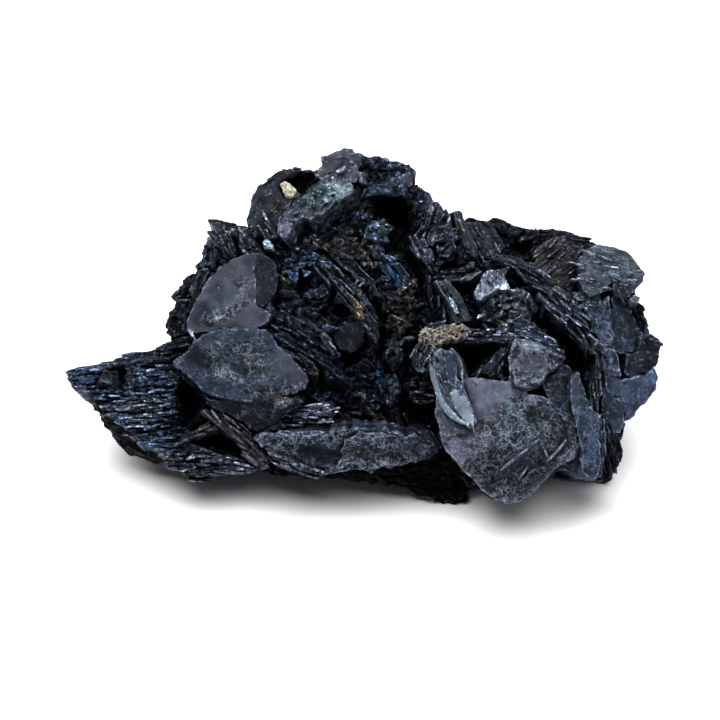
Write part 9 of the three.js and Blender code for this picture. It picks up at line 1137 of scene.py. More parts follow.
    (-0.1,7.42,15.27,0.12,0.28,-20,2.05,1.05,1.89,1,0.34),
    (-31.93,5.36,0.28,-0.17,0.92,-5,2.84,0.37,1.37,0,0.21),
    (17.05,-7.21,-9.89,-0.06,0.19,-74,2.45,0.37,1.36,5,0.7),
    (-39.11,4.67,-7.31,-0.17,0.3,-2,1.79,0.42,1.55,1,0.58),
    (-11.94,-2.67,-15.03,0.06,-0.21,-14,2.7,0.41,1.01,6,0.59),
    (-26.71,6.31,11.83,-0.29,0.01,-31,3.45,1.27,1.2,0,0.16),
    (7.87,7.66,-2.94,0.28,0.94,-52,2.54,0.77,1.28,0,0.18),
    (-20.12,6.18,20.13,0.36,-0.19,-151,1.47,1.17,1.74,2,0.57),
    (-0.75,7.51,-8.17,-0.1,0.12,-61,1.44,1.36,1.32,0,0.34),
    (25.51,-0.59,4.87,0.05,0.71,-23,4.14,0.49,1.39,0,0.46),
    (0.27,4.75,-2.42,-0.15,0.38,-15,3.68,0.62,1.37,1,0.2),
    (6.94,4,9.33,-0.4,-0.39,16,3.26,1.27,1.13,3,0.29),
    (38.98,-2.32,-14.76,0.56,0.1,-79,2.99,0.38,1.22,6,0.09),
    (-19.04,5.94,17.69,-0.03,-0.23,-140,2.49,1.1,1.18,2,0.39),
    (5.33,3.94,6.28,-0.02,0.63,-15,2.37,1.45,1.31,3,0.18),
    (30.28,1.96,9.25,0.09,0.14,-42,2.3,0.28,1,0,0.4),
    (45.69,8.95,-2.17,-0.61,-0.56,83,3.29,1.18,1.32,6,0.09),
    (43.26,5.63,14.17,0.08,0.27,-2,2.6,0.47,1.61,5,0.7),
    (-35.9,3.34,-11.56,0.03,0.19,4,3.43,0.45,1.07,1,0.29),
    (12.35,6.21,23.59,0.04,0.22,70,1.82,0.45,1.16,6,0.46),
    (25.3,9.11,16.88,0.1,0.56,1,3.45,1.14,1.14,1,0.23),
    (-20.84,4.43,17.11,-0.28,0.05,-53,3.02,0.28,1.81,2,0.36),
    (20.96,2.76,5.32,-0.34,-0.44,-36,3.02,1.08,1.82,2,0.7),
    (-42.32,5.73,-4.19,-0.24,0.25,3,1.72,0.37,1.72,1,0.29),
]
# stained, paler or crackled areas of a crystal's face, and near-black painted shade in clefts and underneath: depth
# from, to, softness, tint, brightness, crackle, kind, outline as seen from the front
PATCHES = [
    (-0.8, 2.2, 0.9, 1, 0.3, 0.8, '', [-25.57,9.14,-24.02,9.3,-22.79,8.06,-22.63,5.89,-24.18,4.8,-25.89,5.27,-26.35,6.97]),
    (-0.5, 2.6, 0.8, 6, 0.62, 1.6, '', [-19.68,13.64,-18.6,13.95,-16.74,13.02,-16.43,11.16,-17.05,9.3,-18.91,8.83,-19.84,10.85]),
    (-0.9, 1.5, 0.8, 5, 0.64, 2.2, '', [-24.02,6.82,-21.7,7.59,-19.22,8.99,-17.67,8.68,-18.6,7.13,-21.39,5.89,-23.56,4.65]),
    (-1.6, 1.2, 0.8, 6, 0.56, 0.5, '', [-20.77,6.51,-17.67,8.06,-14.26,7.13,-14.26,5.89,-16.12,4.96,-19.84,4.8]),
    (0.4, 3, 0.8, 1, 0.4, 0.3, '', [-17.67,17.05,-16.12,16.74,-15.96,14.26,-17.05,13.64,-17.98,14.88]),
    (-2.9, -0.5, 0.8, 1, 0.12, 0.8, '', [-27.43,1.08,-26.04,2.33,-24.18,2.17,-23.87,0.62,-24.8,-0.62,-26.66,-0.78]),
    (-2.8, -0.4, 0.5, 5, 0.62, 2.6, '', [-25.42,0.62,-23.87,1.71,-21.86,2.94,-21.39,2.48,-22.94,1.24,-24.8,0.15]),
    (-3, -0.3, 1, 0, 0.48, 1.8, '', [-20.77,2.94,-17.98,3.41,-15.5,2.17,-13.64,0.62,-13.33,-1.55,-15.81,-2.79,-18.6,-1.86,-20.46,0.31]),
    (-3.3, -0.7, 1.2, 1, 0.22, 1.2, '', [-23.87,0.62,-21.08,1.24,-18.6,-0.93,-17.05,-3.72,-19.22,-4.34,-22.63,-3.1,-24.49,-1.24]),
    (-3.2, -1, 0.5, 5, 0.6, 2.4, '', [-23.25,-1.71,-22.01,-1.08,-20.15,-1.55,-18.6,-2.63,-17.67,-3.72,-19.22,-3.56,-21.08,-2.94,-22.63,-2.79]),
    (-3.5, -1.1, 0.6, 5, 0.42, 2.2, '', [-19.84,-4.34,-17.67,-4.5,-15.19,-4.8,-13.02,-4.34,-10.54,-4.03,-8.37,-4.34,-9.3,-5.27,-12.4,-5.74,-15.19,-5.89,-17.67,-5.58]),
    (-3, -0.4, 0.7, 6, 0.5, 0.1, 'S', [-13.64,0.62,-11.94,1.55,-10.38,0.93,-9.14,-0.78,-8.06,-2.48,-8.83,-3.41,-11.47,-2.79,-13.18,-1.71]),
    (1.2, 6.3, 1.5, 1, 0.16, -1, '', [-29.14,3.1,-26.97,3.1,-26.35,-14.72,-29.14,-14.26,-29.45,-10.85,-29.14,-6.2,-29.76,-1.55]),
    (4.1, 7.2, 0.6, 1, 0.12, -1, '', [-37.82,-0.93,-36.58,-0.31,-36.12,-2.17,-36.58,-4.96,-37.66,-4.96]),
    (4, 6.9, 0.4, 0, 0.44, -1, '', [-36.12,-1.24,-35.19,-0.62,-34.41,-1.86,-34.1,-3.72,-35.34,-4.8,-36.12,-4.03]),
    (2.7, 5.9, 1.2, 5, 0.62, -1, '', [-38.75,-6.2,-37.2,-5.42,-34.1,-5.42,-31.31,-5.89,-31,-7.75,-33.17,-9.3,-35.65,-8.99,-38.13,-7.44]),
    (5, 7, 1, 4, 0.14, -1, '', [-45.57,-2.48,-43.4,-4.96,-40.92,-7.44,-38.44,-9.92,-35.65,-12.4,-32.55,-15.19,-37.2,-15.19,-41.85,-9.3,-46.5,-3.88]),
    (3.2, 7, 0.3, 11, 1, -1, 'V', [-5.27,27.28,-4.03,27.75,-2.79,27.28,-1.4,27.43,-1.08,26.5,-2.02,25.73,-3.1,24.95,-4.18,25.42,-5.27,24.18,-5.89,24.8,-5.12,26.2]),
    (3.7, 7.5, 0.5, 13, 0.44, -1, 'V', [-8.06,26.35,-6.51,27.28,-4.96,26.97,-5.58,25.11,-7.13,23.56,-8.68,23.25,-8.99,24.49]),
    (2.7, 6.3, 0.3, 12, 0.7, -1, 'V', [-9.46,23.87,-8.83,23.41,-8.37,22.48,-6.82,22.16,-7.44,21.54,-8.99,21.86,-9.77,22.79]),
    (2.2, 6.3, 0.4, 12, 0.74, -1, 'V', [-13.02,21.39,-11.78,22.63,-10.85,21.7,-10.7,19.84,-11.78,18.6,-13.02,19.53]),
    (7.6, 10.6, 0.6, 1, 0.18, -1, '', [-15.19,25.42,-14.26,24.95,-13.33,24.34,-13.95,23.87,-15.35,24.18]),
    (6.4, 9.9, 0.6, 3, 0.46, -1, 'F', [-15.19,23.56,-13.64,24.8,-12.09,24.8,-10.85,23.87,-11.78,22.63,-13.64,22.32]),
    (7.9, 10.8, 0.4, 0, 0.5, -1, 'S', [-16.89,24.18,-16.12,24.64,-15.65,23.41,-16.27,22.48,-17.05,22.94]),
    (8.9, 11.8, 0.8, 6, 0.54, -1, 'S', [-4.34,31.93,-2.33,32.7,-1.24,31.31,-1.86,29.91,-3.72,29.61,-4.65,30.69]),
    (2, 4, 0.6, 2, 0.46, 1.5, '', [21.08,9.3,22.94,10.54,24.8,10.23,25.73,9.3,24.18,8.06,21.7,7.44]),
    (2, 4, 0.6, 1, 0.16, 0.4, '', [19.53,7.44,21.08,8.06,21.7,5.58,21.08,4.03,19.53,5.89]),
    (0.6, 2.9, 0.25, 5, 1.4, -1, 'V', [20.46,11.31,21.7,11.47,22.94,11.94,23.25,11.01,21.7,10.85,20.61,10.7]),
    (1, 3.7, 0.4, 6, 0.62, -1, 'V', [19.53,13.48,21.08,13.95,22.16,13.02,21.39,11.78,19.84,11.78]),
    (5.5, 7.8, 0.3, 5, 0.55, 0.3, 'S', [40.61,8.99,41.85,8.99,43.71,7.44,44.95,5.58,44.33,4.96,42.78,6.82,41.23,7.75]),
    (5.3, 7.5, 0.5, 1, 0.16, 0.3, '', [41.23,7.13,42.16,6.2,42.47,4.65,41.54,4.65]),
    (3, 6.6, 0.7, 5, 0.8, -1, '', [35.03,15.19,38.13,16.12,41.23,15.19,42.78,13.64,40.3,12.71,37.2,13.02,35.34,13.02]),
    (-5.8, -3.1, 2.2, 6, 0.82, 0.45, '', [16.43,-3.72,21.7,-3.56,24.18,-4.96,24.8,-7.75,21.7,-9.92,17.98,-9.92,16.74,-6.82]),
    (-6.3, -3.4, 1.2, 5, 0.58, 2, '', [21.7,-6.82,24.8,-5.27,27.9,-6.51,30.38,-9.3,29.76,-12.4,26.35,-14.26,21.7,-13.64,19.22,-11.78,18.6,-9.92]),
    (-7.2, -4.1, 1.2, 1, 0.17, 2.4, '', [17.05,-14.26,20.15,-13.33,24.8,-14.26,29.14,-13.33,32.86,-10.85,33.79,-13.33,31,-16.12,27.9,-19.53,24.18,-22.01,20.46,-20.77,17.67,-18.29]),
    (-6.1, -3.4, 1, 1, 0.34, 1.9, '', [27.28,-5.58,30.38,-6.51,32.86,-8.99,33.79,-12.4,31.93,-12.09,29.76,-9.3,27.59,-7.44]),
    (-6.7, -4.3, 0.8, 1, 0.12, 2.2, '', [24.18,-14.88,26.35,-13.95,27.9,-14.88,27.28,-16.74,25.11,-17.67,23.25,-16.74]),
    (-6.3, -3.8, 0.8, 1, 0.18, 1.9, '', [29.76,-9.92,31.93,-9.3,33.17,-11.78,31.93,-14.26,30.07,-13.33]),
    (-5.8, -3.5, 0.8, 1, 0.24, 1.7, '', [26.04,-6.82,28.52,-6.51,29.76,-8.37,28.21,-9.92,26.04,-9.3]),
    (-7, -4.5, 0.8, 1, 0.18, 2.3, '', [17.05,-15.81,19.53,-14.88,21.7,-16.43,21.7,-19.22,19.53,-19.84,17.67,-17.98]),
    (-0.3, 2.3, 0.9, 1, 0.36, 0.6, '', [-22.63,10.85,-20.77,11.78,-19.53,10.54,-20.46,8.99,-22.32,8.99]),
    (-7.7, -5, 0.6, 5, 1.04, 0.3, 'S', [11.78,-4.96,13.64,-5.89,15.19,-6.82,17.05,-7.44,17.67,-9.61,15.5,-9.92,13.33,-8.06]),
    (-2.7, -0.1, 0.5, 5, 0.6, 2.6, '', [-14.57,-13.64,-13.02,-13.33,-11.16,-14.26,-10.23,-15.5,-8.37,-16.43,-9.3,-17.2,-11.47,-16.27,-13.64,-15.04]),
    (-3.3, -0.8, 0.5, 5, 0.52, 2.6, '', [-10.85,-11.16,-8.68,-10.85,-6.51,-11.78,-6.82,-13.02,-8.99,-12.71,-10.54,-12.4]),
    (-2.7, -0.1, 0.7, 1, 0.16, 1, '', [-9.3,-13.02,-6.2,-13.33,-3.41,-13.95,-3.72,-15.81,-6.82,-16.12,-9.3,-14.88]),
    (-3.8, 0.2, 0.5, 6, 0.53, 2.4, '', [-4.65,-15.81,-1.55,-15.19,1.86,-15.81,4.96,-15.19,6.2,-15.81,3.72,-16.89,0,-17.36,-3.72,-17.2]),
    (-4.5, -1.6, 0.5, 6, 0.57, 2.4, '', [-1.24,-12.09,0.93,-11.47,3.72,-11.78,5.58,-13.02,4.65,-13.95,1.86,-13.33,-0.62,-13.33]),
    (-3.4, -1.1, 0.5, 8, 0.44, 2.4, '', [-13.33,-5.89,-11.47,-5.74,-10.54,-6.67,-11.78,-7.75,-13.33,-7.44]),
    (-7, -4.4, 0.12, 6, 0.54, 0.2, 'S', [21.39,-17.36,22.48,-15.89,24.18,-14.57,25.89,-13.18,27.75,-11.86,28.21,-12.4,26.5,-13.95,24.64,-15.35,22.94,-16.74]),
    (-6.8, -4.4, 0.12, 6, 0.46, 0.2, 'S', [28.52,-16.12,29.29,-14.88,30.38,-13.64,31.85,-12.01,32.4,-12.4,31,-14.26,29.76,-15.5]),
    (-6.7, -4.3, 0.12, 6, 0.4, 0.2, 'S', [27.43,-11.94,27.9,-11.62,28.75,-13.18,29.45,-15.04,28.98,-15.35,28.13,-13.64]),
    (-7.1, -4.9, 0.12, 6, 0.4, 0.2, 'S', [24.18,-18.75,24.95,-17.36,26.04,-16.12,26.5,-16.59,25.57,-17.98,24.64,-19.22]),
    (4.1, 6.8, 0.5, 9, 0.42, -1, 'V', [-11.78,14.26,-10.54,14.57,-9.61,13.64,-10.23,12.4,-11.47,12.4]),
    (4.5, 7.3, 0.6, 9, 0.4, -1, 'V', [-9.3,16.74,-8.06,17.05,-7.13,15.96,-7.91,14.88,-9.14,15.19]),
    (5.8, 8.3, 0.6, 13, 0.4, -1, 'V', [2.48,20.77,4.03,21.39,5.58,20.46,5.27,18.91,3.41,18.6,2.33,19.53]),
    (3.9, 6.8, 0.6, 9, 0.5, -1, 'F', [3.72,14.26,4.96,15.19,6.2,13.95,6.82,12.09,5.58,11.47,4.34,12.4]),
    (2.7, 5.9, 0.6, 9, 0.34, -1, 'V', [2.17,-2.17,3.41,-1.55,4.18,-2.79,3.72,-4.34,2.48,-4.34]),
    # the next four near-black patches (brightness 0.02) cover three clefts and the underside: painted shade in the
    # hollows and under the specimen
    (2, 40, 0.5, 1, 0.02, 0, '', [0.93,25.11,2.79,26.04,4.96,25.89,7.75,25.11,8.68,22.94,8.37,20.77,7.44,18.91,6.2,17.05,4.65,17.05,4.34,18.91,4.96,20.46,3.72,21.7,1.55,22.63]),
    (-2, 40, 0.6, 1, 0.02, 0, '', [3.72,-17.05,6.51,-16.43,9.3,-15.81,11.78,-14.26,13.64,-15.81,15.81,-18.6,18.29,-21.7,17.05,-24.8,9.3,-24.8,3.72,-20.15]),
    (2, 40, 0.5, 1, 0.02, 0, '', [-13.02,27.28,-11.78,28.52,-9.61,29.45,-6.51,28.83,-6.82,27.28,-8.68,25.73,-9.92,24.49,-12.09,24.8]),
    (-2, 40, 0.5, 1, 0.02, 0, '', [15.19,2.48,21.7,2.63,20.15,0.62,17.05,-2.79,16.12,-0.93]),
    (-5.1, -2.8, 0.3, 5, 0.85, -1, 'V', [24.8,2.48,26.35,2.79,28.21,2.33,29.29,1.86,28.36,1.4,26.66,1.4,25.27,1.71]),
    (-6.2, -3.2, 0.5, 6, 0.52, 0.4, 'S', [24.8,1.08,26.66,1.08,28.05,0.78,28.68,-0.46,27.75,-2.17,26.2,-2.63,24.95,-1.4,24.49,-0.15]),
    (-6.2, -3.8, 0.3, 5, 0.52, 0.4, '', [32.86,-3.41,33.63,-2.79,34.1,-4.96,33.79,-7.75,33.17,-6.82]),
]
# the seams between the modelled pieces, as seen from the front
REGIONS = [
    ('tail', [-86.8,68.2,-18.6,68.2,-18.45,26.35,-17.98,22.32,-17.36,20.3,-15.96,19.53,-16.12,17.67,-17.67,16.59,-20.15,15.65,-22.01,14.57,-23.41,13.02,-24.64,11.16,-25.57,9.46,-26.97,6.51,-26.82,4.03,-25.73,3.41,-28.21,0.93,-29.29,-0.15,-26.35,-2.79,-23.71,-6.2,-22.94,-7.59,-20.93,-8.37,-18.91,-9.77,-16.74,-11.94,-15.19,-13.79,-13.48,-16.27,-13.48,-68.2,-86.8,-68.2]),
    ('left_discs', [-16.12,17.67,-14.88,17.05,-13.48,16.43,-12.4,15.19,-12.55,9.3,-13.95,5.89,-13.95,4.5,-12.09,2.33,-10.38,1.24,-8.83,-0.31,-7.59,-3.41,-7.91,-6.35,-11.47,-7.59,-12.71,-9.61,-15.19,-11.01,-16.74,-11.94,-18.91,-9.77,-20.93,-8.37,-22.94,-7.59,-23.71,-6.2,-26.35,-2.79,-29.29,-0.15,-28.21,0.93,-25.73,3.41,-26.82,4.03,-26.97,6.51,-25.57,9.46,-24.64,11.16,-23.41,13.02,-22.01,14.57,-20.15,15.65,-17.67,16.59]),
    ('crown', [-18.6,68.2,9.46,68.2,9.46,26.66,8.06,18.6,6.51,15.19,-3.1,15.5,-10.85,15.19,-12.4,15.19,-13.48,16.43,-14.88,17.05,-16.12,17.67,-15.96,19.53,-17.36,20.3,-17.98,22.32,-18.45,26.35]),
    ('middle', [-12.4,15.19,-10.85,15.19,-3.1,15.5,6.51,15.19,10.54,9.3,11.78,4.65,7.59,2.48,7.59,-6.2,12.4,-13.64,12.4,-68.2,-13.48,-68.2,-13.48,-16.27,-15.19,-13.79,-16.74,-11.94,-15.19,-11.01,-12.71,-9.61,-11.47,-7.59,-7.91,-6.35,-7.59,-3.41,-8.83,-0.31,-10.38,1.24,-12.09,2.33,-13.95,4.5,-13.95,5.89,-12.55,9.3]),
    ('right_fan', [9.46,26.66,9.46,68.2,99.2,68.2,99.2,-68.2,38.13,-68.2,38.13,-18.6,37.51,-8.68,36.27,-7.44,35.34,1.55,31.93,4.65,27.9,8.83,21.7,15.19,11.78,14.57,6.51,15.19,8.06,18.6]),
    ('right_disc', [6.51,15.19,11.78,14.57,21.7,15.19,27.9,8.83,31.93,4.65,35.34,1.55,36.27,-7.44,37.51,-8.68,38.13,-18.6,38.13,-68.2,12.4,-68.2,12.4,-13.64,7.59,-6.2,7.59,2.48,11.78,4.65,10.54,9.3]),
]
TAN_GRAIN = dict(at=[-11.48,8.2,27.26], n=[-0.2,-1,0.25], t=5.2, out=[-1.18,-0.18,-0.44,-1.31,0.38,-1.78,1.02,-0.99,1.51,-0.35,1.01,0.52,0.19,1.24,-0.79,1.64,-1.69,1.2])
OCHRE_CRUST = dict(at=[12.71,-1.8,4.11], n=[0,-1,0.3], t=2.2, out=[-3.63,-0.92,-2.55,-1.56,-1.33,-2.2,0.06,-2.04,0.99,-0.92,2.54,-0.59,3.93,-0.11,4.72,0.86,3.65,1.51,2.11,1.83,0.41,1.51,-0.99,0.86,-2.22,1.18,-3.46,0.7,-4.24,-0.11])

# ---- hashing and noise ------------------------------------------------------------------------------------------------
def h2(i, j, s=0):
    i = i.astype(np.int64); j = np.asarray(j).astype(np.int64)
    h = (i * 374761393 + j * 668265263 + np.int64(s) * 974634777) & 0xffffffff
    h = ((h ^ (h >> 13)) * 1274126177) & 0xffffffff
    h = ((h ^ (h >> 15)) * 2246822519) & 0xffffffff
    return ((h ^ (h >> 16)) & 0xffff).astype(np.float32) / 65535.0

def vnoise(x, y, s=0):
    i, j = np.floor(x), np.floor(y)
    fx, fy = (x - i).astype(np.float32), (y - j).astype(np.float32)
    fx = fx * fx * (3 - 2 * fx); fy = fy * fy * (3 - 2 * fy)
    a, b, c, d = h2(i, j, s), h2(i + 1, j, s), h2(i, j + 1, s), h2(i + 1, j + 1, s)
    return (a + (b - a) * fx) * (1 - fy) + (c + (d - c) * fx) * fy - 0.5

def cells(x, y, s=0):
    """Nearest of jittered points: offsets to it and two random numbers of its own, as on broken facets."""
    i0, j0 = np.floor(x), np.floor(y)
    best = np.full(x.shape, 9.0, np.float32); rx = np.zeros_like(best); ry = np.zeros_like(best); ra = np.zeros_like(best); rb = np.zeros_like(best); rc = np.zeros_like(best)
    for di in (-1, 0, 1):
        for dj in (-1, 0, 1):
            i, j = i0 + di, j0 + dj
            a, b = h2(i, j, s + 11), h2(i, j, s + 23)
            ex, ey = (x - i - a).astype(np.float32), (y - j - b).astype(np.float32)
            q = ex * ex + ey * ey
            m = q < best
            best = np.where(m, q, best); rx = np.where(m, ex, rx); ry = np.where(m, ey, ry)
            ra = np.where(m, h2(i, j, s + 37), ra); rb = np.where(m, h2(i, j, s + 41), rb); rc = np.where(m, h2(i, j, s + 53), rc)
    return rx, ry, ra, rb, rc

def sd_poly(u, v, V):
    n = len(V); d = np.full(u.shape, 1e9, np.float32); inside = np.zeros(u.shape, bool)
    for i in range(n):
        ax, ay = V[i]; bx, by = V[(i + 1) % n]
        ex, ey = bx - ax, by - ay
        wx, wy = u - ax, v - ay
        t = np.clip((wx * ex + wy * ey) / (ex * ex + ey * ey + 1e-9), 0, 1)
        qx, qy = wx - ex * t, wy - ey * t
        d = np.minimum(d, qx * qx + qy * qy)
        c = (ay > v) != (by > v)
        if abs(ey) > 1e-9:
            inside ^= c & (u < (v - ay) * (ex / ey) + ax)
    d = np.sqrt(d)
    return np.where(inside, -d, d)

def axes_of(n, g):
    w = np.array(n, float); w /= np.linalg.norm(w)
    a = math.radians(g); al = np.array([math.cos(a), 0, math.sin(a)])
    u = al - w * al.dot(w); u /= np.linalg.norm(u)
    return u, np.cross(w, u), w

def relief(kind, u, v, w, ex, s):
    """Height of the outer face and outline offset at u, v for one crystal, in mm."""
    if kind == 'F':
        p, am, sg = ex.get('pitch', .5) * 1.75, ex.get('amp', .5), ex.get('seg', 4.0)
        vv = v + 0.50 * vnoise(u / 3.1, v / 3.0, s + 1) + 0.14 * vnoise(u / .8, v / .9, s + 12)
        r = np.floor(vv / p); f = vv / p - r
        off = h2(r, 0 * r, s + 2) * sg
        g = (u + off) / sg; c = np.floor(g); g = g - c
        hh = h2(r, c, s + 3)
        big = vnoise(u / 5.0, v / 1.9, s + 4)
        tilt = (h2(r, c, s + 13) - .5) * (f - .5) + (h2(r, c, s + 14) - .5) * (g - .5) * .6
        h = -am * 1.05 * hh * hh + am * .8 * big + am * .9 * tilt
        h -= 0.30 * np.clip(1 - np.minimum(f, 1 - f) * p / .16, 0, 1) + 0.25 * np.clip(1 - np.minimum(g, 1 - g) * sg / .16, 0, 1)
        if ex.get('soft'): h = h * .38
        jag = 0.95 * (h2(r, 0 * r + 7, s + 5) - .5) + .35 * vnoise(u / 1.2, v / 1.2, s + 6)
    elif kind in 'SC':
        q = ex.get('crk', .3)
        h = 0.16 * vnoise(u / 4.5, v / 4.5, s + 1) + 0.05 * vnoise(u / .9, v / .9, s + 2) + .10 * vnoise(u / 1.9, v / 1.9, s + 22)
        rx, ry, a, b, c = cells(u / 1.1 + .5 * vnoise(u, v, s + 8), v / 1.1 + .5 * vnoise(u, v, s + 9), s + 3)
        m = np.clip(vnoise(u / 3.5, v / 3.5, s + 15) * 3 + .3, 0, 1) * min(q, 1.2)
        h = h + m * (0.15 * (c - .5) + 0.12 * (rx * (a - .5) + ry * (b - .5)) * 2)
        rg = ex.get('rg', 0.0)
        if rg > 0:                          # cleavage steps and rough patches
            st = vnoise(u / 3.4, v / 1.5, s + 30) + .35 * vnoise(u / 1.1, v / .6, s + 31)
            h = h + rg * (0.34 * np.round(st * 3.4) / 3.4 * 1.4 + .20 * vnoise(u / .8, v / .45, s + 32) + .30 * vnoise(u / 4.0, v / 3.0, s + 33))
        lay = np.floor(w / 0.45)
        jag = 0.26 * (h2(lay, lay * 0 + 3, s + 5) - .5) + 0.26 * vnoise(u / .7, v / .7, s + 6) + 0.35 * vnoise(u / 2.2, v / 2.2, s + 16) + 0.5 * vnoise(u / 4.5, v / 4.5, s + 7) + rg * .6 * vnoise(u / .9, v / .9, s + 34)
    elif kind == 'H':
        h = 0.10 * vnoise(u / .9, v / .5, s + 2)
        jag = 0.22 * vnoise(u / .6, v / .6, s + 6)
    elif kind == 'V':
        rx, ry, a, b, c = cells(u / 1.7 + .3 * vnoise(u, v, s + 8), v / 1.2, s + 3)
        h = 0.80 * (rx * (a - .5) + ry * (b - .5)) + 0.30 * (c - .5) + .12 * vnoise(u / .7, v / .7, s + 2)
        jag = 0.7 * vnoise(u / 1.1, v / 1.1, s + 6)
    elif kind == 'D':
        rx, ry, a, b, c = cells(u / 1.9 + .6 * vnoise(u / 1.5, v / 1.5, s + 8), v / 1.1, s + 3)
        h = 0.9 * (rx * (a - .5) + ry * (b - .5)) + 0.35 * (c - .5) + 0.16 * vnoise(u / .6, v / .6, s + 2) + .3 * vnoise(u / 4., v / 4., s + 19)
        jag = 0.9 * vnoise(u / 1.3, v / 1.3, s + 6) + .3 * (h2(np.floor(w / .5), np.floor(w / .5) * 0 + 2, s + 5) - .5)
    else:
        z = 1.1 if kind == 'R' else .9
        rx, ry, a, b, c = cells(u / (1.25 * z) + .6 * vnoise(u / 1.1, v / 1.1, s + 8), v / (.8 * z), s + 3)
        h = z * (1.0 * (rx * (a - .5) + ry * (b - .5)) + 0.55 * (c - .5)) + .4 * vnoise(u / 2.6, v / 2.6, s + 9) + .2 * vnoise(u / .6, v / .6, s + 20)
        jag = 1.1 * vnoise(u / 1.1, v / 1.1, s + 6) + .4 * (h2(np.floor(w / .7), np.floor((u + v) / 1.4), s + 5) - .5)
    return h.astype(np.float32), np.asarray(jag * ex.get('jag', .6 if ex.get('soft') else 1.0), np.float32)

def bricks(x, d, z, s):
    """Blocky broken crystals on the mass between the listed ones."""
    a = 0.6 * x + 0.5 * d + 0.62 * z; b = -0.7 * x + 0.2 * d + 0.68 * z; c = 0.3 * x - 0.85 * d + 0.4 * z
    a = a + .6 * vnoise(b / 2.0, c / 2.0, s); b = b + .5 * vnoise(a / 2.2, c / 2.1, s + 1)
    i, j, k = np.floor(a / 2.1), np.floor(b / 0.85), np.floor(c / 1.2)
    q = h2(i * 131 + k * 17, j, s + 2); q2 = h2(np.floor(a / 4.4), np.floor(b / 2.6) * 91 + np.floor(c / 3.1), s + 3)
    return 1.1 * (q - .45) + 1.3 * (q2 - .5)

class Grid:
    def __init__(self, lo, hi, vox):
        self.vox = vox; self.lo = np.array(lo, float)
        self.n = np.ceil((np.array(hi) - self.lo) / vox).astype(int) + 1
        self.s = np.full(self.n, 1.5, np.float32); self.o = np.full(self.n, -1, np.int16)
        self.ax = [(self.lo[i] + vox * np.arange(self.n[i])).astype(np.float32) for i in range(3)]
    def window(self, lo, hi):
        a = np.clip(np.floor((np.array(lo) - self.lo) / self.vox).astype(int), 0, self.n)
        b = np.clip(np.ceil((np.array(hi) - self.lo) / self.vox).astype(int) + 1, 0, self.n)
        if (b <= a).any(): return None
        sl = tuple(slice(a[i], b[i]) for i in range(3))
        X = self.ax[0][sl[0]][:, None, None]; Y = self.ax[1][sl[1]][None, :, None]; Z = self.ax[2][sl[2]][None, None, :]
        return sl, X, Y, Z

def add_plate(G, idx, row):
    kind, at, n, g, t, tint, br, ex, out = row
    U, V, W = axes_of(n, g); at = np.array(at); P = np.array(out, np.float32).reshape(-1, 2)
    c = at + np.outer(P[:, 0], U) + np.outer(P[:, 1], V)
    allc = np.vstack([c, c - W * t]); m = 1.3
    win = G.window(allc.min(0) - m, allc.max(0) + m)
    if win is None: return
    sl, X, Y, Z = win
    X, Y, Z = X - at[0], Y - at[1], Z - at[2]
    w = (X * W[0] + Y * W[1] + Z * W[2]).astype(np.float32)
    shape = w.shape
    near = (w < 1.2) & (w > -t - 1.2)
    if not near.any(): return
    ii = np.nonzero(near)
    x, y, z = X[ii[0], 0, 0], Y[0, ii[1], 0], Z[0, 0, ii[2]]
    u = x * np.float32(U[0]) + y * np.float32(U[1]) + z * np.float32(U[2])
    v = x * np.float32(V[0]) + y * np.float32(V[1]) + z * np.float32(V[2]); w = w[ii]
    bb = (u > P[:, 0].min() - 1.3) & (u < P[:, 0].max() + 1.3) & (v > P[:, 1].min() - 1.3) & (v < P[:, 1].max() + 1.3)
    ii = tuple(q[bb] for q in ii); u, v, w = u[bb], v[bb], w[bb]
    if u.size == 0: return
    d2 = sd_poly(u, v, P)
    base = np.maximum(np.maximum(d2, w), -w - t)
    band = (base < 1.1) & (base > -1.4)
    res = base.copy()
    ub, vb, wb = u[band], v[band], w[band]
    h, jag = relief(kind, ub, vb, wb, ex, idx * 97)
    res[band] = np.maximum(np.maximum(d2[band] + jag * min(1.0, 0.35 + abs(P).max() / 9), wb - h), -wb - t)
    full = np.full(shape, 1.5, np.float32); full[ii] = res
    s = G.s[sl]; o = G.o[sl]
    m = full < s
    s[m] = full[m]; o[m] = idx
    G.s[sl] = s; G.o[sl] = o

def loft_sd(G, row, m=1.3):
    d0, d1, A, B = row
    A = np.array(A, np.float32).reshape(-1, 2); B = np.array(B, np.float32).reshape(-1, 2)
    lo = [min(A[:, 0].min(), B[:, 0].min()) - m, d0 - m, min(A[:, 1].min(), B[:, 1].min()) - m]
    hi = [max(A[:, 0].max(), B[:, 0].max()) + m, d1 + m, max(A[:, 1].max(), B[:, 1].max()) + m]
    win = G.window(lo, hi)
    if win is None: return None
    sl, X, Y, Z = win
    out = np.full((X.shape[0], Y.shape[1], Z.shape[2]), 1.5, np.float32)
    XX, ZZ = np.broadcast_arrays(X[:, 0, :], Z[0, 0, :][None, :])
    for k in range(Y.shape[1]):
        y = float(Y[0, k, 0]); t = min(max((y - d0) / (d1 - d0), 0), 1)
        d2 = sd_poly(XX, ZZ, A + (B - A) * t)
        out[:, k, :] = np.maximum(np.maximum(d2, d0 - y), y - d1)
    return sl, X, Y, Z, out

def add_mass(G, idx, row):
    r = loft_sd(G, row)
    if r is None: return
    sl, X, Y, Z, out = r
    ii = np.nonzero((out < 1.2) & (out > -1.6))
    x, y, z = X[ii[0], 0, 0], Y[0, ii[1], 0], Z[0, 0, ii[2]]
    out[ii] += bricks(x, y, z, idx).astype(np.float32) * .55 + .15
    s = G.s[sl]; o = G.o[sl]; m = out < s
    s[m] = out[m]; o[m] = -2
    G.s[sl] = s; G.o[sl] = o

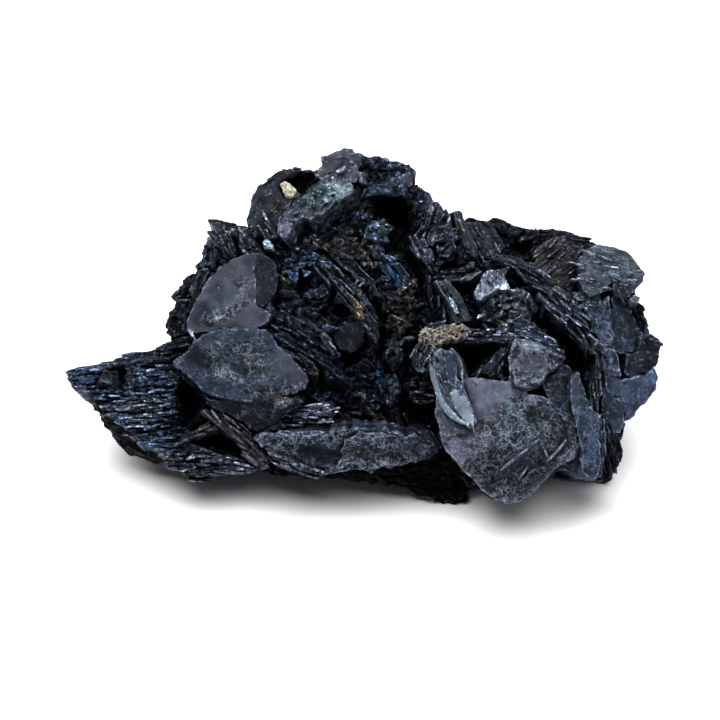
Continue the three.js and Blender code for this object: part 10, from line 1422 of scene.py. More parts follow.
def cut(G, idx, row):
    r = loft_sd(G, row)
    if r is None: return
    sl, X, Y, Z, out = r
    ii = np.nonzero((out < 1.2) & (out > -1.2))
    x, y, z = X[ii[0], 0, 0], Y[0, ii[1], 0], Z[0, 0, ii[2]]
    out[ii] += bricks(x, y, z, 50 + idx).astype(np.float32) * .45 + .1
    s = G.s[sl]; m = -out > s
    s[m] = -out[m]; G.s[sl] = s

def mesh_of(S, vox, lo, adapt):
    g = openvdb.FloatGrid(background=1.5)
    g.copyFromArray(S, tolerance=0.0)
    pts, tris, quads = g.convertToPolygons(0.0, adapt)
    return pts.astype(np.float64) * vox + lo, np.asarray(tris), np.asarray(quads)

# ---- one body of crystals, meshed finely in front and more coarsely behind ---------------------------------------------
T0 = time.time()
CUT_D = 12.0                         # depth where the coarse back piece takes over, mm
SC_MM = 1.0
TINTS = {0: (0.80, 1.0, 1.42), 1: (0.66, 1.0, 1.76), 2: (0.78, 1.0, 1.24), 3: (1.00, 1.0, 1.10), 4: (1.10, 0.92, 1.20),
         5: (0.79, 1.0, 1.27), 6: (0.90, 1.0, 1.42), 7: (1.0, 0.9, 1.1), 8: (1.30, 1.02, 0.72), 9: (0.36, 1.0, 2.3), 10: (0.42, 1.25, 1.5), 11: (0.72, 1.04, 1.20), 12: (0.92, 0.94, 1.46), 13: (0.64, 1.08, 1.28)}

def shard_row(i, r):
    x, d, z, nx, nz, g, L, Wd, t, ti, br = r
    k = h2(np.arange(6), np.full(6, i), 91)
    P = [(-L / 2, Wd * (k[0] - .5) * .6), (-L * (.2 + .2 * k[1]), -Wd / 2), (L * (.15 + .25 * k[2]), -Wd * .42), (L / 2, Wd * (k[3] - .5) * .7),
         (L * (.1 + .25 * k[4]), Wd / 2), (-L * (.25 + .15 * k[5]), Wd * .45)]
    return ('H', [x, d, z], [nx, -1.0, nz], g, t, ti, br, {}, np.array(P).ravel())

ROWS = list(PLATES) + [shard_row(i, r) for i, r in enumerate(SHARDS)]

def extent():
    pts = []
    for r in ROWS:
        U, V, W = axes_of(r[2], r[3]); P = np.array(r[8]).reshape(-1, 2); at = np.array(r[1])
        c = at + np.outer(P[:, 0], U) + np.outer(P[:, 1], V); pts += [c, c - W * r[4]]
    for r in MASS:
        A = np.array(r[2]).reshape(-1, 2); B = np.array(r[3]).reshape(-1, 2)
        pts += [np.stack([A[:, 0], 0 * A[:, 0] + r[0], A[:, 1]], 1), np.stack([B[:, 0], 0 * B[:, 0] + r[1], B[:, 1]], 1)]
    p = np.vstack(pts); return p.min(0) - 1.6, p.max(0) + 1.6

def build(lo, hi, vox):
    G = Grid(lo, hi, vox)
    for i, r in enumerate(MASS): add_mass(G, i, r)
    for i, r in enumerate(ROWS): add_plate(G, i, r)
    for i, r in enumerate(CLEFTS): cut(G, i, r)
    # the flat broken base
    d = (-G.ax[1] * ST)[None, :, None] + (G.ax[2] * CT)[None, None, :] + SEAT[2]
    np.maximum(G.s, (-d).astype(np.float32), out=G.s)
    return G

def max_near(a, n):
    for ax in (0, 1):
        out = a.copy()
        for k in range(1, n + 1):
            f = [slice(None)] * 2; b = [slice(None)] * 2; f[ax] = slice(k, None); b[ax] = slice(None, -k)
            out[tuple(b)] = np.maximum(out[tuple(b)], a[tuple(f)]); out[tuple(f)] = np.maximum(out[tuple(f)], a[tuple(b)])
        a = out
    return a

def fill_inside(G, from_front, margin=1.8, reach=1.6):
    """Solid rock deeper than anyone can see: no hidden hollows between the crystals' roots."""
    occ = G.s < 0
    if not from_front: occ = occ[:, ::-1]
    first = np.where(occ.any(1), occ.argmax(1), 10 ** 6)
    first = max_near(first, int(round(reach / G.vox)))
    j = np.arange(G.n[1])[None, :, None]
    m = j > (first + margin / G.vox)[:, None, :]
    if not from_front: m = m[:, ::-1]
    G.s[m] = -1.5

def smooth_box(a, n):
    for ax in range(3):
        c = np.cumsum(np.pad(a, [(n + 1, n) if i == ax else (0, 0) for i in range(3)], mode='edge'), axis=ax, dtype=np.float32)
        hi = [slice(None)] * 3; lo = [slice(None)] * 3
        hi[ax] = slice(2 * n + 1, None); lo[ax] = slice(None, -(2 * n + 1))
        a = (c[tuple(hi)] - c[tuple(lo)]) / (2 * n + 1)
    return a

def sample(vol, lo, vox, p):
    q = (p - lo) / vox
    i = np.clip(np.floor(q).astype(int), 0, np.array(vol.shape) - 2); f = (q - i).astype(np.float32)
    r = 0
    for dx in (0, 1):
        for dy in (0, 1):
            for dz in (0, 1):
                w = (f[:, 0] if dx else 1 - f[:, 0]) * (f[:, 1] if dy else 1 - f[:, 1]) * (f[:, 2] if dz else 1 - f[:, 2])
                r = r + w * vol[i[:, 0] + dx, i[:, 1] + dy, i[:, 2] + dz]
    return r

def components(nv, a, b):
    lab = np.arange(nv)
    while True:
        m = np.minimum(lab[a], lab[b]); new = lab.copy()
        np.minimum.at(new, a, m); np.minimum.at(new, b, m)
        new = new[new]; new = new[new]
        if (new == lab).all(): return lab
        lab = new

def lin(v):
    return v / 12.92 if v <= 0.04045 else ((v + 0.055) / 1.055) ** 2.4

KIND_GAIN = (1.0, 0.42, 1.0, 0.55)    # fibrous, smooth, broken, glittering
def base_of(ti, br):
    return np.array(TINTS[ti]) * lin(min(br * 0.55, 0.95))

def surface_data(p, G, fields):
    """Per point: which crystal it is on, and what that crystal's face is like there."""
    e1, e2, e3 = [sample(c, G.lo, G.vox, p) for c in fields]
    q = np.clip(np.rint((p - G.lo) / G.vox).astype(int), 0, np.array(G.n) - 1)
    own = G.o[q[:, 0], q[:, 1], q[:, 2]].astype(int)
    n = len(p)
    kinds = np.zeros((n, 4), np.float32); tint = np.ones((n, 4), np.float32); loc = np.zeros((n, 3), np.float32); par = np.zeros((n, 4), np.float32)
    order = np.argsort(own, kind='stable'); so = own[order]; cuts = np.flatnonzero(np.diff(so)) + 1
    for idx in np.split(order, cuts):
        if len(idx) == 0: continue
        o = own[idx[0]]
        if o >= 0:
            kind, at, nn, g, t_, ti, br, ex, out = ROWS[o]
            U, V, W = axes_of(nn, g); dlt = p[idx] - np.array(at)
            loc[idx] = np.stack([dlt @ U + 17.3 * (o % 23), dlt @ V + 11.9 * (o % 31), dlt @ W + 7.7 * (o % 13)], 1) * 0.001
            face = np.clip(1.0 - (-(dlt @ W) - 0.55) / 0.4, 0, 1)       # 1 on the outer face, 0 down the sides
        else:
            kind, ti, br, ex = 'R', 1, 0.13, {}
            loc[idx] = p[idx] * 0.001; face = np.zeros(len(idx))
        tint[idx, :3] = base_of(ti, br)
        soft = 0.5 if ex.get('soft') else 0.0
        kinds[idx, 0] = 1.0 - soft if kind == 'F' else 0.0
        kinds[idx, 1] = (1.0 if kind in 'SC' else soft) * (0.35 + 0.65 * face)
        kinds[idx, 2] = 1.0 if kind in 'RDBH' else 0.0
        kinds[idx, 3] = (1.0 if kind == 'V' else 0.0) * face
        par[idx, 0] = br; par[idx, 1] = ex.get('crk', 0.0) * face; par[idx, 2] = ex.get('iri', 0.0); par[idx, 3] = float(ti in (3, 4, 8))
    k = 320.0 / (320.0 + p[:, 1]); x, z = p[:, 0] * k, p[:, 2] * k
    wob = (.9 * vnoise(x / 1.1, z / 1.1, 77) + .5 * vnoise(x / .4, z / .4, 78)).astype(np.float32)
    for (d0, d1, soft, ti, br, crk, kind, out) in PATCHES:
        P = np.array(out, np.float32).reshape(-1, 2)
        m = np.flatnonzero((p[:, 1] > d0) & (p[:, 1] < d1) & (x > P[:, 0].min() - 1.5) & (x < P[:, 0].max() + 1.5) & (z > P[:, 1].min() - 1.5) & (z < P[:, 1].max() + 1.5))
        if len(m) == 0: continue
        sd = sd_poly(x[m], z[m], P) + wob[m] * min(1.0, soft)
        w = np.clip(0.5 - sd / (2 * soft), 0, 1); w = (w * w * (3 - 2 * w))[:, None]
        if br >= 0: tint[m, :3] = tint[m, :3] * (1 - w) + base_of(ti if ti >= 0 else 0, br) * w; par[m, 0] = par[m, 0] * (1 - w[:, 0]) + br * w[:, 0]
        if crk >= 0: par[m, 1] = par[m, 1] * (1 - w[:, 0]) + crk * w[:, 0]
        if kind:
            kk = np.array([[kind == 'F', kind in 'SC', kind in 'RDB', kind == 'V']], np.float32)
            kinds[m] = kinds[m] * (1 - w) + kk * w
    gain = kinds @ np.array(KIND_GAIN, np.float32) + np.clip(1 - kinds.sum(1), 0, 1)
    tint[:, :3] *= gain[:, None]
    return own, kinds, tint, par, loc, e1, e2, e3

def to_piece(name, S, lo, G, fields, mat, adapt, flat=True):
    t = time.time()
    for a in range(3):                     # closed at the edge of its grid
        for e in (0, -1):
            sl = [slice(None)] * 3; sl[a] = e; S[tuple(sl)] = 1.5
    p, tris, quads = mesh_of(S, G.vox, lo, adapt)
    tris = tris.astype(int) if len(tris) else np.zeros((0, 3), int); quads = quads.astype(int) if len(quads) else np.zeros((0, 4), int)
    # leave out sealed hollows and crumbs
    lab = components(len(p), np.concatenate([tris[:, 0], tris[:, 1], quads[:, 0], quads[:, 1], quads[:, 2]]), np.concatenate([tris[:, 1], tris[:, 2], quads[:, 1], quads[:, 2], quads[:, 3]]))
    c0 = p.mean(0); T3 = np.concatenate([tris, quads[:, [0, 1, 2]], quads[:, [0, 2, 3]]])
    A, B, C = p[T3[:, 0]] - c0, p[T3[:, 1]] - c0, p[T3[:, 2]] - c0
    vol = np.bincount(lab[T3[:, 0]], weights=np.einsum('ij,ij->i', A, np.cross(B, C)) / 6.0, minlength=len(p))
    keep = vol > 0.03
    used = keep[lab]
    tris = tris[used[tris[:, 0]]] if len(tris) else tris; quads = quads[used[quads[:, 0]]] if len(quads) else quads
    new = np.cumsum(used) - 1; p = p[used]; tris = new[tris]; quads = new[quads]
    own, kinds, tint, par, loc, e1, e2, e3 = surface_data(p, G, fields)
    pr = to_row(p) * 0.001
    me = bpy.data.meshes.new(name)
    nt, nq = len(tris), len(quads)
    me.vertices.add(len(pr)); me.vertices.foreach_set('co', pr.astype(np.float32).ravel())
    me.loops.add(3 * nt + 4 * nq)
    lv = np.concatenate([tris.ravel(), quads.ravel()])
    me.loops.foreach_set('vertex_index', lv.astype(np.int32))
    me.polygons.add(nt + nq)
    starts = np.concatenate([np.arange(nt) * 3, 3 * nt + np.arange(nq) * 4]).astype(np.int32)
    me.polygons.foreach_set('loop_start', starts)
    me.polygons.foreach_set('loop_total', np.concatenate([np.full(nt, 3), np.full(nq, 4)]).astype(np.int32))
    me.update(calc_edges=True); me.validate()
    if flat:                               # broken facets are flat, smooth and fibrous faces are not
        v0 = np.concatenate([tris[:, 0], quads[:, 0]]); rough = kinds[v0, 2] + kinds[v0, 3] > 0.5
        if len(me.polygons) == len(rough):
            a = me.attributes.new('sharp_face', 'BOOLEAN', 'FACE'); a.data.foreach_set('value', rough)
    for nm, a in (('kinds', kinds), ('tint', tint), ('par', par)):
        at_ = me.attributes.new(nm, 'FLOAT_COLOR', 'POINT'); at_.data.foreach_set('color', a.ravel())
    at_ = me.attributes.new('loc', 'FLOAT_VECTOR', 'POINT'); at_.data.foreach_set('vector', loc.ravel())
    at_ = me.attributes.new('edge', 'FLOAT', 'POINT'); at_.data.foreach_set('value', e1.astype(np.float32))
    at_ = me.attributes.new('edge2', 'FLOAT', 'POINT'); at_.data.foreach_set('value', e2.astype(np.float32))
    at_ = me.attributes.new('edge3', 'FLOAT', 'POINT'); at_.data.foreach_set('value', e3.astype(np.float32))
    ob = bpy.data.objects.new(name, me); bpy.context.scene.collection.objects.link(ob)
    me.materials.append(mat)
    ntri = nt + 2 * nq
    print('piece', name, 'triangles', ntri, 'grid', S.shape, 'left out', int((~used).sum()), 'mesh %.1fs' % (time.time() - t), flush=True)
    return ob, ntri

# ---- materials ----------------------------------------------------------------------------------------------------------
class NT:
    def __init__(self, name):
        self.m = bpy.data.materials.new(name); self.m.use_nodes = True
        self.t = self.m.node_tree; self.t.nodes.clear()
        self.out = self.t.nodes.new('ShaderNodeOutputMaterial'); self.b = self.t.nodes.new('ShaderNodeBsdfPrincipled')
        self.t.links.new(self.b.outputs[0], self.out.inputs[0])
    def link(self, a, b): self.t.links.new(a, b)
    def put(self, sock, v):
        if isinstance(v, (int, float, tuple, list)): sock.default_value = v
        else: self.link(v, sock)
    def math(self, op, a, b=0.0, c=0.0, clamp=False):
        n = self.t.nodes.new('ShaderNodeMath'); n.operation = op; n.use_clamp = clamp
        self.put(n.inputs[0], a); self.put(n.inputs[1], b)
        if len(n.inputs) > 2: self.put(n.inputs[2], c)
        return n.outputs[0]
    def mul(self, a, b, *more):
        r = self.math('MULTIPLY', a, b)
        for m in more: r = self.math('MULTIPLY', r, m)
        return r
    def add(self, a, b): return self.math('ADD', a, b)
    def sub(self, a, b): return self.math('SUBTRACT', a, b)
    def ramp(self, v, lo, hi, a=0.0, b=1.0, smooth=True):
        n = self.t.nodes.new('ShaderNodeMapRange'); n.interpolation_type = 'SMOOTHSTEP' if smooth else 'LINEAR'; n.clamp = True
        self.put(n.inputs[0], v)
        for i, q in enumerate((lo, hi, a, b)): self.put(n.inputs[i + 1], q)
        return n.outputs[0]
    def vmul(self, v, s):
        n = self.t.nodes.new('ShaderNodeVectorMath'); n.operation = 'MULTIPLY'; self.put(n.inputs[0], v); n.inputs[1].default_value = s
        return n.outputs[0]
    def scale(self, v, s):
        n = self.t.nodes.new('ShaderNodeVectorMath'); n.operation = 'SCALE'; self.put(n.inputs[0], v); self.put(n.inputs['Scale'], s)
        return n.outputs[0]
    def vadd(self, v, s):
        n = self.t.nodes.new('ShaderNodeVectorMath'); n.operation = 'ADD'; self.put(n.inputs[0], v); self.put(n.inputs[1], s)
        return n.outputs[0]
    def noise(self, v, scale, detail=2.0, rough=0.5, dist=0.0, color=False):
        n = self.t.nodes.new('ShaderNodeTexNoise'); self.put(n.inputs['Vector'], v); n.inputs['Scale'].default_value = scale
        n.inputs['Detail'].default_value = detail; n.inputs['Roughness'].default_value = rough; n.inputs['Distortion'].default_value = dist
        return n.outputs[1 if color else 0]
    def voro(self, v, scale, feature='F1', color=False, rnd=1.0):
        n = self.t.nodes.new('ShaderNodeTexVoronoi'); n.feature = feature; self.put(n.inputs['Vector'], v); n.inputs['Scale'].default_value = scale
        n.inputs['Randomness'].default_value = rnd
        return n.outputs['Color'] if color else n.outputs['Distance']
    def rnd(self, x, y):
        c = self.t.nodes.new('ShaderNodeCombineXYZ'); self.put(c.inputs[0], x); self.put(c.inputs[1], y)
        n = self.t.nodes.new('ShaderNodeTexWhiteNoise'); n.noise_dimensions = '2D'; self.link(c.outputs[0], n.inputs['Vector'])
        return n.outputs['Value']
    def attr(self, name):
        n = self.t.nodes.new('ShaderNodeAttribute'); n.attribute_type = 'GEOMETRY'; n.attribute_name = name; return n
    def sep(self, c):
        n = self.t.nodes.new('ShaderNodeSeparateColor'); self.put(n.inputs[0], c); return n.outputs
    def xyz(self, c):
        n = self.t.nodes.new('ShaderNodeSeparateXYZ'); self.put(n.inputs[0], c); return n.outputs
    def mix(self, f, a, b, mode='MIX'):
        n = self.t.nodes.new('ShaderNodeMix'); n.data_type = 'RGBA'; n.blend_type = mode; n.clamp_factor = True
        self.put(n.inputs[0], f)
        self.put(n.inputs[6], a if not isinstance(a, tuple) else (*a, 1.0) if len(a) == 3 else a)
        self.put(n.inputs[7], b if not isinstance(b, tuple) else (*b, 1.0) if len(b) == 3 else b)
        return n.outputs[2]
    def obj(self):
        n = self.t.nodes.new('ShaderNodeTexCoord'); return n.outputs['Object']
    def bump(self, h, strength, dist, normal=None):
        n = self.t.nodes.new('ShaderNodeBump'); n.inputs['Strength'].default_value = strength; n.inputs['Distance'].default_value = dist
        self.put(n.inputs['Height'], h)
        if normal is not None: self.link(normal, n.inputs['Normal'])
        return n.outputs[0]

def laminae(T, u, v, pitch, seg, salt):
    """Stacked broken laminae: (random value of each segment, mask that is 0 in the gaps, painted highlight on each
    one's upper edge).
    """
    row = T.math('FLOOR', T.mul(v, 1.0 / pitch)); f = T.sub(T.mul(v, 1.0 / pitch), row)
    uu = T.add(T.mul(u, 1.0 / seg), T.mul(T.rnd(row, salt + 3.3), 7.0)); c = T.math('FLOOR', uu); g = T.sub(uu, c)
    r = T.rnd(T.add(row, salt), c)
    ef = T.math('MINIMUM', f, T.sub(1.0, f)); eg = T.mul(T.math('MINIMUM', g, T.sub(1.0, g)), seg / pitch)
    e = T.math('MINIMUM', ef, eg)
    gap = T.ramp(e, 0.03, 0.20)                                   # 0 in the gaps
    lamina_highlight = T.mul(T.ramp(f, 0.55, 0.80), T.ramp(f, 0.86, 0.97, 1.0, 0.0))  # the lit upper edge
    return r, gap, lamina_highlight

def stone():
    T = NT('berthierite_metal'); b = T.b
    mm = T.vmul(T.obj(), (1000.0,) * 3)
    loc = T.vmul(T.attr('loc').outputs['Vector'], (1000.0,) * 3)
    K = T.attr('kinds'); kf, ks, kr = T.sep(K.outputs['Color']); kv = K.outputs['Alpha']
    Pp = T.attr('par'); pbr, pcrk, piri = T.sep(Pp.outputs['Color']); pwarm = Pp.outputs['Alpha']
    tint = T.attr('tint').outputs['Color']
    e1 = T.attr('edge').outputs['Fac']; e2 = T.attr('edge2').outputs['Fac']; e3 = T.attr('edge3').outputs['Fac']
    broad = T.noise(mm, 0.24, 2.0, 0.5)
    mid = T.noise(mm, 1.1, 4.0, 0.65)
    fine = T.noise(mm, 4.2, 2.0, 0.6)
    grit = T.voro(mm, 2.4, 'F1', True); g1, g2, g3 = T.sep(grit)
    # laminae of the fibrous crystals, at two sizes, wavering along the grain
    wob = T.noise(loc, 0.45, 2.0, 0.5); wob2 = T.noise(loc, 1.7, 2.0, 0.5)
    lu, lv, lw = T.xyz(loc)
    vv = T.add(T.add(lv, T.mul(lw, 0.8)), T.add(T.mul(wob, 1.6), T.mul(wob2, 0.26)))
    r1, gap1, lamina_highlight1 = laminae(T, lu, vv, 0.46, 2.1, 0.0)
    r2, gap2, lamina_highlight2 = laminae(T, lu, T.add(vv, 0.11), 0.27, 1.1, 41.0)
    # value drops in the gaps between laminae (painted shade) and rises on each one's upper edge (painted highlight)
    vF = T.mul(T.add(T.mul(r1, r1), 0.28), T.add(T.mul(r2, 0.9), 0.45), T.ramp(gap1, 0, 1, 0.10, 1.0), T.ramp(gap2, 0, 1, 0.45, 1.0))
    vF = T.add(vF, T.mul(lamina_highlight1, T.ramp(r2, 0.45, 0.85), T.ramp(r1, 0.2, 0.8, 0.3, 1.0), 1.5))
    vF = T.mul(vF, T.ramp(mid, 0.32, 0.62, 0.45, 1.6, False))
    # smooth faces: soft cloudy grey, with pale lace where they are crackled
    cloud = T.noise(loc, 0.42, 3.0, 0.55)
    vS = T.mul(T.ramp(cloud, 0.34, 0.64, 0.62, 1.28, False), T.ramp(mid, 0.3, 0.7, 0.78, 1.20, False), T.ramp(fine, 0.35, 0.65, 0.90, 1.10, False))
    rough = T.ramp(pcrk, 0.5, 1.6)                                  # crackled faces are mottled and streaked along the grain
    streak = T.noise(T.vmul(loc, (0.45, 2.6, 2.6)), 1.5, 4.0, 0.65, 0.5)
    mott = T.mul(T.ramp(fine, 0.36, 0.64, 0.50, 1.50, False), T.ramp(streak, 0.36, 0.64, 0.55, 1.50, False), T.ramp(mid, 0.34, 0.66, 0.60, 1.40, False))
    vS = T.mul(vS, T.add(T.math('SUBTRACT', 1.0, rough, clamp=True), T.mul(rough, mott)))
    wv = T.noise(loc, 0.8, 2.0, 0.5, color=True)
    cv = T.vadd(loc, T.vmul(wv, (0.8, 0.8, 0.8)))
    c1 = T.voro(cv, 0.58, 'DISTANCE_TO_EDGE'); c2 = T.voro(T.vadd(cv, (3.1, 7.7, 1.3)), 1.05, 'DISTANCE_TO_EDGE')
    l1 = T.ramp(c1, 0.0, 0.06, 1.0, 0.0); l2 = T.ramp(c2, 0.0, 0.10, 1.0, 0.0)
    vein = T.noise(loc, 0.62, 3.0, 0.62, 0.9); vein = T.math('ABSOLUTE', T.sub(vein, 0.5)); l3 = T.ramp(vein, 0.0, 0.016, 1.0, 0.0)
    pn = T.noise(loc, 0.30, 3.0, 0.7); pn2 = T.noise(T.vadd(loc, (9.0, 2.0, 5.0)), 0.62, 4.0, 0.72, 0.4)
    pth = T.ramp(pcrk, 0.0, 2.4, 0.64, 0.36, False)      # more crackle: more of the face is covered
    patch = T.ramp(T.sub(pn, pth), -0.03, 0.10); patch2 = T.ramp(T.sub(pn2, T.add(pth, 0.03)), 0.0, 0.10)
    keep = T.ramp(T.noise(loc, 1.6, 2.0, 0.6), 0.40, 0.56, 0.15, 1.0)
    lines = T.math('MAXIMUM', T.mul(l1, patch), T.math('MAXIMUM', T.mul(l2, patch2, 0.8), T.mul(l3, T.math('MAXIMUM', patch, patch2), 0.9)))
    lines = T.mul(lines, keep)
    smear = T.mul(patch2, T.ramp(T.noise(loc, 2.1, 4.0, 0.7), 0.50, 0.66))
    on = T.ramp(pcrk, 0.0, 0.25)
    lace = T.mul(T.add(T.mul(lines, T.ramp(pcrk, 1.5, 2.6, 0.46, 1.05, False)), T.mul(smear, 0.50)), on)
    dark = T.noise(T.vadd(loc, (4.0, 8.0, 1.0)), 0.50, 4.0, 0.70, 0.3)       # darker fields inside the crackle
    dusk = T.ramp(T.sub(dark, T.ramp(pcrk, 0.0, 2.4, 0.24, 0.52, False)), -0.02, 0.12, 0.16, 1.0)
    dusk = T.mix(T.ramp(pcrk, 0.1, 0.6), (1.0, 1.0, 1.0), dusk); dusk = T.sep(dusk)[0]
    vS = T.mul(vS, dusk)
    # broken surfaces: harsh little facets
    fac = T.voro(T.vmul(loc, (0.7, 1.5, 1.2)), 1.6, 'F1', True); f1, f2, f3 = T.sep(fac)
    vR = T.mul(T.ramp(mid, 0.36, 0.66, 0.10, 1.75, False), T.add(T.mul(f1, f1, 1.5), 0.25), T.ramp(fine, 0.34, 0.62, 0.55, 1.35, False))
    vV = T.mul(T.ramp(f2, 0.0, 1.0, 0.50, 1.40, False), T.ramp(mid, 0.32, 0.66, 0.55, 1.35, False), T.ramp(fine, 0.36, 0.6, 0.8, 1.15, False))
    rest = T.math('SUBTRACT', 1.0, T.math('ADD', T.add(kf, ks), T.add(kr, kv)), clamp=True)
    val = T.add(T.add(T.mul(kf, vF), T.mul(ks, vS)), T.add(T.mul(T.add(kr, rest), vR), T.mul(kv, vV)))
    val = T.mul(val, T.ramp(broad, 0.3, 0.7, 0.78, 1.25, False))
    # paler convex edges: painted highlight, with wear; darker crevices and hollows: painted shade
    edge_wear_and_highlight = T.mul(T.ramp(e1, 0.015, 0.09), T.ramp(fine, 0.38, 0.58, 0.10, 1.0))
    crevice_shade = T.mul(T.ramp(e2, -0.26, 0.02, 0.05, 1.0), T.ramp(e1, -0.10, 0.0, 0.35, 1.0), T.ramp(e3, -0.62, -0.12, 0.10, 1.0))
    val = T.mul(val, T.add(1.0, T.mul(edge_wear_and_highlight, 1.5)), crevice_shade)
    col = T.scale(tint, val)
    lit = T.ramp(pbr, 0.0, 0.5); litl = T.ramp(pbr, 0.02, 0.62, 0.12, 1.0, False)
    # pale edges (painted highlight, with wear), lace and painted glints are added in a bluish white
    pale = T.mix(T.ramp(T.noise(mm, 0.7, 1.0, 0.5), 0.45, 0.55), (0.135, 0.18, 0.26), (0.175, 0.19, 0.25))
    col = T.vadd(col, T.scale(pale, T.mul(T.add(T.mul(edge_wear_and_highlight, T.add(0.30, T.mul(ks, 0.70)), lit), T.mul(lace, T.math('MAXIMUM', ks, 0.25), litl, 1.2)), crevice_shade)))
    # painted glints: tiny bright specks standing for reflected light
    painted_glint = T.mul(T.ramp(g3, 0.84, 0.92), T.ramp(fine, 0.48, 0.58), T.ramp(mid, 0.44, 0.56))
    painted_glint = T.mul(painted_glint, T.add(T.mul(T.add(kr, kf), 0.9), T.add(T.mul(kv, 1.2), 0.03)), lit, crevice_shade)
    col = T.vadd(col, T.scale(pale, T.mul(painted_glint, 1.5)))
    # thin tarnish films: blue and teal, a little violet, some olive
    hue = T.noise(mm, 0.5, 2.0, 0.6)
    film = T.mul(T.ramp(T.noise(mm, 1.5, 3.0, 0.65), 0.58, 0.68), T.add(T.mul(piri, 0.85), 0.16), T.ramp(pbr, 0.05, 0.35))
    fcol = T.mix(T.ramp(hue, 0.42, 0.50), (0.020, 0.075, 0.15), (0.045, 0.13, 0.13)); fcol = T.mix(T.ramp(hue, 0.56, 0.62), fcol, (0.09, 0.07, 0.15))
    col = T.mix(T.mul(film, crevice_shade), col, fcol)
    warm = T.mul(T.ramp(T.noise(mm, 1.6, 3.0, 0.6), 0.50, 0.66), T.add(T.mul(pwarm, 0.50), 0.05), T.ramp(pbr, 0.05, 0.4), crevice_shade)
    col = T.mix(warm, col, (0.060, 0.047, 0.034))
    T.link(col, b.inputs['Base Color'])
    T.link(T.ramp(ks, 0.0, 1.0, 0.80, 0.45, False), b.inputs['Metallic'])
    b.inputs['IOR'].default_value = 1.35; b.inputs['Specular IOR Level'].default_value = 0.2
    r = T.add(T.mul(ks, 0.66), T.mul(T.math('SUBTRACT', 1.0, ks, clamp=True), T.ramp(g2, 0.0, 1.0, 0.34, 0.62, False)))
    r = T.sub(r, T.mul(painted_glint, 0.12)); r = T.add(r, T.mul(T.ramp(mid, 0.3, 0.7), 0.06))
    T.link(r, b.inputs['Roughness'])
    hF = T.add(T.mul(T.add(T.mul(gap1, 0.7), T.mul(r1, 0.9)), 1.0), T.add(T.mul(gap2, 0.25), T.mul(r2, 0.25)))
    hR = T.add(T.mul(mid, 1.1), T.add(T.mul(f1, 0.5), T.mul(g1, 0.35))); hS = T.add(T.mul(mid, 0.10), T.add(T.mul(lace, 0.12), T.mul(rough, T.add(T.mul(streak, 0.7), T.mul(fine, 0.35)))))
    h = T.add(T.mul(kf, hF), T.add(T.mul(T.add(kr, T.add(rest, kv)), hR), T.mul(ks, hS)))
    T.link(T.bump(h, 1.0, 0.00020), b.inputs['Normal'])
    return T.m

def grainy(name, ca, cb, cc, rough, sc=1.0):
    T = NT(name); b = T.b
    mm = T.vmul(T.obj(), (1000.0,) * 3)
    mid = T.noise(mm, 1.3 * sc, 4.0, 0.65); fine = T.noise(mm, 5.5 * sc, 3.0, 0.6); g = T.voro(mm, 3.2 * sc, 'F1', True); g1, g2, g3 = T.sep(g)
    e1 = T.attr('edge').outputs['Fac']
    col = T.mix(T.ramp(mid, 0.38, 0.62), ca, cb); col = T.mix(T.mul(T.ramp(g1, 0.55, 0.80), 0.85), col, cc)
    # darker in the hollows (concave curvature): painted shade
    col = T.mix(T.ramp(T.mul(e1, 1.0), -0.01, -0.12, 0.0, 0.9), col, tuple(0.12 * x for x in cc))
    col = T.scale(col, T.ramp(fine, 0.3, 0.7, 0.55, 1.35, False))
    T.link(col, b.inputs['Base Color']); T.link(T.ramp(g2, 0, 1, rough - .12, rough + .1, False), b.inputs['Roughness'])
    T.link(T.bump(T.add(T.mul(fine, 0.6), T.mul(g3, 0.6)), 1.0, 0.00018), b.inputs['Normal'])
    return T.m

def crusty(name):
    """Grey-brown grains with ochre ones among them."""
    T = NT(name); b = T.b
    mm = T.vmul(T.obj(), (1000.0,) * 3)
    mid = T.noise(mm, 1.1, 3.0, 0.6); fine = T.noise(mm, 4.5, 3.0, 0.6); g = T.voro(mm, 2.1, 'F1', True); g1, g2, g3 = T.sep(g)
    e1 = T.attr('edge').outputs['Fac']
    col = T.mix(T.ramp(g1, 0.45, 0.55), (0.030, 0.028, 0.029), (0.115, 0.112, 0.120))
    col = T.mix(T.mul(T.ramp(g2, 0.42, 0.50), T.ramp(mid, 0.42, 0.52)), col, (0.105, 0.082, 0.047))
    col = T.mix(T.mul(T.ramp(g3, 0.80, 0.86), T.ramp(mid, 0.45, 0.55)), col, (0.20, 0.17, 0.105))
    # near black in the hollows: painted shade; brighter on the grain tips: painted highlight
    col = T.mix(T.ramp(e1, -0.005, -0.10, 0.0, 0.92), col, (0.012, 0.011, 0.011))
    col = T.scale(col, T.mul(T.ramp(fine, 0.34, 0.64, 0.45, 1.45, False), T.add(1.0, T.mul(T.ramp(e1, 0.01, 0.08), 0.6))))
    T.link(col, b.inputs['Base Color']); b.inputs['Roughness'].default_value = 0.78
    T.link(T.bump(T.add(T.mul(fine, 0.6), T.mul(g3, 0.6)), 1.0, 0.00020), b.inputs['Normal'])
    return T.m
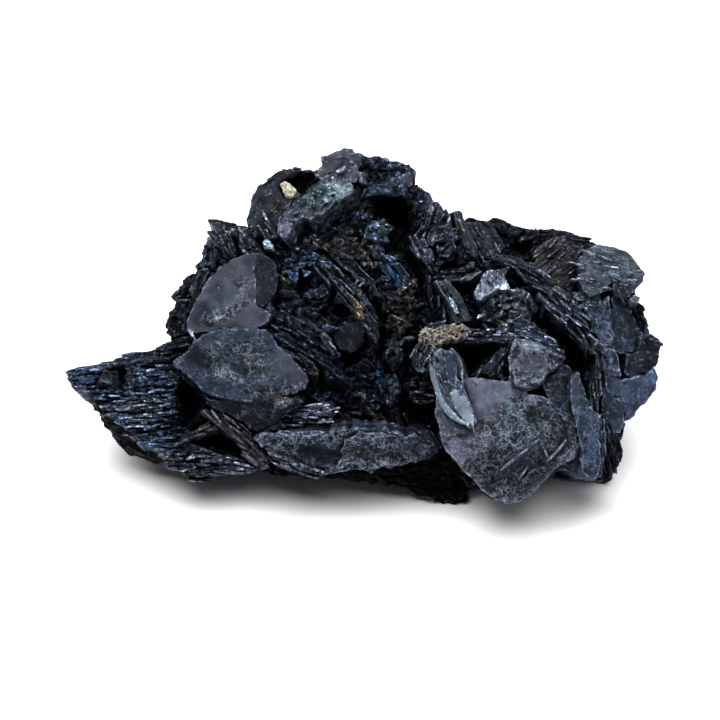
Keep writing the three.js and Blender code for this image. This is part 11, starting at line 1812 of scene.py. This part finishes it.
def small_grain(name, spec, node, mat, vox, lump, amp):
    U, V, W = axes_of(spec['n'], 0.0); at = np.array(spec['at']); P = np.array(spec['out'], np.float32).reshape(-1, 2); t = spec['t']
    c = at + np.outer(P[:, 0], U) + np.outer(P[:, 1], V); allc = np.vstack([c, c - W * t])
    G = Grid(allc.min(0) - 1.0, allc.max(0) + 1.0, vox)
    X, Y, Z = G.ax[0][:, None, None] - at[0], G.ax[1][None, :, None] - at[1], G.ax[2][None, None, :] - at[2]
    u = X * U[0] + Y * U[1] + Z * U[2]; v = X * V[0] + Y * V[1] + Z * V[2]; w = X * W[0] + Y * W[1] + Z * W[2]
    u, v, w = np.broadcast_arrays(u, v, w); u, v, w = [a.astype(np.float32).copy() for a in (u, v, w)]
    d2 = sd_poly(u, v, P)
    dome = -0.55 * np.clip(1 + d2 / 1.3, 0, 1) ** 2
    s = np.maximum(np.maximum(d2, w - dome), -w - t)
    q = s.ravel().copy(); m = np.abs(q) < 0.9
    uu, vv, ww = u.ravel()[m], v.ravel()[m], w.ravel()[m]
    rx, ry, a, b_, c_ = cells(uu / lump + .3 * vnoise(ww / .5, vv / .5, 3), vv / lump + .5 * vnoise(uu, ww / .6, 5), 7)
    q[m] = q[m] - amp * (.9 * (c_ - .55) + .5 * (rx * (a - .5) + ry * (b_ - .5)) + .5 * vnoise(uu / .35, vv / .35 + ww / .35, 9)) + 0.10
    q[m] = q[m] + min(amp, 1.0) * .45 * vnoise(uu / 1.5, vv / 1.1 + ww / 1.7, 13)
    G.s = np.minimum(q.reshape(s.shape), 1.5).astype(np.float32); G.o[:] = -2
    c = np.clip(G.s, -1.2, 1.2)
    ob, n = to_piece(name, G.s, G.lo, G, (smooth_box(c, 3), smooth_box(c, 8), c), mat, 0.0)
    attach(ob, 'root'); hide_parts(node)
    return ob, n

def crystal_piece(name, S, lo, G, fields, adapt):
    ob, n = to_piece(name, S, lo, G, fields, metal, adapt)
    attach(ob, 'root'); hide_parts('crystal_cluster')
    return n

metal = stone()
total = 0
LO, HI = extent()
t1 = time.time()
front = build(LO, np.array([HI[0], CUT_D + 1.2, HI[2]]), VOX)
fill_inside(front, True)
c = np.clip(front.s, -1.2, 1.2)
fields = (smooth_box(c, max(1, int(round(0.3 / VOX)))), smooth_box(c, max(2, int(round(0.9 / VOX)))), smooth_box(c, max(3, int(round(2.4 / VOX)))))
print('front sdf %.1fs' % (time.time() - t1), tuple(front.n), flush=True)
np.maximum(front.s, (front.ax[1] - CUT_D)[None, :, None], out=front.s)
STEP = 0.2
for rname, out in REGIONS:
    P = np.array(out, np.float32).reshape(-1, 2)
    kk = (320.0 + front.ax[1]) / 320.0
    x0, x1, z0, z1 = P[:, 0].min() * kk[0] - 2, P[:, 0].max() * kk[-1] + 2, P[:, 1].min() * kk[0] - 2, P[:, 1].max() * kk[-1] + 2
    if x0 > 0: x0 = P[:, 0].min() * kk[0] * 0.95 - 2
    win = front.window([min(x0, P[:, 0].min() * kk[-1] - 2), front.ax[1][0], min(z0, P[:, 1].min() * kk[-1] - 2)], [max(x1, P[:, 0].max() * kk[0] + 2), front.ax[1][-1] + 1, max(z1, P[:, 1].max() * kk[0] + 2)])
    sl = win[0]
    S = front.s[sl].copy(); xs, ys, zs = front.ax[0][sl[0]], front.ax[1][sl[1]], front.ax[2][sl[2]]
    ga = np.arange(xs.min() - 4, xs.max() + 4, STEP, dtype=np.float32); gb = np.arange(zs.min() - 4, zs.max() + 4, STEP, dtype=np.float32)
    L2 = sd_poly(*np.meshgrid(ga, gb, indexing='ij'), P)
    for j, y in enumerate(ys):
        k = 320.0 / (320.0 + y); fa = (xs * k - ga[0]) / STEP; fb = (zs * k - gb[0]) / STEP
        ia, ib = np.clip(fa.astype(int), 0, len(ga) - 2), np.clip(fb.astype(int), 0, len(gb) - 2); wa, wb = (fa - ia)[:, None], (fb - ib)[None, :]
        q = (L2[np.ix_(ia, ib)] * (1 - wa) + L2[np.ix_(ia + 1, ib)] * wa) * (1 - wb) + (L2[np.ix_(ia, ib + 1)] * (1 - wa) + L2[np.ix_(ia + 1, ib + 1)] * wa) * wb
        np.maximum(S[:, j, :], q, out=S[:, j, :])
    np.minimum(S, 1.5, out=S)
    total += crystal_piece('berthierite_' + rname, S, np.array([xs[0], ys[0], zs[0]], float), front, fields, 0.26)
del front, c, fields
t1 = time.time()
BV = VOX * 1.8
back = build(np.array([LO[0], CUT_D - 1.2, LO[2]]), HI, BV)
fill_inside(back, False, 1.8, 2.0)
c = np.clip(back.s, -1.2, 1.2)
fields = (smooth_box(c, 1), smooth_box(c, 2), smooth_box(c, 6))
np.maximum(back.s, (CUT_D - 0.1 - back.ax[1])[None, :, None], out=back.s)
print('back sdf %.1fs' % (time.time() - t1), tuple(back.n), flush=True)
total += crystal_piece('berthierite_back', back.s.copy(), back.lo, back, fields, 0.25)
tan = grainy('tan_matrix_stone', (0.27, 0.243, 0.195), (0.47, 0.44, 0.37), (0.13, 0.115, 0.09), 0.75, 1.3)
ochre = crusty('ochre_crust_stone')
total += small_grain('tan_grain', TAN_GRAIN, 'tan_matrix_grain', tan, 0.12, 0.9, 0.35)[1]
total += small_grain('ochre_crust_detail', OCHRE_CRUST, 'ochre_crust', ochre, 0.12, 0.50, 0.75)[1]
print('triangles in all', total, 'built in %.1fs' % (time.time() - T0), flush=True)

# ---- studio ------------------------------------------------------------------------------------------------------------
def simple(name, colr, rough):
    T = NT(name); T.b.inputs['Base Color'].default_value = (*colr, 1); T.b.inputs['Roughness'].default_value = rough
    mm = T.obj(); T.link(T.bump(T.noise(mm, 300.0, 2.0), 0.02, 0.0002), T.b.inputs['Normal'])
    return T.m
me = bpy.data.meshes.new('floor'); me.from_pydata([(-2.5, -2.5, 0), (2.5, -2.5, 0), (2.5, 2.5, 0), (-2.5, 2.5, 0)], [], [(0, 1, 2, 3)])
floor = bpy.data.objects.new('floor', me); bpy.context.scene.collection.objects.link(floor); me.materials.append(simple('floor_paper', (0.86, 0.86, 0.87), 0.8))

def area(name, loc, aim, size, power, colr=(1, 1, 1)):
    L = bpy.data.lights.new(name, 'AREA'); L.shape = 'RECTANGLE'; L.size = size[0]; L.size_y = size[1]; L.energy = power; L.color = colr
    o = bpy.data.objects.new(name, L); bpy.context.scene.collection.objects.link(o); o.location = loc
    from mathutils import Vector
    o.rotation_euler = (Vector(aim) - Vector(loc)).to_track_quat('-Z', 'Y').to_euler()
    return o
area('key', (-0.10, -0.22, 0.74), (0, 0, 0.02), (0.80, 0.55), 13.0, (1.0, 0.99, 0.97))
area('top', (0.10, 0.28, 0.60), (0, 0, 0.02), (0.6, 0.35), 4.0, (0.96, 0.98, 1.0))
area('side', (0.65, -0.10, 0.30), (0, 0, 0.02), (0.3, 0.4), 1.2, (0.97, 0.98, 1.0))
w = bpy.data.worlds.new('studio'); bpy.context.scene.world = w; w.use_nodes = True
w.node_tree.nodes['Background'].inputs[0].default_value = (0.92, 0.95, 1.0, 1); w.node_tree.nodes['Background'].inputs[1].default_value = 0.15

cam = bpy.data.cameras.new('camera'); cam.lens = 36.0 * 320.0 / 111.6; cam.sensor_width = 36.0; cam.clip_start = 0.01; cam.clip_end = 20
co = bpy.data.objects.new('camera', cam); bpy.context.scene.collection.objects.link(co)
from mathutils import Matrix
p = to_row(np.array([[0.0, -320.0, 0.0]]))[0] * 0.001
co.matrix_world = Matrix(((1, 0, 0, p[0]), (0, ST, -CT, p[1]), (0, CT, ST, p[2]), (0, 0, 0, 1)))
bpy.context.scene.camera = co
bpy.context.scene.view_settings.view_transform = 'Standard'
bpy.context.scene.view_settings.look = 'None'
